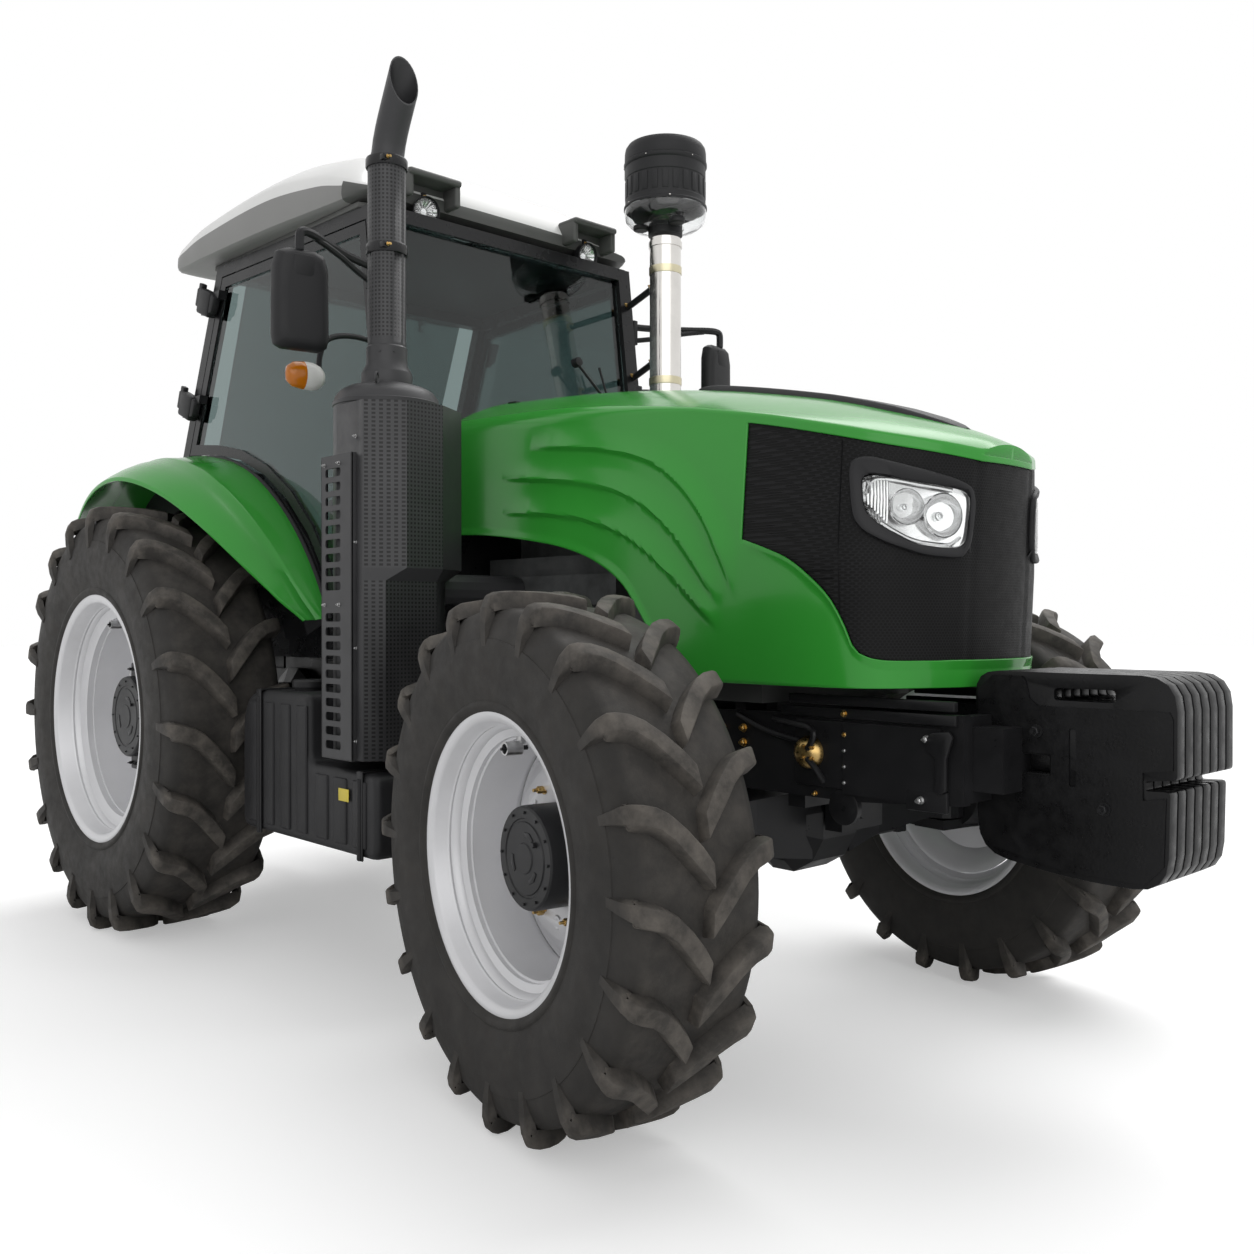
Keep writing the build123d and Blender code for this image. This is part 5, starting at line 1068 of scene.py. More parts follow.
def make_headlamps():
    rim, glass = rounded_ring(LAMP_RIM, 80), rounded_ring(LAMP_GLASS, 80)
    middle = Vector(LAMP_MIDDLE)

    def ring(line, out, scale=1.0, grow=0.0):
        places = []
        for p in line:
            q = middle + (p - middle) * scale + (p - middle).normalized() * grow
            places.append(lamp_place(q.x, q.y, out))
        return places

    bm, lens, bowl = bmesh.new(), bmesh.new(), bmesh.new()
    loft(bm, [ring(rim, -12), ring(rim, 4), ring(rim, 9, 1, -3), ring(rim, 11, 1, -9), ring(rim, 10, 1, -16),
        ring(glass, 8, 1, 7), ring(glass, 4, 1, 1), ring(glass, -8, 1, -1), ring(glass, -34, 0.97)], caps=False)
    loft(lens, [ring(glass, -2, 0.985), ring(glass, 3, 0.985), ring(glass, 5, 0.96), ring(glass, 6.5, 0.8), ring(glass,
        7, 0.5), ring(glass, 7, 0.2)])
    loft(bowl, [ring(glass, -20, 0.97), ring(glass, -32, 0.90), ring(glass, -50, 0.72), ring(glass, -58, 0.4),
        ring(glass, -60, 0.1)])
    # two deep round reflectors with their bulbs, and the fluted outer part
    for back, z, r, deep in ((122, 1545, 54, 46), (222, 1566, 44, 38)):
        seat = lamp_place(back, z, -50)
        ahead = (lamp_place(back, z, 10) - seat).normalized() + Vector((0.25, 0, 0))
        r, deep = r / 1000, deep / 1000
        turn_profile(bowl, [(0.0, 0.006), (0.004, r * 0.42), (deep * 0.45, r * 0.80), (deep * 0.8, r * 0.96), (deep, r),
            (deep + 0.003, r * 1.02), (deep + 0.001, r * 1.07), (deep - 0.008, r * 1.06), (-0.004, r * 0.5),
            (-0.004, 0.006)], seat, ahead, 44, closed=True)
        turn_profile(bowl, [(0.002, 0.0), (0.002, r * 0.24), (deep * 0.62, r * 0.20), (deep * 0.72, r * 0.12),
            (deep * 0.74, 0.0)], seat, ahead, 24, coat=1)
    for k in range(9):
        back = 268 + 8 * k
        top, low = 1648 - 2 * k, 1516 + 8.5 * k
        run(bowl, [lamp_place(back, z, -14 - 6 * math.sin(math.pi * t)) for t, z in ((t, low + (top - low) * t)
            for t in steps_between(0.06, 0.94, 6))], 0.0034, sides=8)
    for edge, out in ((glass[4:36], -10), (glass[46:78], -10)):
        run(bowl, [lamp_place(*(middle + (p - middle) * 0.90), out) for p in edge[::3]], 0.0042, sides=8)
    for mesh in (bm, lens, bowl):
        mirror_across(mesh, mesh.faces[:])
    made = piece("headlamp_bezels", bm, "hood_body", ["soft_black"], sharp=40.0, replaces=("headlight_bezels",))
    solid_sheet(made, 0.002)
    piece("headlamp_lenses", lens, "hood_body", ["clear_lens"], sharp=60.0, replaces=("headlight_lenses",))
    piece("headlamp_reflectors", bowl, "hood_body", ["reflector", "clear_lens"], sharp=35.0)


# ---------------------------------------------------------------- fenders, roof and cab trim
REAR_TYRE = 875.0
FLOOR, ROOF = 1130.0, 2800.0
# angle from straight up, outer edge, and how far the inner edge, crease and outer edge stand off the tyre
FENDER = ((-34, 1085, 200, 175, 90), (-15, 1110, 230, 208, 110), (0, 1105, 237, 218, 120), (18, 1065, 230, 203, 110),
    (36, 1000, 213, 187, 110), (50, 925, 207, 185, 130), (62, 830, 210, 197, 170), (68, 760, 215, 211, 203))


def cab_half(x):
    """Half width over the cab's side frames."""
    return 715.0 - 0.0629 * x


def fender_line(a):
    """(inner, crease, outer) as (half width, radius) pairs at an angle."""
    rad = math.radians(a)
    outer, inner_r, crease_r, outer_r = (between(FENDER, a, k) for k in (1, 2, 3, 4))
    inner_r, crease_r, outer_r = REAR_TYRE + inner_r, REAR_TYRE + crease_r, REAR_TYRE + outer_r
    inner = cab_half(inner_r * math.sin(rad)) + 0.5
    return (inner, inner_r), (inner + 0.52 * (outer - inner), crease_r), (outer, outer_r)


def make_fenders():
    bm, seal = bmesh.new(), bmesh.new()
    for s in (-1, 1):
        rows, edge, skirt = [], [], []
        for a in steps_between(-34.0, 68.0, 56):
            inner, crease, outer = fender_line(a)
            rad = math.radians(a)
            gap = outer[0] - crease[0]
            top = [inner, (inner[0] + 0.3 * (crease[0] - inner[0]), inner[1] + 3), (inner[0] + 0.66 * (crease[0]
                - inner[0]), crease[1] + 8), (crease[0] - 12, crease[1] + 3), (crease[0] - 3, crease[1]),
                (crease[0] + 5, crease[1] - 6), (crease[0] + 0.30 * gap, crease[1] + 0.20 * (outer[1] - crease[1]) - 1),
                (crease[0] + 0.58 * gap, crease[1] + 0.46 * (outer[1] - crease[1])), (crease[0] + 0.82 * gap, crease[1]
                + 0.74 * (outer[1] - crease[1])), (outer[0] - 3, outer[1] + 3), (outer[0], outer[1] - 4), (outer[0] - 1,
                outer[1] - 13), (outer[0] - 5, outer[1] - 14)]
            under = [(y - 4 if y > crease[0] else y, r - 6) for y, r in top[1:-3]][::-1] + [(inner[0], inner[1] - 7)]
            rows.append([at(r * math.sin(rad), s * y, REAR_TYRE + r * math.cos(rad)) for y, r in top + under])
            edge.append(at((inner[1] + 4) * math.sin(rad), s * (inner[0] + 8), REAR_TYRE + (inner[1]
                + 4) * math.cos(rad)))
            skirt.append([at(r * math.sin(rad), s * (cab_half(r * math.sin(rad)) + y), REAR_TYRE + r * math.cos(rad))
                for y, r in ((6, inner[1] - 4), (12, inner[1] - 4), (12, REAR_TYRE + 48), (6, REAR_TYRE + 48))])
        loft(bm, rows)
        run(seal, edge[::4], 0.009)
        loft(seal, skirt)
    piece("fender_shells", bm, "chassis", ["body_paint"], sharp=30.0, replaces=("fenders",))
    piece("fender_seals", seal, "chassis", ["soft_black"])


# x, half width, lower edge, start of the white top and crown above the cab's top frame
ROOF_ROWS = ((-285, 600, 66, 84, 112), (-215, 735, 44, 104, 178), (-60, 762, 28, 138, 232), (150, 768, 22, 160, 272),
    (650, 740, 22, 186, 320), (1000, 704, 22, 150, 290), (1130, 684, 26, 112, 236), (1215, 664, 36, 84, 160),
    (1258, 640, 42, 72, 88))


def make_roof():
    bm = bmesh.new()
    rows = []
    for x in steps_between(-285.0, 1258.0, 40):
        half, low, mid, top = (between(ROOF_ROWS, x, k) for k in (1, 2, 3, 4))
        line = [(half - 46, low), (half - 16, low + 1), (half - 2, low + 10), (half + 2, low + 0.35 * (mid - low)),
            (half, low + 0.72 * (mid - low)), (half - 6, mid - 4), (half - 18, mid + 0.10 * (top - mid)), (half - 60,
            mid + 0.36 * (top - mid)), (half - 120, mid + 0.66 * (top - mid)), (half - 190, mid + 0.88 * (top - mid)),
            (half - 300, mid + 0.985 * (top - mid)), (0.2 * half, top + 2)]
        full = [(-y, z) for y, z in line] + [(y, z) for y, z in reversed(line)]
        rows.append([at(x, y, ROOF + z) for y, z in full])
    faces = loft(bm, rows)
    for f in faces:
        middle = f.calc_center_median()
        x = (middle.x - axle_line) * 1000
        low, mid = between(ROOF_ROWS, x, 2), between(ROOF_ROWS, x, 3)
        if middle.z * 1000 < ROOF + low + (0.55 if x < 1150 else 0.9) * (mid - low):
            f.material_index = 1 if x < 1150 else 2
    bmesh.ops.recalc_face_normals(bm, faces=faces)
    piece("roof_shell", bm, "chassis", ["roof_white", "roof_edge", "roof_grey"], sharp=35.0, replaces=("roof",))
    # the lining under the roof, the visor's lip and two chamfered lamp pods
    bm = bmesh.new()
    outline = [at(x, y, ROOF + 0.4) for x, y in ((60, -688), (1200, -648), (1230, -560), (1230, 560), (1200, 648),
        (60, 688))]
    plate(bm, outline, Vector((0, 0, 0.0208)), 0.004, coat=0)
    for s in (-1, 1):
        # a hood over each work lamp: a solid root, a lip and two cheeks
        for low, high, turn in (((1176, 282, 2850), (1252, 516, 2944), 0.018), ((1226, 282, 2922), (1346, 516, 2948),
                0.011), ((1226, 282, 2846), (1336, 308, 2940), 0.011), ((1226, 490, 2846), (1336, 516, 2940), 0.011)):
            slab(bm, at(low[0], s * low[1], low[2]), at(high[0], s * high[1], high[2]), turn, segments=3)
    # the second finish, the darker black, is painted shade meant for the pods' recesses
    piece("roof_visor_pods", bm, "chassis", ["roof_grey", "recess_shade_black"], sharp=35.0, replaces=("roof_visor",))
    bm = bmesh.new()
    for s in (-1, 1):
        middle = at(1272, s * 402, ROOF + 22)
        ahead = Vector((0.97, s * 0.10, -0.20)).normalized()
        turn_profile(bm, [(-0.040, 0), (-0.040, 0.024), (-0.026, 0.046), (0.0, 0.054), (0.012, 0.056), (0.014, 0.053),
            (0.010, 0.050), (-0.010, 0.045)], middle, ahead, 36, coat=0)
        turn_profile(bm, [(-0.022, 0.0), (-0.018, 0.024), (-0.008, 0.040), (0.004, 0.049)], middle, ahead, 36, coat=1)
        side = ahead.orthogonal().normalized()
        across = ahead.cross(side)
        for a in turns(18):
            spoke = side * math.cos(a) + across * math.sin(a)
            run(bm, [middle - ahead * 0.016 + spoke * 0.014, middle - ahead * 0.006 + spoke * 0.030, middle
                + ahead * 0.003 + spoke * 0.048], 0.0024, sides=8, coat=1)
        turn_profile(bm, [(0.007, 0), (0.012, 0.020), (0.010, 0.040), (0.006, 0.0505), (0.002, 0.0505), (0.004, 0)],
            middle, ahead, 36, coat=2)
        slab(bm, middle + Vector((-0.030, -0.010, 0.040)), middle + Vector((-0.006, 0.010, 0.074)), 0.003, coat=0)
        bolt(bm, middle + Vector((-0.006, 0, 0.058)), (1, 0, 0), 0.008, 0.008, coat=3)
    piece("work_lamp_heads", bm, "chassis", ["soft_black", "reflector", "clear_lens", "brass"], sharp=35.0,
        replaces=("work_lamps",))


def lean(low, high, z):
    return low[0] + (high[0] - low[0]) * (z - low[1]) / (high[1] - low[1])


A_POST = ((1385.0, FLOOR + 510.0), (1235.0, ROOF))
C_POST = ((-262.0, FLOOR + 560.0), (190.0, ROOF))


def make_cab_trim():
    bm = bmesh.new()
    for s in (-1, 1):
        # covers over the door hinges
        for z in (2217.0, 2640.0):
            x = lean(*C_POST, z)
            y = cab_half(x)
            tilt = math.atan2(C_POST[1][0] - C_POST[0][0], C_POST[1][1] - C_POST[0][1])
            before = set(bm.faces)
            slab(bm, (-0.075, 0.004, -0.052), (0.045, 0.052, 0.056), 0.012)
            slab(bm, (-0.110, 0.008, -0.030), (-0.060, 0.044, 0.050), 0.008)
            slab(bm, (-0.105, 0.016, 0.045), (-0.070, 0.040, 0.072), 0.005)
            plate(bm, [(0.020, 0.046, -0.048), (0.070, 0.046, -0.022), (0.076, 0.046, 0.040), (0.050, 0.046, 0.050),
                (0.020, 0.046, 0.050)], Vector((0, -0.034, 0)), 0.008)
            grown = verts_of(added(bm, before))
            bmesh.ops.rotate(bm, verts=grown, cent=(0, 0, 0), matrix=Matrix.Rotation(tilt, 3, "Y"))
            for v in grown:
                v.co = at(x - 20, 0, z) + Vector((v.co.x, s * (y / 1000 + v.co.y), v.co.z))
            if s < 0:
                bmesh.ops.reverse_faces(bm, faces=added(bm, before))
    piece("door_hinge_covers", bm, "chassis", ["soft_black"], sharp=35.0)
    bm = bmesh.new()

    # the wiper lies on the windshield
    def on_screen(y, z, out):
        return at(lean(*A_POST, z) + 60 + out + 24 * (1 - (y / 620.0) ** 2), y, z)

    run(bm, [on_screen(250, 2330, 14), on_screen(330, 2250, 20), on_screen(420, 2170, 16)], 0.006, sides=8)
    run(bm, [on_screen(380, 2330, 10), on_screen(420, 2170, 9), on_screen(470, 2060, 10)], 0.005, sides=8)
    turn_profile(bm, [(0, 0), (0, 0.02), (0.03, 0.018), (0.034, 0)], on_screen(250, 2330, 0), (1, 0, 0.1), 16)
    piece("wiper", bm, "chassis", ["soft_black"])


def make_mirrors():
    bm = bmesh.new()
    for s in (-1, 1):
        rows = []
        for x, g in ((1438, 12), (1442, 3), (1452, 0), (1474, 2), (1490, 9), (1499, 20), (1502, 38)):
            low, high, near, far = 2172 + g, 2506 - g, 920 + g, 1104 - g
            outline = [(near, low + 40), (near + 6, low + 12), (near + 30, low), (far - 30, low), (far - 6, low + 12),
                (far, low + 44), (far - 2, high - 60), (far - 14, high - 14), (far - 44, high), (near + 44, high),
                (near + 14, high - 14), (near + 2, high - 60)]
            rows.append([(x, y, z) for y, z in outline])
        rows = [[at(x - (y - 955) * 0.16, s * y, z) for x, y, z in row] for row in rows]
        faces = shell(bm, rows)
        for f in faces:
            if f.calc_center_median().x < (at(1442, 0, 0).x - 0.001) and len(f.verts) > 4 and f.normal.x < -0.9:
                f.material_index = 1
        soften(bm, crisp(faces, 40.0), 0.004, 2)
        # the bracket's pad, the bowed arm and its brace
        plate(bm, [at(1497 - (y - 955) * 0.16, s * y, z) for y, z in ((982, 2480), (1050, 2480), (1050, 2424),
            (1040, 2412), (992, 2412), (982, 2424))], Vector((0.006, 0, 0)), 0.003)
        arm = [at(1296, s * 652, 2560), at(1330, s * 760, 2562), at(1410, s * 900, 2566), at(1462, s * 975, 2568),
            at(1470, s * 1018, 2566), at(1470, s * 1024, 2540), at(1470, s * 1022, 2500)]
        run(bm, arm, 0.015)
        run(bm, [at(1300, s * 652, 2500), at(1350, s * 740, 2512), at(1400, s * 850, 2546), at(1440, s * 950, 2562)],
            0.011)
        slab(bm, at(1276, s * 652, 2480) - Vector((0, 0.012, 0)), at(1316, s * 652, 2586) + Vector((0, 0.012, 0)),
            0.004)
        turn_profile(bm, [(0, 0), (0, 0.010), (0.03, 0.010), (0.03, 0)], at(1470, s * 1022, 2496), (0, 0, 1), 14)
    piece("mirror_heads", bm, "chassis", ["soft_black", "mirror_face"], sharp=38.0, replaces=("mirrors",))
    bm = bmesh.new()
    for s in (-1, 1):
        centre = at(1370, s * 950, 2110)
        rows = []
        for y, w, h in ((-70, 6, 8), (-66, 20, 26), (-46, 30, 42), (-8, 34, 48), (24, 34, 48), (50, 29, 40),
                (66, 18, 24), (69, 5, 6)):
            rows.append([centre + Vector((w / 1000 * math.cos(a), s * -y / 1000, h / 1000 * math.sin(a)))
                for a in turns(20)])
        for f in shell(bm, rows):
            y = (f.calc_center_median().y - centre.y) * 1000 * s
            f.material_index = 1 if y > 2 else 2
            if f.calc_center_median().x < centre.x - 0.006:
                f.material_index = 0
        foot_x = lean(*A_POST, 2270.0) + 29
        run(bm, [at(foot_x, s * 638, 2270), at(foot_x + 20, s * 720, 2285), at(1372, s * 860, 2262), at(1378, s * 900,
            2200), at(1372, s * 902, 2120), at(1368, s * 916, 2100)], 0.010)
        slab(bm, at(foot_x - 24, s * 640, 2246) - Vector((0, 0.012, 0)), at(foot_x + 24, s * 640, 2294)
            + Vector((0, 0.012, 0)), 0.004)
    piece("turn_lamp_heads", bm, "chassis", ["soft_black", "orange_lens", "label_white"], sharp=50.0)


# ---------------------------------------------------------------- exhaust and intake stacks
CAN_X, CAN_Y = 1680.0, -820.0
INTAKE_X, INTAKE_Y = 1625.0, 525.0


def make_muffler():
    bm = bmesh.new()
    rows = [(0, 0), (0, 0.150), (0.006, 0.160), (0.020, 0.171), (0.026, 0.172), (1.138, 0.172), (1.140, 0.1745),
        (1.152, 0.1745), (1.154, 0.172), (1.172, 0.166), (1.190, 0.152), (1.203, 0.130), (1.211, 0.104), (1.215, 0.088),
        (1.218, 0.088), (1.218, 0.0)]
    turn_profile(bm, rows, at(CAN_X, CAN_Y, 832), (0, 0, 1), 72)
    run(bm, [at(CAN_X + 60, -332, 1380), at(CAN_X + 60, -700, 1380)], 0.052, smooth=False, sides=20)
    for s in (-1, 1):
        eye_at = at(CAN_X + s * 95, CAN_Y + s * -95, 2030)
        side = Vector((1, -1, 0)).normalized()
        ring = [eye_at + side * 0.018 * math.cos(a) + Vector((0, 0, 0.018 + 0.018 * math.sin(a)))
            for a in (math.radians(-70 + 28 * k) for k in range(12))]
        run(bm, ring, 0.0035, sides=8)
    piece("muffler_can", bm, "chassis", ["exhaust_satin"], sharp=28.0, replaces=("muffler",))

    bm = bmesh.new()

    # the shield: folded sheet in plan, its lower front part set back
    def wall(plan, low, high, coats_of):
        for (a, b), coat in zip(zip(plan, plan[1:]), coats_of):
            ends = [at(CAN_X + a[0], CAN_Y + a[1], low), at(CAN_X + b[0], CAN_Y + b[1], low)]
            row = [bm.verts.new(p) for p in ends]
            edge = bm.edges.new(row)
            grown = bmesh.ops.extrude_edge_only(bm, edges=[edge])["geom"]
            bmesh.ops.translate(bm, verts=verts_in(grown), vec=(0, 0, (high - low) / 1000))
            paint(faces_in(grown), coat)

    top, low, fold, foot = 1960.0, 840.0, 1440.0, 1400.0
    upper = [(0, -184), (120, -184), (160, -184), (236, -74), (236, 60), (160, 184), (0, 184)]
    wall(upper, fold, top, (0, 0, 1, 2, 0, 0))
    lower = [(0, -184), (120, -184), (160, -184), (200, -128), (200, 60), (160, 120)]
    wall(lower, low, foot, (0, 0, 1, 2, 0))
    rows = [[at(CAN_X + x, CAN_Y + y, fold) for x, y in upper[:6]], [at(CAN_X + x, CAN_Y + y, foot) for x, y in lower]]
    loft(bm, rows, closed=False)
    lid = [at(CAN_X + x, CAN_Y + y, top) for x, y in upper[1:]]
    inner = [at(CAN_X + 173 * math.cos(a), CAN_Y + 173 * math.sin(a), top) for a in (math.radians(t) for t in (-46, -40,
        -24, 20, 40, 88))]
    loft(bm, [lid, inner], closed=False)
    made = piece("shield_sheet", bm, "chassis", ["exhaust_satin", "perforated_side", "perforated_front"], sharp=20.0,
        replaces=("heat_shield",))
    solid_sheet(made, 0.002)
    bm = bmesh.new()
    # the guard: two rows of rounded slots between rails, with a return flange
    x0, x1, y, z0, z1 = 1610.0, 1800.0, -1020.0, 840.0, 1800.0
    xs = [x0, x0 + 26, x1 - 68, x1]
    zs, holes = [z0], []
    for start, count in ((868, 10), (1372, 9)):
        for k in range(count):
            zs += [start + 45 * k, start + 45 * k + 27]
            holes.append(start + 45 * k)
    zs.append(z1)
    grid = {}
    for i in range(3):
        for k in range(len(zs) - 1):
            if i == 1 and zs[k] in holes:
                continue
            corners = [(xs[i], zs[k]), (xs[i + 1], zs[k]), (xs[i + 1], zs[k + 1]), (xs[i], zs[k + 1])]
            for c in corners:
                if c not in grid:
                    grid[c] = bm.verts.new(at(c[0], y, c[1]))
            bm.faces.new([grid[c] for c in corners])
    corner_edges = [v for c, v in grid.items() if c[0] in (xs[1], xs[2]) and len(v.link_faces) == 3]
    bmesh.ops.bevel(bm, geom=corner_edges, offset=0.009, offset_type="OFFSET", segments=3, profile=0.5,
        affect="VERTICES", material=-1)
    grown = bmesh.ops.extrude_face_region(bm, geom=bm.faces[:])["geom"]
    bmesh.ops.translate(bm, verts=verts_in(grown), vec=(0, 0.005, 0))
    slab(bm, at(x1 - 6, y, z0), at(x1, y + 46, z1), 0.0015)
    slab(bm, at(x0, y, z0), at(x0 + 5, y + 22, z1), 0.0015)
    slab(bm, at(x0 + 2, y, z0 - 3), at(x1 - 2, y + 60, z0 + 2), 0.0015)
    for z in (1326, 1772):
        for x in (x0 + 22, x1 - 76):
            bolt(bm, at(x, y, z), (0, -1, 0), 0.008, 0.008, coat=1)
            run(bm, [at(x, y, z), at(x, -992, z)], 0.006, smooth=False, sides=8)
    for z in (900, 1190, 1520, 1850):
        bolt(bm, at(CAN_X + 118, CAN_Y - 184, z), (0, -1, 0), 0.008, 0.008, coat=1)
    piece("slotted_guard", bm, "chassis", ["exhaust_satin", "zinc"], sharp=30.0)


def ring_at(centre, ahead, radius, count=28):
    """Places round a pipe."""
    side = Vector((0, 1, 0))
    up = ahead.cross(side).normalized()
    return [centre + side * radius * math.cos(a) + up * radius * math.sin(a) for a in (2 * math.pi * k / count
        for k in range(count))]


def make_exhaust():
    bm = bmesh.new()
    foot = at(CAN_X, CAN_Y, 2050.3)
    rows = [(0, 0), (0, 0.083), (0.034, 0.083), (0.040, 0.080), (0.062, 0.068), (0.080, 0.0665), (0.118, 0.0665),
        (0.124, 0.062), (0.150, 0.062), (0.150, 0)]
    turn_profile(bm, rows, foot, (0, 0, 1), 56)
    for a in (-0.9, -0.2):
        d = around(a)
        bolt(bm, foot + d * 0.066 + Vector((0, 0, 0.098)), d, 0.005, 0.004, stud=False)
    # perforated sleeve
    turn_profile(bm, [(0.150, 0.0), (0.150, 0.062), (0.728, 0.062), (0.728, 0.0)], foot, (0, 0, 1), 56, coat=1)
    for z in (0.424, 0.706):
        turn_profile(bm, [(z, 0.0615), (z, 0.0665), (z + 0.004, 0.0685), (z + 0.028, 0.0685), (z + 0.032, 0.0665),
            (z + 0.032, 0.0615)], foot, (0, 0, 1), 56, coat=2)
        spot = foot + Vector((0.050, -0.046, z + 0.016))
        slab(bm, spot - Vector((0.016, 0.008, 0.010)), spot + Vector((0.016, 0.008, 0.010)), 0.003, coat=2)
        run(bm, [spot + Vector((-0.030, -0.004, 0)), spot + Vector((0.030, 0.012, 0))], 0.0045, smooth=False, sides=8,
            coat=3)
        bolt(bm, spot + Vector((0.020, 0.006, 0)), (0.9, 0.4, 0), 0.008, 0.008, coat=3)
    piece("exhaust_pipe", bm, "chassis", ["exhaust_satin", "perforated_pipe", "cab_black", "brass"], sharp=30.0,
        replaces=("exhaust_stack",))
    # the curved tip with its slanted mouth
    bm = bmesh.new()
    route = ((4, 2768, 0), (4, 2786, 0), (7, 2805, 8), (16, 2840, 16), (30, 2875, 22), (46, 2908, 26), (60, 2934, 27))
    outer, inner = [], []
    for dx, z, tilt in route:
        t = math.radians(tilt)
        ahead = Vector((math.sin(t), 0, math.cos(t)))
        radius = 0.0585 if z < 2800 else 0.0535
        outer.append(ring_at(at(CAN_X + dx, CAN_Y, z), ahead, radius))
        inner.append(ring_at(at(CAN_X + dx, CAN_Y, z), ahead, radius - 0.0035))
    # the mouth is cut upright, so that it is a tall oval seen from ahead
    cut = Vector((-0.015, 0, 0.083))
    centre = at(CAN_X + 104, CAN_Y, 3015)
    for rings, share in ((outer, 1.0), (inner, 0.93)):
        rings.append([centre + Vector((0, 0.0535, 0)) * share * math.cos(a) + cut * share * math.sin(a)
            for a in turns(28)])
    loft(bm, outer + inner[::-1], caps=False)
    piece("exhaust_tip", bm, "chassis", ["exhaust_satin"], sharp=35.0)


def make_intake():
    bm = bmesh.new()
    run(bm, [at(INTAKE_X, 275, 1410), at(INTAKE_X, 400, 1410), at(INTAKE_X, INTAKE_Y, 1410), at(INTAKE_X, INTAKE_Y,
        1540), at(INTAKE_X, INTAKE_Y, 1700)], 0.065, sides=32, coat=1)
    turn_profile(bm, [(1.69, 0.0), (1.69, 0.064), (2.836, 0.064), (2.836, 0.0)], at(INTAKE_X, INTAKE_Y, 0), (0, 0, 1),
        56, coat=0)
    for z in (2238, 2690):
        turn_profile(bm, [(0, 0.0635), (0.001, 0.0665), (0.004, 0.067), (0.028, 0.067), (0.031, 0.0665),
            (0.032, 0.0635)], at(INTAKE_X, INTAKE_Y, z), (0, 0, 1), 56, coat=2)
    turn_profile(bm, [(0, 0.064), (0, 0.0685), (0.022, 0.0685), (0.022, 0.064)], at(INTAKE_X, INTAKE_Y, 2800),
        (0, 0, 1), 56, coat=0)
    for z in (2330.0, 2640.0):
        x = lean(*A_POST, z) + 60
        y = cab_half(x) - 28
        a, b = at(x, y, z - 6), at(INTAKE_X - 62, INTAKE_Y + 8, z + 22)
        run(bm, [a, b], 0.014, smooth=False, sides=12, coat=1)
        for t in (0.04, 0.88):
            p = a.lerp(b, t)
            bolt(bm, p + Vector((0, -0.012, 0.004)), (0, -1, 0.3), 0.011, 0.010, coat=3)
        slab(bm, b - Vector((0.014, 0.014, 0.016)), b + Vector((0.016, 0.014, 0.016)), 0.004, coat=3)
    piece("intake_tube", bm, "chassis", ["bright_steel", "soft_black", "warm_steel", "brass"], sharp=30.0,
        replaces=("intake_stack",))
    bm = bmesh.new()
    foot = at(INTAKE_X, INTAKE_Y, 0)
    rows = [(2.850, 0), (2.850, 0.070), (2.990, 0.070), (2.996, 0.120), (3.000, 0.150), (3.000, 0.163), (2.957, 0.163),
        (2.953, 0.1665), (2.953, 0.170), (2.962, 0.170), (2.966, 0.166), (2.972, 0.1645), (2.986, 0.1645),
        (2.990, 0.162), (3.072, 0.162), (3.076, 0.1645), (3.120, 0.1645), (3.122, 0.167), (3.128, 0.170),
        (3.136, 0.170), (3.140, 0.1655), (3.146, 0.167), (3.180, 0.166), (3.196, 0.163), (3.208, 0.155),
        (3.2145, 0.135), (3.2145, 0.0)]
    turn_profile(bm, rows, foot, (0, 0, 1), 72)
    for a in turns(24):
        d, side = around(a), around(a + math.pi / 2)
        base = foot + d * 0.158
        corners = [base + side * w + Vector((0, 0, z)) for w, z in ((-0.012, 2.994), (0.012, 2.994), (0.012, 3.068),
            (-0.012, 3.068))]
        plate(bm, corners, d * 0.0068, 0.002)
    for k, z in ((0, 3.131), (1, 3.131), (2, 3.131), (0.5, 2.962), (1.5, 2.962), (2.5, 2.962)):
        a = -2.4 + 1.15 * k
        d = around(a)
        bolt(bm, foot + d * 0.169 + Vector((0, 0, z)), d, 0.004, 0.003, coat=1, stud=False)
    # the two drain ports and the vane seen in the bowl
    for a, r in ((-2.2, 0.100), (-0.35, 0.112)):
        d = around(a)
        turn_profile(bm, [(2.868, 0), (2.868, 0.026), (2.872, 0.032), (2.886, 0.032), (2.890, 0.028), (2.890, 0)], foot
            + d * r, (0, 0, 1), 24)
    vane = [[foot + Vector((r * math.cos(a), r * math.sin(a), z + rise * k)) for k, a in enumerate(math.radians(200
        + 26 * k) for k in range(8))] for r, z, rise in ((0.072, 2.90, 0.010), (0.140, 2.925, 0.008))]
    sheet = loft(bm, vane, closed=False)
    bmesh.ops.solidify(bm, geom=sheet, thickness=0.004)
    plate(bm, [foot + around(a) * 0.1655 + Vector((0, 0, z)) for z, a in ((3.082, -2.75), (3.082, -2.35),
        (3.118, -2.35), (3.118, -2.75))], Vector((-0.0018, -0.0010, 0)), 0.0004, coat=2)
    piece("precleaner_body", bm, "chassis", ["soft_black", "bright_steel", "label_white"], sharp=30.0,
        replaces=("precleaner",))
    bm = bmesh.new()
    bowl = [(2.952, 0.167), (2.930, 0.167), (2.905, 0.160), (2.888, 0.140), (2.880, 0.105), (2.878, 0.076),
        (2.880, 0.074)]
    inside = [(z + 0.003, max(0.0745, r - 0.003)) for z, r in reversed(bowl)]
    turn_profile(bm, bowl + inside, foot, (0, 0, 1), 64, closed=True)
    piece("precleaner_bowl", bm, "chassis", ["clear_lens"], sharp=40.0)


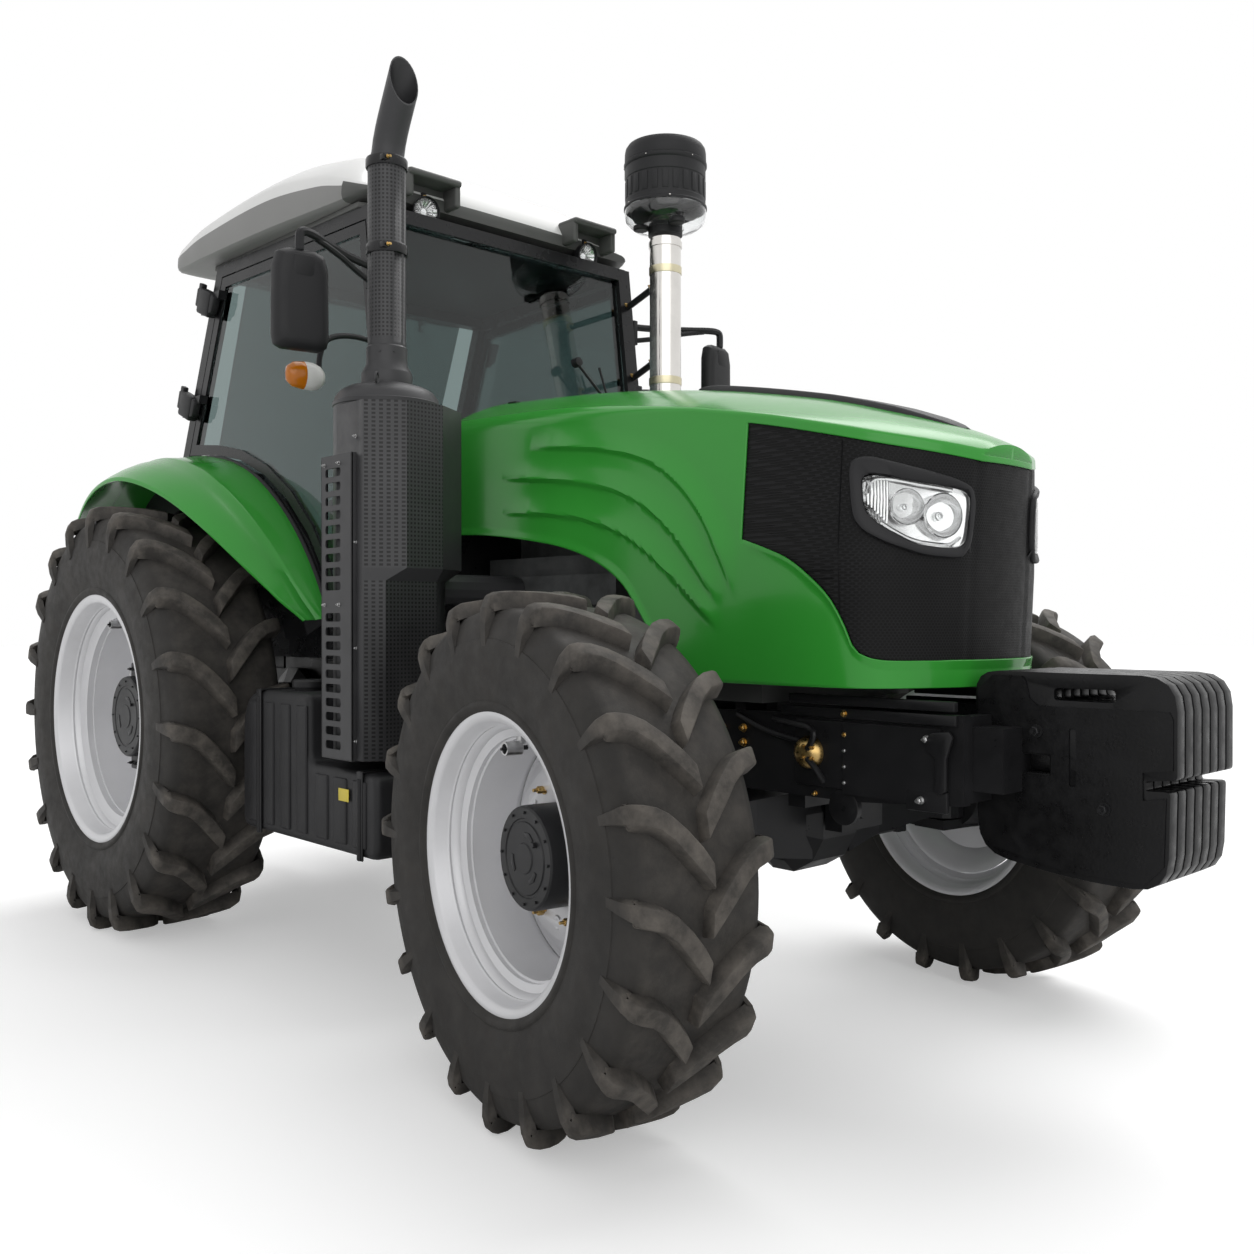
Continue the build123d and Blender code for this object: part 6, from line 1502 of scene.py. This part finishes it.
# ---------------------------------------------------------------- front weights
WEIGHT_REAR, WEIGHT_FRONT, WEIGHT_LOW, WEIGHT_TOP = 3450.0, 3960.0, 650.0, 1148.0
WEIGHT_SLAB, WEIGHT_PITCH, WEIGHT_COUNT = 40.0, 48.0, 7


def weight_rect(u0, u1, v0, v1, turn=0.30):
    """A rounded window; u runs back to front and v down, both as shares of the slab."""
    long, tall = WEIGHT_FRONT - WEIGHT_REAR, WEIGHT_TOP - WEIGHT_LOW
    x0, x1 = WEIGHT_REAR + u0 * long, WEIGHT_REAR + u1 * long
    z0, z1 = WEIGHT_TOP - v1 * tall, WEIGHT_TOP - v0 * tall
    r = turn * min(x1 - x0, z1 - z0)
    places = []
    for cx, cz, start in ((x1 - r, z1 - r, 0), (x0 + r, z1 - r, 90), (x0 + r, z0 + r, 180), (x1 - r, z0 + r, 270)):
        places += [(cx + r * math.cos(math.radians(start + 22.5 * k)), cz + r * math.sin(math.radians(start
            + 22.5 * k))) for k in range(5)]
    return places


def weight_sheet(bm, outline, holes, y, thick):
    """One cast slab: its outline with windows, bridged to the holes and drawn out sideways."""
    fresh = []
    for loop in [outline] + holes:
        row = [bm.verts.new(at(x, y, z)) for x, z in loop]
        fresh += [bm.edges.new(pair) for pair in zip(row, row[1:] + row[:1])]
    made = bmesh.ops.triangle_fill(bm, edges=fresh, use_beauty=True, use_dissolve=True)["geom"]
    faces = faces_in(made)
    grown = bmesh.ops.extrude_face_region(bm, geom=faces)["geom"]
    bmesh.ops.translate(bm, verts=verts_in(grown), vec=(0, thick / 1000, 0))


def make_weights():
    bm = bmesh.new()
    long, tall = WEIGHT_FRONT - WEIGHT_REAR, WEIGHT_TOP - WEIGHT_LOW

    def spot(u, v):
        return WEIGHT_REAR + u * long, WEIGHT_TOP - v * tall

    # share back to front, share down, and how far the corner is rounded, as a share of the length
    corners = ((0.0, 0.0, 0.12), (1.0, 0.0, 0.16), (1.0, 0.475, 0.02), (0.86, 0.49, 0.01), (0.86, 0.535, 0.01),
        (0.97, 0.53, 0.02), (0.96, 1.0, 0.16), (0.50, 1.0, 0.20), (0.02, 0.93, 0.16))
    outline = rounded([spot(u, v) for u, v, _ in corners], [cut * long for _, _, cut in corners], 4)
    # the handle's slot, the two windows, and the groove between them
    holes = [weight_rect(0.42, 0.72, 0.075, 0.135, 0.30), weight_rect(0.24, 0.40, 0.41, 0.50, 0.12), weight_rect(0.70,
        0.83, 0.45, 0.565, 0.12)]
    for k in range(WEIGHT_COUNT):
        y = (k - (WEIGHT_COUNT - 1) / 2) * WEIGHT_PITCH - WEIGHT_SLAB / 2
        weight_sheet(bm, outline, holes, y, WEIGHT_SLAB)
    soften(bm, [e for e in bm.edges if len(e.link_faces) == 2 and e.calc_face_angle(0.0) > math.radians(60)
        and abs(e.verts[0].co.y - e.verts[1].co.y) < 1e-6], 0.0055, 2)
    # raised pads on the two outer faces, above and below a stepped line
    half = (WEIGHT_COUNT - 1) / 2 * WEIGHT_PITCH + WEIGHT_SLAB / 2
    for s in (-1, 1):
        pad = [spot(u, v) for u, v in ((0.02, 0.10), (0.10, 0.02), (0.26, 0.02), (0.28, 0.05), (0.30, 0.13),
            (0.34, 0.165), (0.97, 0.165), (0.985, 0.20), (0.985, 0.43), (0.85, 0.45), (0.85, 0.58), (0.955, 0.56),
            (0.945, 0.88), (0.86, 0.97), (0.46, 0.965), (0.09, 0.89), (0.03, 0.82))]
        weight_sheet(bm, pad, [weight_rect(0.23, 0.41, 0.40, 0.51, 0.10), weight_rect(0.50, 0.535, 0.27, 0.55, 0.3)],
            min(s * half, s * (half + 5)), 5)
    # clamping rods with nuts and washers
    for x, z in ((3622, 1003), (3793, 829)):
        run(bm, [at(x, -half - 16, z), at(x, half + 16, z)], 0.010, smooth=False, sides=12, coat=1)
        for s in (-1, 1):
            bolt(bm, at(x, s * (half + 5), z), (0, s, 0), 0.021, 0.018, coat=1)
    # the carrier's hooks between the slabs
    for k in range(WEIGHT_COUNT - 1):
        y = (k - (WEIGHT_COUNT - 2) / 2) * WEIGHT_PITCH
        slab(bm, at(3480, y - 3, 900), at(3640, y + 3, 1110), 0.002)
    piece("weight_pack", bm, "chassis", ["cast_iron", "frame_black"], sharp=30.0, replaces=("front_weights",))


# ---------------------------------------------------------------- tank, battery box and steps
def make_tank():
    bm = bmesh.new()
    outline = ((1880, 530), (1880, 800), (1450, 800), (1450, 1030), (1060, 1030), (982, 996), (950, 920), (950, 530))
    loops = rounded(outline, [44.0] * len(outline), 5)
    plate(bm, [at(p.x, -980, p.y) for p in loops], Vector((0, 0.5, 0)), 0.022, segments=4, over=50.0)
    # pressed ribs, the straps and the blank plate
    for x0 in (1010, 1130, 1250, 1370):
        slab(bm, at(x0, -986, 560), at(x0 + 70, -974, 990 if x0 < 1400 else 760), 0.006, segments=3)
    for x0 in (1500, 1620, 1740):
        slab(bm, at(x0, -986, 560), at(x0 + 80, -974, 772), 0.006, segments=3)
    for x in (1096, 1790):
        top = 1030 if x < 1450 else 800
        run(bm, [at(x, -984, 524), at(x, -984, 700), at(x, -984, top - 20)], 0.010, smooth=False, sides=12, coat=1)
        slab(bm, at(x - 18, -988, 523), at(x + 18, -984, top + 2), 0.0015, coat=1)
        slab(bm, at(x - 18, -986, top), at(x + 18, -482, top + 4), 0.0015, coat=1)
    plate(bm, [at(x, -987, z) for x, z in ((1660, 700), (1724, 700), (1724, 740), (1660, 740))], Vector((0, -0.0015,
        0)), 0.0006, coat=2)
    # filler neck and cap
    turn_profile(bm, [(0, 0), (0, 0.050), (0.012, 0.052), (0.014, 0.060), (0.034, 0.060), (0.040, 0.054), (0.041, 0)],
        at(1230, -860, 1028), (0, 0, 1), 32)
    piece("fuel_tank_shell", bm, "chassis", ["soft_black", "frame_black", "plate_yellow"], sharp=32.0,
        replaces=("fuel_tank",))
    bm = bmesh.new()
    slab(bm, at(1424, 480, 600), at(1850, 900, 990), 0.018, segments=3)
    slab(bm, at(1418, 474, 930), at(1856, 906, 996), 0.010, segments=3)
    for x in (1500, 1600, 1700):
        slab(bm, at(x, 892, 630), at(x + 60, 905, 900), 0.005)
    for x in (1470, 1800):
        slab(bm, at(x - 12, 900, 900), at(x + 12, 908, 960), 0.002, coat=1)
        bolt(bm, at(x, 907, 946), (0, 1, 0), 0.008, 0.006, coat=1, stud=False)
    piece("battery_box_shell", bm, "chassis", ["soft_black", "zinc"], sharp=32.0, replaces=("battery_box",))


# ---------------------------------------------------------------- inside the cab
def inflate(made, rise, cap):
    """Push a cushion out with a short cloth pass and keep its movement within a limit."""
    remesh = made.modifiers.new("even", "REMESH")
    remesh.mode = "VOXEL"
    remesh.voxel_size = 0.006
    remesh.use_smooth_shade = True
    graph = bpy.context.evaluated_depsgraph_get()
    mesh = bpy.data.meshes.new_from_object(made.evaluated_get(graph))
    made.modifiers.remove(remesh)
    old = made.data
    for m in old.materials:
        if m.name not in mesh.materials:
            mesh.materials.append(m)
    made.data = mesh
    rest = [v.co.copy() for v in mesh.vertices]
    cloth = made.modifiers.new("fill", "CLOTH")
    cloth.settings.use_pressure = True
    cloth.settings.uniform_pressure_force = rise
    cloth.settings.effector_weights.gravity = 0.0
    cloth.point_cache.frame_start, cloth.point_cache.frame_end = 1, 20
    for f in range(1, 21):
        bpy.context.scene.frame_set(f)
    graph = bpy.context.evaluated_depsgraph_get()
    filled = bpy.data.meshes.new_from_object(made.evaluated_get(graph))
    made.modifiers.remove(cloth)
    bpy.context.scene.frame_set(1)
    for v, p in zip(filled.vertices, rest):
        d = v.co - p
        if d.length > cap:
            v.co = p + d.normalized() * cap
    made.data = filled
    finer = made.modifiers.new("smooth", "SUBSURF")
    finer.levels = finer.render_levels = 1


def make_seat():
    base = bmesh.new()
    slab(base, at(318, -262, 1526), at(800, 262, 1560), 0.016, segments=3)
    rows = []
    for z, x0, x1, half in ((1560, 252, 300, 236), (1800, 240, 286, 232), (2040, 232, 276, 206), (2160, 236, 272, 172)):
        rows.append([at(x, y, z) for x, y in ((x1, -half + 10), (x0 + 14, -half), (x0, -half + 24), (x0, half - 24),
            (x0 + 14, half), (x1, half - 10))])
    shell(base, rows, 30.0, 0.006)
    slab(base, at(420, -150, 1440), at(700, 150, 1530), 0.010)
    for s in (-1, 1):
        rows = []
        for x, z0, z1 in ((330, 1760, 1800), (400, 1752, 1812), (520, 1752, 1812), (600, 1762, 1806), (612, 1774,
                1796)):
            rows.append([at(x, s * y, z) for y, z in ((262, z0), (300, z0), (306, z0 + 8), (306, z1 - 8), (300, z1),
                (262, z1), (256, z1 - 8), (256, z0 + 8))])
        loft(base, rows)
        slab(base, at(300, s * 256 - 12, 1700), at(360, s * 256 + 12, 1790), 0.006)
    piece("seat_shell", base, "chassis", ["seat_shell"], sharp=34.0)
    for name, low, high, turn in (("seat_cushion", (350, -236, 1556), (780, 236, 1618), 0.026), ("seat_back",
            (286, -200, 1650), (376, 200, 2150), 0.034)):
        bm = bmesh.new()
        slab(bm, at(*low), at(*high), turn, segments=4)
        if name == "seat_back":
            for v in bm.verts:
                z = v.co.z * 1000
                v.co.y *= 1.0 - 0.26 * max(0.0, (z - 1900) / 250)
                v.co.x += 0.018 * math.sin((z - 1650) / 500 * math.pi)
        made = piece(name, bm, "chassis", ["seat_cloth"], sharp=50.0, replaces=("seat",) if name == "seat_cushion"
            else ())
        inflate(made, 4.0, 0.014)


def make_controls():
    bm = bmesh.new()
    # the console ahead of the driver, with a hooded instrument binnacle
    rows = []
    for z, x0, x1, half in ((1200, 1180, 1300, 150), (1500, 1160, 1300, 160), (1640, 1120, 1300, 200), (1690, 1100,
            1290, 226), (1760, 1120, 1280, 226), (1800, 1160, 1262, 200)):
        rows.append([at(x, y, z) for x, y in ((x0 + 20, -half), (x0, -half + 22), (x0, half - 22), (x0 + 20, half),
            (x1, half), (x1, -half))])
    shell(bm, rows, 25.0, 0.010, 3)
    piece("dash_shell", bm, "chassis", ["panel_grey"], sharp=32.0, replaces=("dash",))
    bm = bmesh.new()
    axis = Vector((-120, 0, 205)).normalized()
    centre = at(1060, 0, 1905)
    side = Vector((0, 1, 0))
    up = axis.cross(side).normalized()
    turn_profile(bm, [(0.015 * math.sin(a), 0.180 + 0.015 * math.cos(a)) for a in turns(12)], centre, axis, 56,
        closed=True)
    for a in (0.0, math.pi, -math.pi / 2):
        d = side * math.cos(a) + up * math.sin(a)
        run(bm, [centre - axis * 0.012 + d * 0.03, centre - axis * 0.010 + d * 0.11, centre + d * 0.172], 0.010,
            sides=12)
    turn_profile(bm, [(-0.030, 0), (-0.030, 0.030), (-0.022, 0.044), (-0.002, 0.046), (0.006, 0.040), (0.009, 0.020),
        (0.009, 0)], centre, axis, 36)
    knob = centre + side * 0.172
    turn_profile(bm, [(0.010, 0), (0.010, 0.008), (0.030, 0.008), (0.038, 0.017), (0.052, 0.020), (0.064, 0.016),
        (0.070, 0)], knob, axis, 20)
    piece("steering_wheel_rim", bm, "steering_wheel_body", ["soft_black"], sharp=40.0, replaces=("steering_wheel",))


# ---------------------------------------------------------------- small parts on the frame, front and rear
def make_rear_lamps():
    bm = bmesh.new()
    low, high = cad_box("rear_lamps")
    for s in (-1, 1):
        y0, y1 = sorted((s * high.y, s * (high.y - 0.150)))
        slab(bm, (low.x + 0.004, y0, low.z), (high.x, y1, high.z), 0.008, coat=1, segments=3)
        third = (high.z - low.z) / 3
        for k, coat in ((0, 0), (1, 2), (2, 3)):
            slab(bm, (low.x, y0 + 0.010, low.z + third * k + 0.006), (low.x + 0.012, y1 - 0.010, low.z + third * (k + 1)
                - 0.004), 0.004, coat=coat)
    piece("rear_lamp_units", bm, "chassis", ["red_lens", "soft_black", "orange_lens", "clear_lens"], sharp=35.0,
        replaces=("rear_lamps",))


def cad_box(name):
    """Corners of a construction piece."""
    made = node[name]
    places = [made.matrix_world @ v.co for v in made.data.vertices]
    return (Vector((min(p[i] for p in places) for i in range(3))), Vector((max(p[i] for p in places)
        for i in range(3))))


def make_front_details():
    bm = bmesh.new()
    for s in (-1, 1):
        def on(x, z, out=0.0):
            return at(x, s * (300.5 + out), z)

        def pad(x0, x1, z0, z1, out, turn):
            slab(bm, at(x0, s * 299.0, z0), at(x1, s * (300.5 + out), z1), turn)

        # two stepped ledges under the hood, a bolted plate and its row of bolts
        pad(2960, 3484, 1048, 1074, 18, 0.004)
        pad(2930, 3484, 1012, 1040, 12, 0.004)
        pad(2975, 3165, 822, 1004, 7, 0.003)
        for k, z in enumerate((1026, 970, 927, 884, 841)):
            bolt(bm, on(3147, z, 12 if k == 0 else 7), (0, s, 0), 0.0125 if k < 2 else 0.009, 0.009, coat=1 if k < 2
                else 2)
        for x, z in ((2698, 961), (2780, 964), (2700, 919), (2780, 922)):
            bolt(bm, on(x, z), (0, s, 0), 0.017, 0.013, coat=1)
        # battery isolator with four studs and its two conduits
        turn_profile(bm, [(0, 0), (0, 0.046), (0.010, 0.045), (0.024, 0.034), (0.032, 0.018), (0.034, 0)], on(3029, 914,
            7), (0.3, s, 0.1), 28, coat=1)
        for dx, dz in ((-2, 18), (24, 16), (-2, -14), (24, -16)):
            bolt(bm, on(3029 + dx, 914 + dz, 30), (0.3, s, 0.1), 0.009, 0.014, coat=1)
        run(bm, [on(2760, 1004, 4), on(2850, 975, 18), on(2930, 955, 22), on(2996, 944, 14)], 0.009)
        run(bm, [on(2900, 1000, 8), on(3000, 992, 28), on(3062, 985, 38), on(3068, 950, 42), on(3040, 926, 34)], 0.009)
        run(bm, [on(3040, 900, 34), on(3062, 880, 34), on(3072, 855, 20), on(3074, 838, 6)], 0.009)
        # the carrier's side brackets with their hooked arms and pins
        pad(3300, 3452, 868, 990, 10, 0.004)
        plate(bm, [on(x, z, 10) for x, z in ((3420, 994), (3470, 1000), (3480, 984), (3462, 930), (3462, 850),
            (3440, 838), (3426, 850), (3430, 930), (3398, 952), (3398, 972))], Vector((0, s * 0.012, 0)), 0.004)
        bolt(bm, on(3402, 976, 10), (0, s, 0), 0.014, 0.016, coat=2)
        pad(3340, 3460, 792, 846, 12, 0.004)
        bolt(bm, on(3385, 820, 12), (0, s, 0), 0.014, 0.016, coat=2)
        # a round cover below the rail
        turn_profile(bm, [(-0.010, 0), (-0.010, 0.048), (0.008, 0.048), (0.010, 0.045), (0.010, 0)], on(3135, 772, -8),
            (0, s, 0), 32)
        bolt(bm, on(3040, 800, -2), (0, s, 0), 0.010, 0.010, coat=1)
    piece("front_fittings", bm, "chassis", ["frame_black", "brass", "zinc"], sharp=35.0)


# ---------------------------------------------------------------- stage and carried-over finishes
def make_stage(s):
    bpy.context.scene.view_settings.view_transform = "Standard"
    world = bpy.context.scene.world or bpy.data.worlds.new("room")
    bpy.context.scene.world = world
    world.use_nodes = True
    tree = world.node_tree
    tree.nodes.clear()
    path = tree.nodes.new("ShaderNodeLightPath").outputs
    seen = calc(tree, "MAXIMUM", calc(tree, "MAXIMUM", path["Is Camera Ray"], path["Is Glossy Ray"]),
        path["Is Transmission Ray"])
    level = spread(tree, seen.node, "Value", 0.0, 1.0, s.sky, 1.0)
    light = add_node(tree, "ShaderNodeBackground", {"Color": (1.0, 1.0, 1.0, 1.0)})
    link(tree, level, "Result", light, "Strength")
    out = tree.nodes.new("ShaderNodeOutputWorld")
    link(tree, light, "Background", out, "Surface")

    bm = bmesh.new()
    bmesh.ops.create_grid(bm, x_segments=2, y_segments=2, size=60.0)
    mesh = bpy.data.meshes.new("floor")
    bm.to_mesh(mesh)
    bm.free()
    floor = bpy.data.objects.new("floor", mesh)
    bpy.context.scene.collection.objects.link(floor)
    made = bpy.data.materials.new("pale_floor")
    made.use_nodes = True
    tree = made.node_tree
    shader = tree.nodes["Principled BSDF"]
    for socket, value in (("Base Color", (0.80, 0.80, 0.80, 1.0)), ("Roughness", 1.0), ("Specular IOR Level", 0.0)):
        shader.inputs[socket].default_value = value
    path = tree.nodes.new("ShaderNodeLightPath").outputs
    seen = calc(tree, "MAXIMUM", path["Is Camera Ray"], path["Is Transmission Ray"])
    lift = spread(tree, seen.node, "Value", 0.0, 1.0, 0.0, 0.36)
    glow = tree.nodes.new("ShaderNodeEmission")
    link(tree, lift, "Result", glow, "Strength")
    both = tree.nodes.new("ShaderNodeAddShader")
    tree.links.new(shader.outputs[0], both.inputs[0])
    tree.links.new(glow.outputs[0], both.inputs[1])
    out = next(n for n in tree.nodes if n.type == "OUTPUT_MATERIAL")
    tree.links.new(both.outputs[0], out.inputs["Surface"])
    mesh.materials.append(made)

    for name, turn, tilt, power, wide in (("overhead", 100.0, 62.0, s.sun, 55.0), ("front_fill", -38.0, 22.0,
            s.sun * 0.42, 60.0)):
        lamp = bpy.data.lights.new(name, "SUN")
        lamp.energy = power
        lamp.angle = math.radians(wide)
        holder = bpy.data.objects.new(name, lamp)
        a, b = math.radians(turn), math.radians(tilt)
        toward = Vector((math.cos(a) * math.cos(b), math.sin(a) * math.cos(b), math.sin(b)))
        holder.rotation_euler = toward.to_track_quat("Z", "Y").to_euler()
        bpy.context.scene.collection.objects.link(holder)

    view = bpy.data.cameras.new("camera")
    view.lens = s.lens
    view.sensor_width = 36.0
    view.clip_end = 200.0
    camera = bpy.data.objects.new("camera", view)
    camera.location = s.camera_place
    a, b = s.camera_turn, s.camera_tilt
    ahead = Vector((-math.sin(a) * math.cos(b), math.cos(a) * math.cos(b), math.sin(b)))
    camera.rotation_euler = ahead.to_track_quat("-Z", "Y").to_euler()
    bpy.context.scene.collection.objects.link(camera)
    bpy.context.scene.camera = camera


CARRIED = {"frame_black": ("front_axle", "knuckle_right", "knuckle_left", "tie_rod", "front_frame", "lower_links",
    "lift_arms", "lift_rods", "top_link", "hitch_bracket", "drawbar", "rear_axle_housing"), "cab_black": ("cab_frame",
    "door_right", "door_left", "cab_floor"), "cab_glass": ("windshield", "rear_window", "door_glass_right",
    "door_glass_left"), "engine_grey": ("engine",), "radiator_core": ("radiator",), "bright_steel": ("pto_shaft",),
    "panel_grey": ("seat_base",),}


def finish_carried():
    """Better finishes for the construction pieces that stay."""
    for name, nodes in CARRIED.items():
        for n in nodes:
            for slot in node[n].material_slots:
                slot.material = coats[name]


# ---------------------------------------------------------------- operators
class TRACTOR_OT_stage(Operator):
    """Floor, room light, lamps and the camera"""

    bl_idname = "tractor.stage"
    bl_label = "Stage"

    def execute(self, context):
        make_stage(context.scene.tractor_stage)
        return {"FINISHED"}


class TRACTOR_OT_finishes(Operator):
    """Make every finish and put it on the construction pieces that stay"""

    bl_idname = "tractor.finishes"
    bl_label = "Finishes"

    def execute(self, context):
        make_finishes(context.scene.tractor_colours)
        finish_carried()
        return {"FINISHED"}


class TRACTOR_OT_tyres(Operator):
    """Four tyres with two rows of tread bars"""

    bl_idname = "tractor.tyres"
    bl_label = "Tyres"

    def execute(self, context):
        make_tyres()
        return {"FINISHED"}


class TRACTOR_OT_rims(Operator):
    """Four rims with their discs, nuts and valves"""

    bl_idname = "tractor.rims"
    bl_label = "Rims"

    def execute(self, context):
        make_rims()
        return {"FINISHED"}


class TRACTOR_OT_hubs(Operator):
    """Four hubs with their caps"""

    bl_idname = "tractor.hubs"
    bl_label = "Hubs"

    def execute(self, context):
        make_hubs()
        return {"FINISHED"}


class TRACTOR_OT_hood(Operator):
    """Hood panels with their creases, and the centre panel"""

    bl_idname = "tractor.hood"
    bl_label = "Hood"

    def execute(self, context):
        make_hood(context.scene.tractor_hood)
        return {"FINISHED"}


class TRACTOR_OT_grille(Operator):
    """Mesh screen round the nose"""

    bl_idname = "tractor.grille"
    bl_label = "Grille"

    def execute(self, context):
        make_grille(context.scene.tractor_hood)
        return {"FINISHED"}


class TRACTOR_OT_headlamps(Operator):
    """Headlamp bezels, lenses and reflectors"""

    bl_idname = "tractor.headlamps"
    bl_label = "Headlamps"

    def execute(self, context):
        make_headlamps()
        return {"FINISHED"}


class TRACTOR_OT_fenders(Operator):
    """Two fenders with their seals"""

    bl_idname = "tractor.fenders"
    bl_label = "Fenders"

    def execute(self, context):
        make_fenders()
        return {"FINISHED"}


class TRACTOR_OT_roof(Operator):
    """Roof shell, visor, lamp pods and work lamps"""

    bl_idname = "tractor.roof"
    bl_label = "Roof"

    def execute(self, context):
        make_roof()
        return {"FINISHED"}


class TRACTOR_OT_cab_trim(Operator):
    """Hinge covers and the wiper"""

    bl_idname = "tractor.cab_trim"
    bl_label = "Cab trim"

    def execute(self, context):
        make_cab_trim()
        return {"FINISHED"}


class TRACTOR_OT_mirrors(Operator):
    """Mirrors and turn lamps with their arms"""

    bl_idname = "tractor.mirrors"
    bl_label = "Mirrors"

    def execute(self, context):
        make_mirrors()
        return {"FINISHED"}


class TRACTOR_OT_muffler(Operator):
    """Muffler, heat shield and slotted guard"""

    bl_idname = "tractor.muffler"
    bl_label = "Muffler"

    def execute(self, context):
        make_muffler()
        return {"FINISHED"}


class TRACTOR_OT_exhaust(Operator):
    """Exhaust pipe with its sleeve, clamps and tip"""

    bl_idname = "tractor.exhaust"
    bl_label = "Exhaust"

    def execute(self, context):
        make_exhaust()
        return {"FINISHED"}


class TRACTOR_OT_intake(Operator):
    """Intake tube, its stays and the pre-cleaner"""

    bl_idname = "tractor.intake"
    bl_label = "Intake"

    def execute(self, context):
        make_intake()
        return {"FINISHED"}


class TRACTOR_OT_weights(Operator):
    """Front weights with their rods"""

    bl_idname = "tractor.weights"
    bl_label = "Weights"

    def execute(self, context):
        make_weights()
        return {"FINISHED"}


class TRACTOR_OT_tank(Operator):
    """Fuel tank and battery box"""

    bl_idname = "tractor.tank"
    bl_label = "Tank"

    def execute(self, context):
        make_tank()
        return {"FINISHED"}


class TRACTOR_OT_seat(Operator):
    """Padded seat on its shell"""

    bl_idname = "tractor.seat"
    bl_label = "Seat"

    def execute(self, context):
        make_seat()
        return {"FINISHED"}


class TRACTOR_OT_controls(Operator):
    """Dash and steering wheel"""

    bl_idname = "tractor.controls"
    bl_label = "Controls"

    def execute(self, context):
        make_controls()
        return {"FINISHED"}


class TRACTOR_OT_rear_lamps(Operator):
    """Lamp units behind the fenders"""

    bl_idname = "tractor.rear_lamps"
    bl_label = "Rear lamps"

    def execute(self, context):
        make_rear_lamps()
        return {"FINISHED"}


class TRACTOR_OT_details(Operator):
    """Bolts and covers on the front frame"""

    bl_idname = "tractor.details"
    bl_label = "Front details"

    def execute(self, context):
        make_front_details()
        return {"FINISHED"}


class TRACTOR_PT_looks(Panel):
    """Sizes, colours and builders of the tractor"""

    bl_idname = "TRACTOR_PT_looks"
    bl_label = "Tractor"
    bl_space_type = "VIEW_3D"
    bl_region_type = "UI"
    bl_category = "Tractor"

    def draw(self, context):
        scene = context.scene
        for title, group in (("Colours", scene.tractor_colours), ("Wheels", scene.tractor_wheels),
                ("Hood", scene.tractor_hood), ("Stage", scene.tractor_stage)):
            frame_box = self.layout.box()
            frame_box.label(text=title)
            for name in group.bl_rna.properties.keys():
                if name not in ("rna_type", "name"):
                    frame_box.prop(group, name)
        for builder in BUILDERS:
            self.layout.operator(builder.bl_idname)


GROUPS = (("tractor_colours", TractorColours), ("tractor_wheels", TractorWheels), ("tractor_hood", TractorHood),
    ("tractor_stage", TractorStage))
BUILDERS = (TRACTOR_OT_stage, TRACTOR_OT_finishes, TRACTOR_OT_tyres, TRACTOR_OT_rims, TRACTOR_OT_hubs, TRACTOR_OT_hood,
    TRACTOR_OT_grille, TRACTOR_OT_headlamps, TRACTOR_OT_fenders, TRACTOR_OT_roof, TRACTOR_OT_cab_trim,
    TRACTOR_OT_mirrors, TRACTOR_OT_muffler, TRACTOR_OT_exhaust, TRACTOR_OT_intake, TRACTOR_OT_weights, TRACTOR_OT_tank,
    TRACTOR_OT_seat, TRACTOR_OT_controls, TRACTOR_OT_rear_lamps, TRACTOR_OT_details)


def register():
    for _, group in GROUPS:
        bpy.utils.register_class(group)
    for builder in BUILDERS:
        bpy.utils.register_class(builder)
    bpy.utils.register_class(TRACTOR_PT_looks)
    for name, group in GROUPS:
        setattr(bpy.types.Scene, name, PointerProperty(type=group))


def unregister():
    for name, _ in GROUPS:
        delattr(bpy.types.Scene, name)
    bpy.utils.unregister_class(TRACTOR_PT_looks)
    for builder in reversed(BUILDERS):
        bpy.utils.unregister_class(builder)
    for _, group in reversed(GROUPS):
        bpy.utils.unregister_class(group)


def main():
    register()
    for builder in BUILDERS:
        group, name = builder.bl_idname.split(".")
        getattr(getattr(bpy.ops, group), name)()


if __name__ == "__main__":
    main()
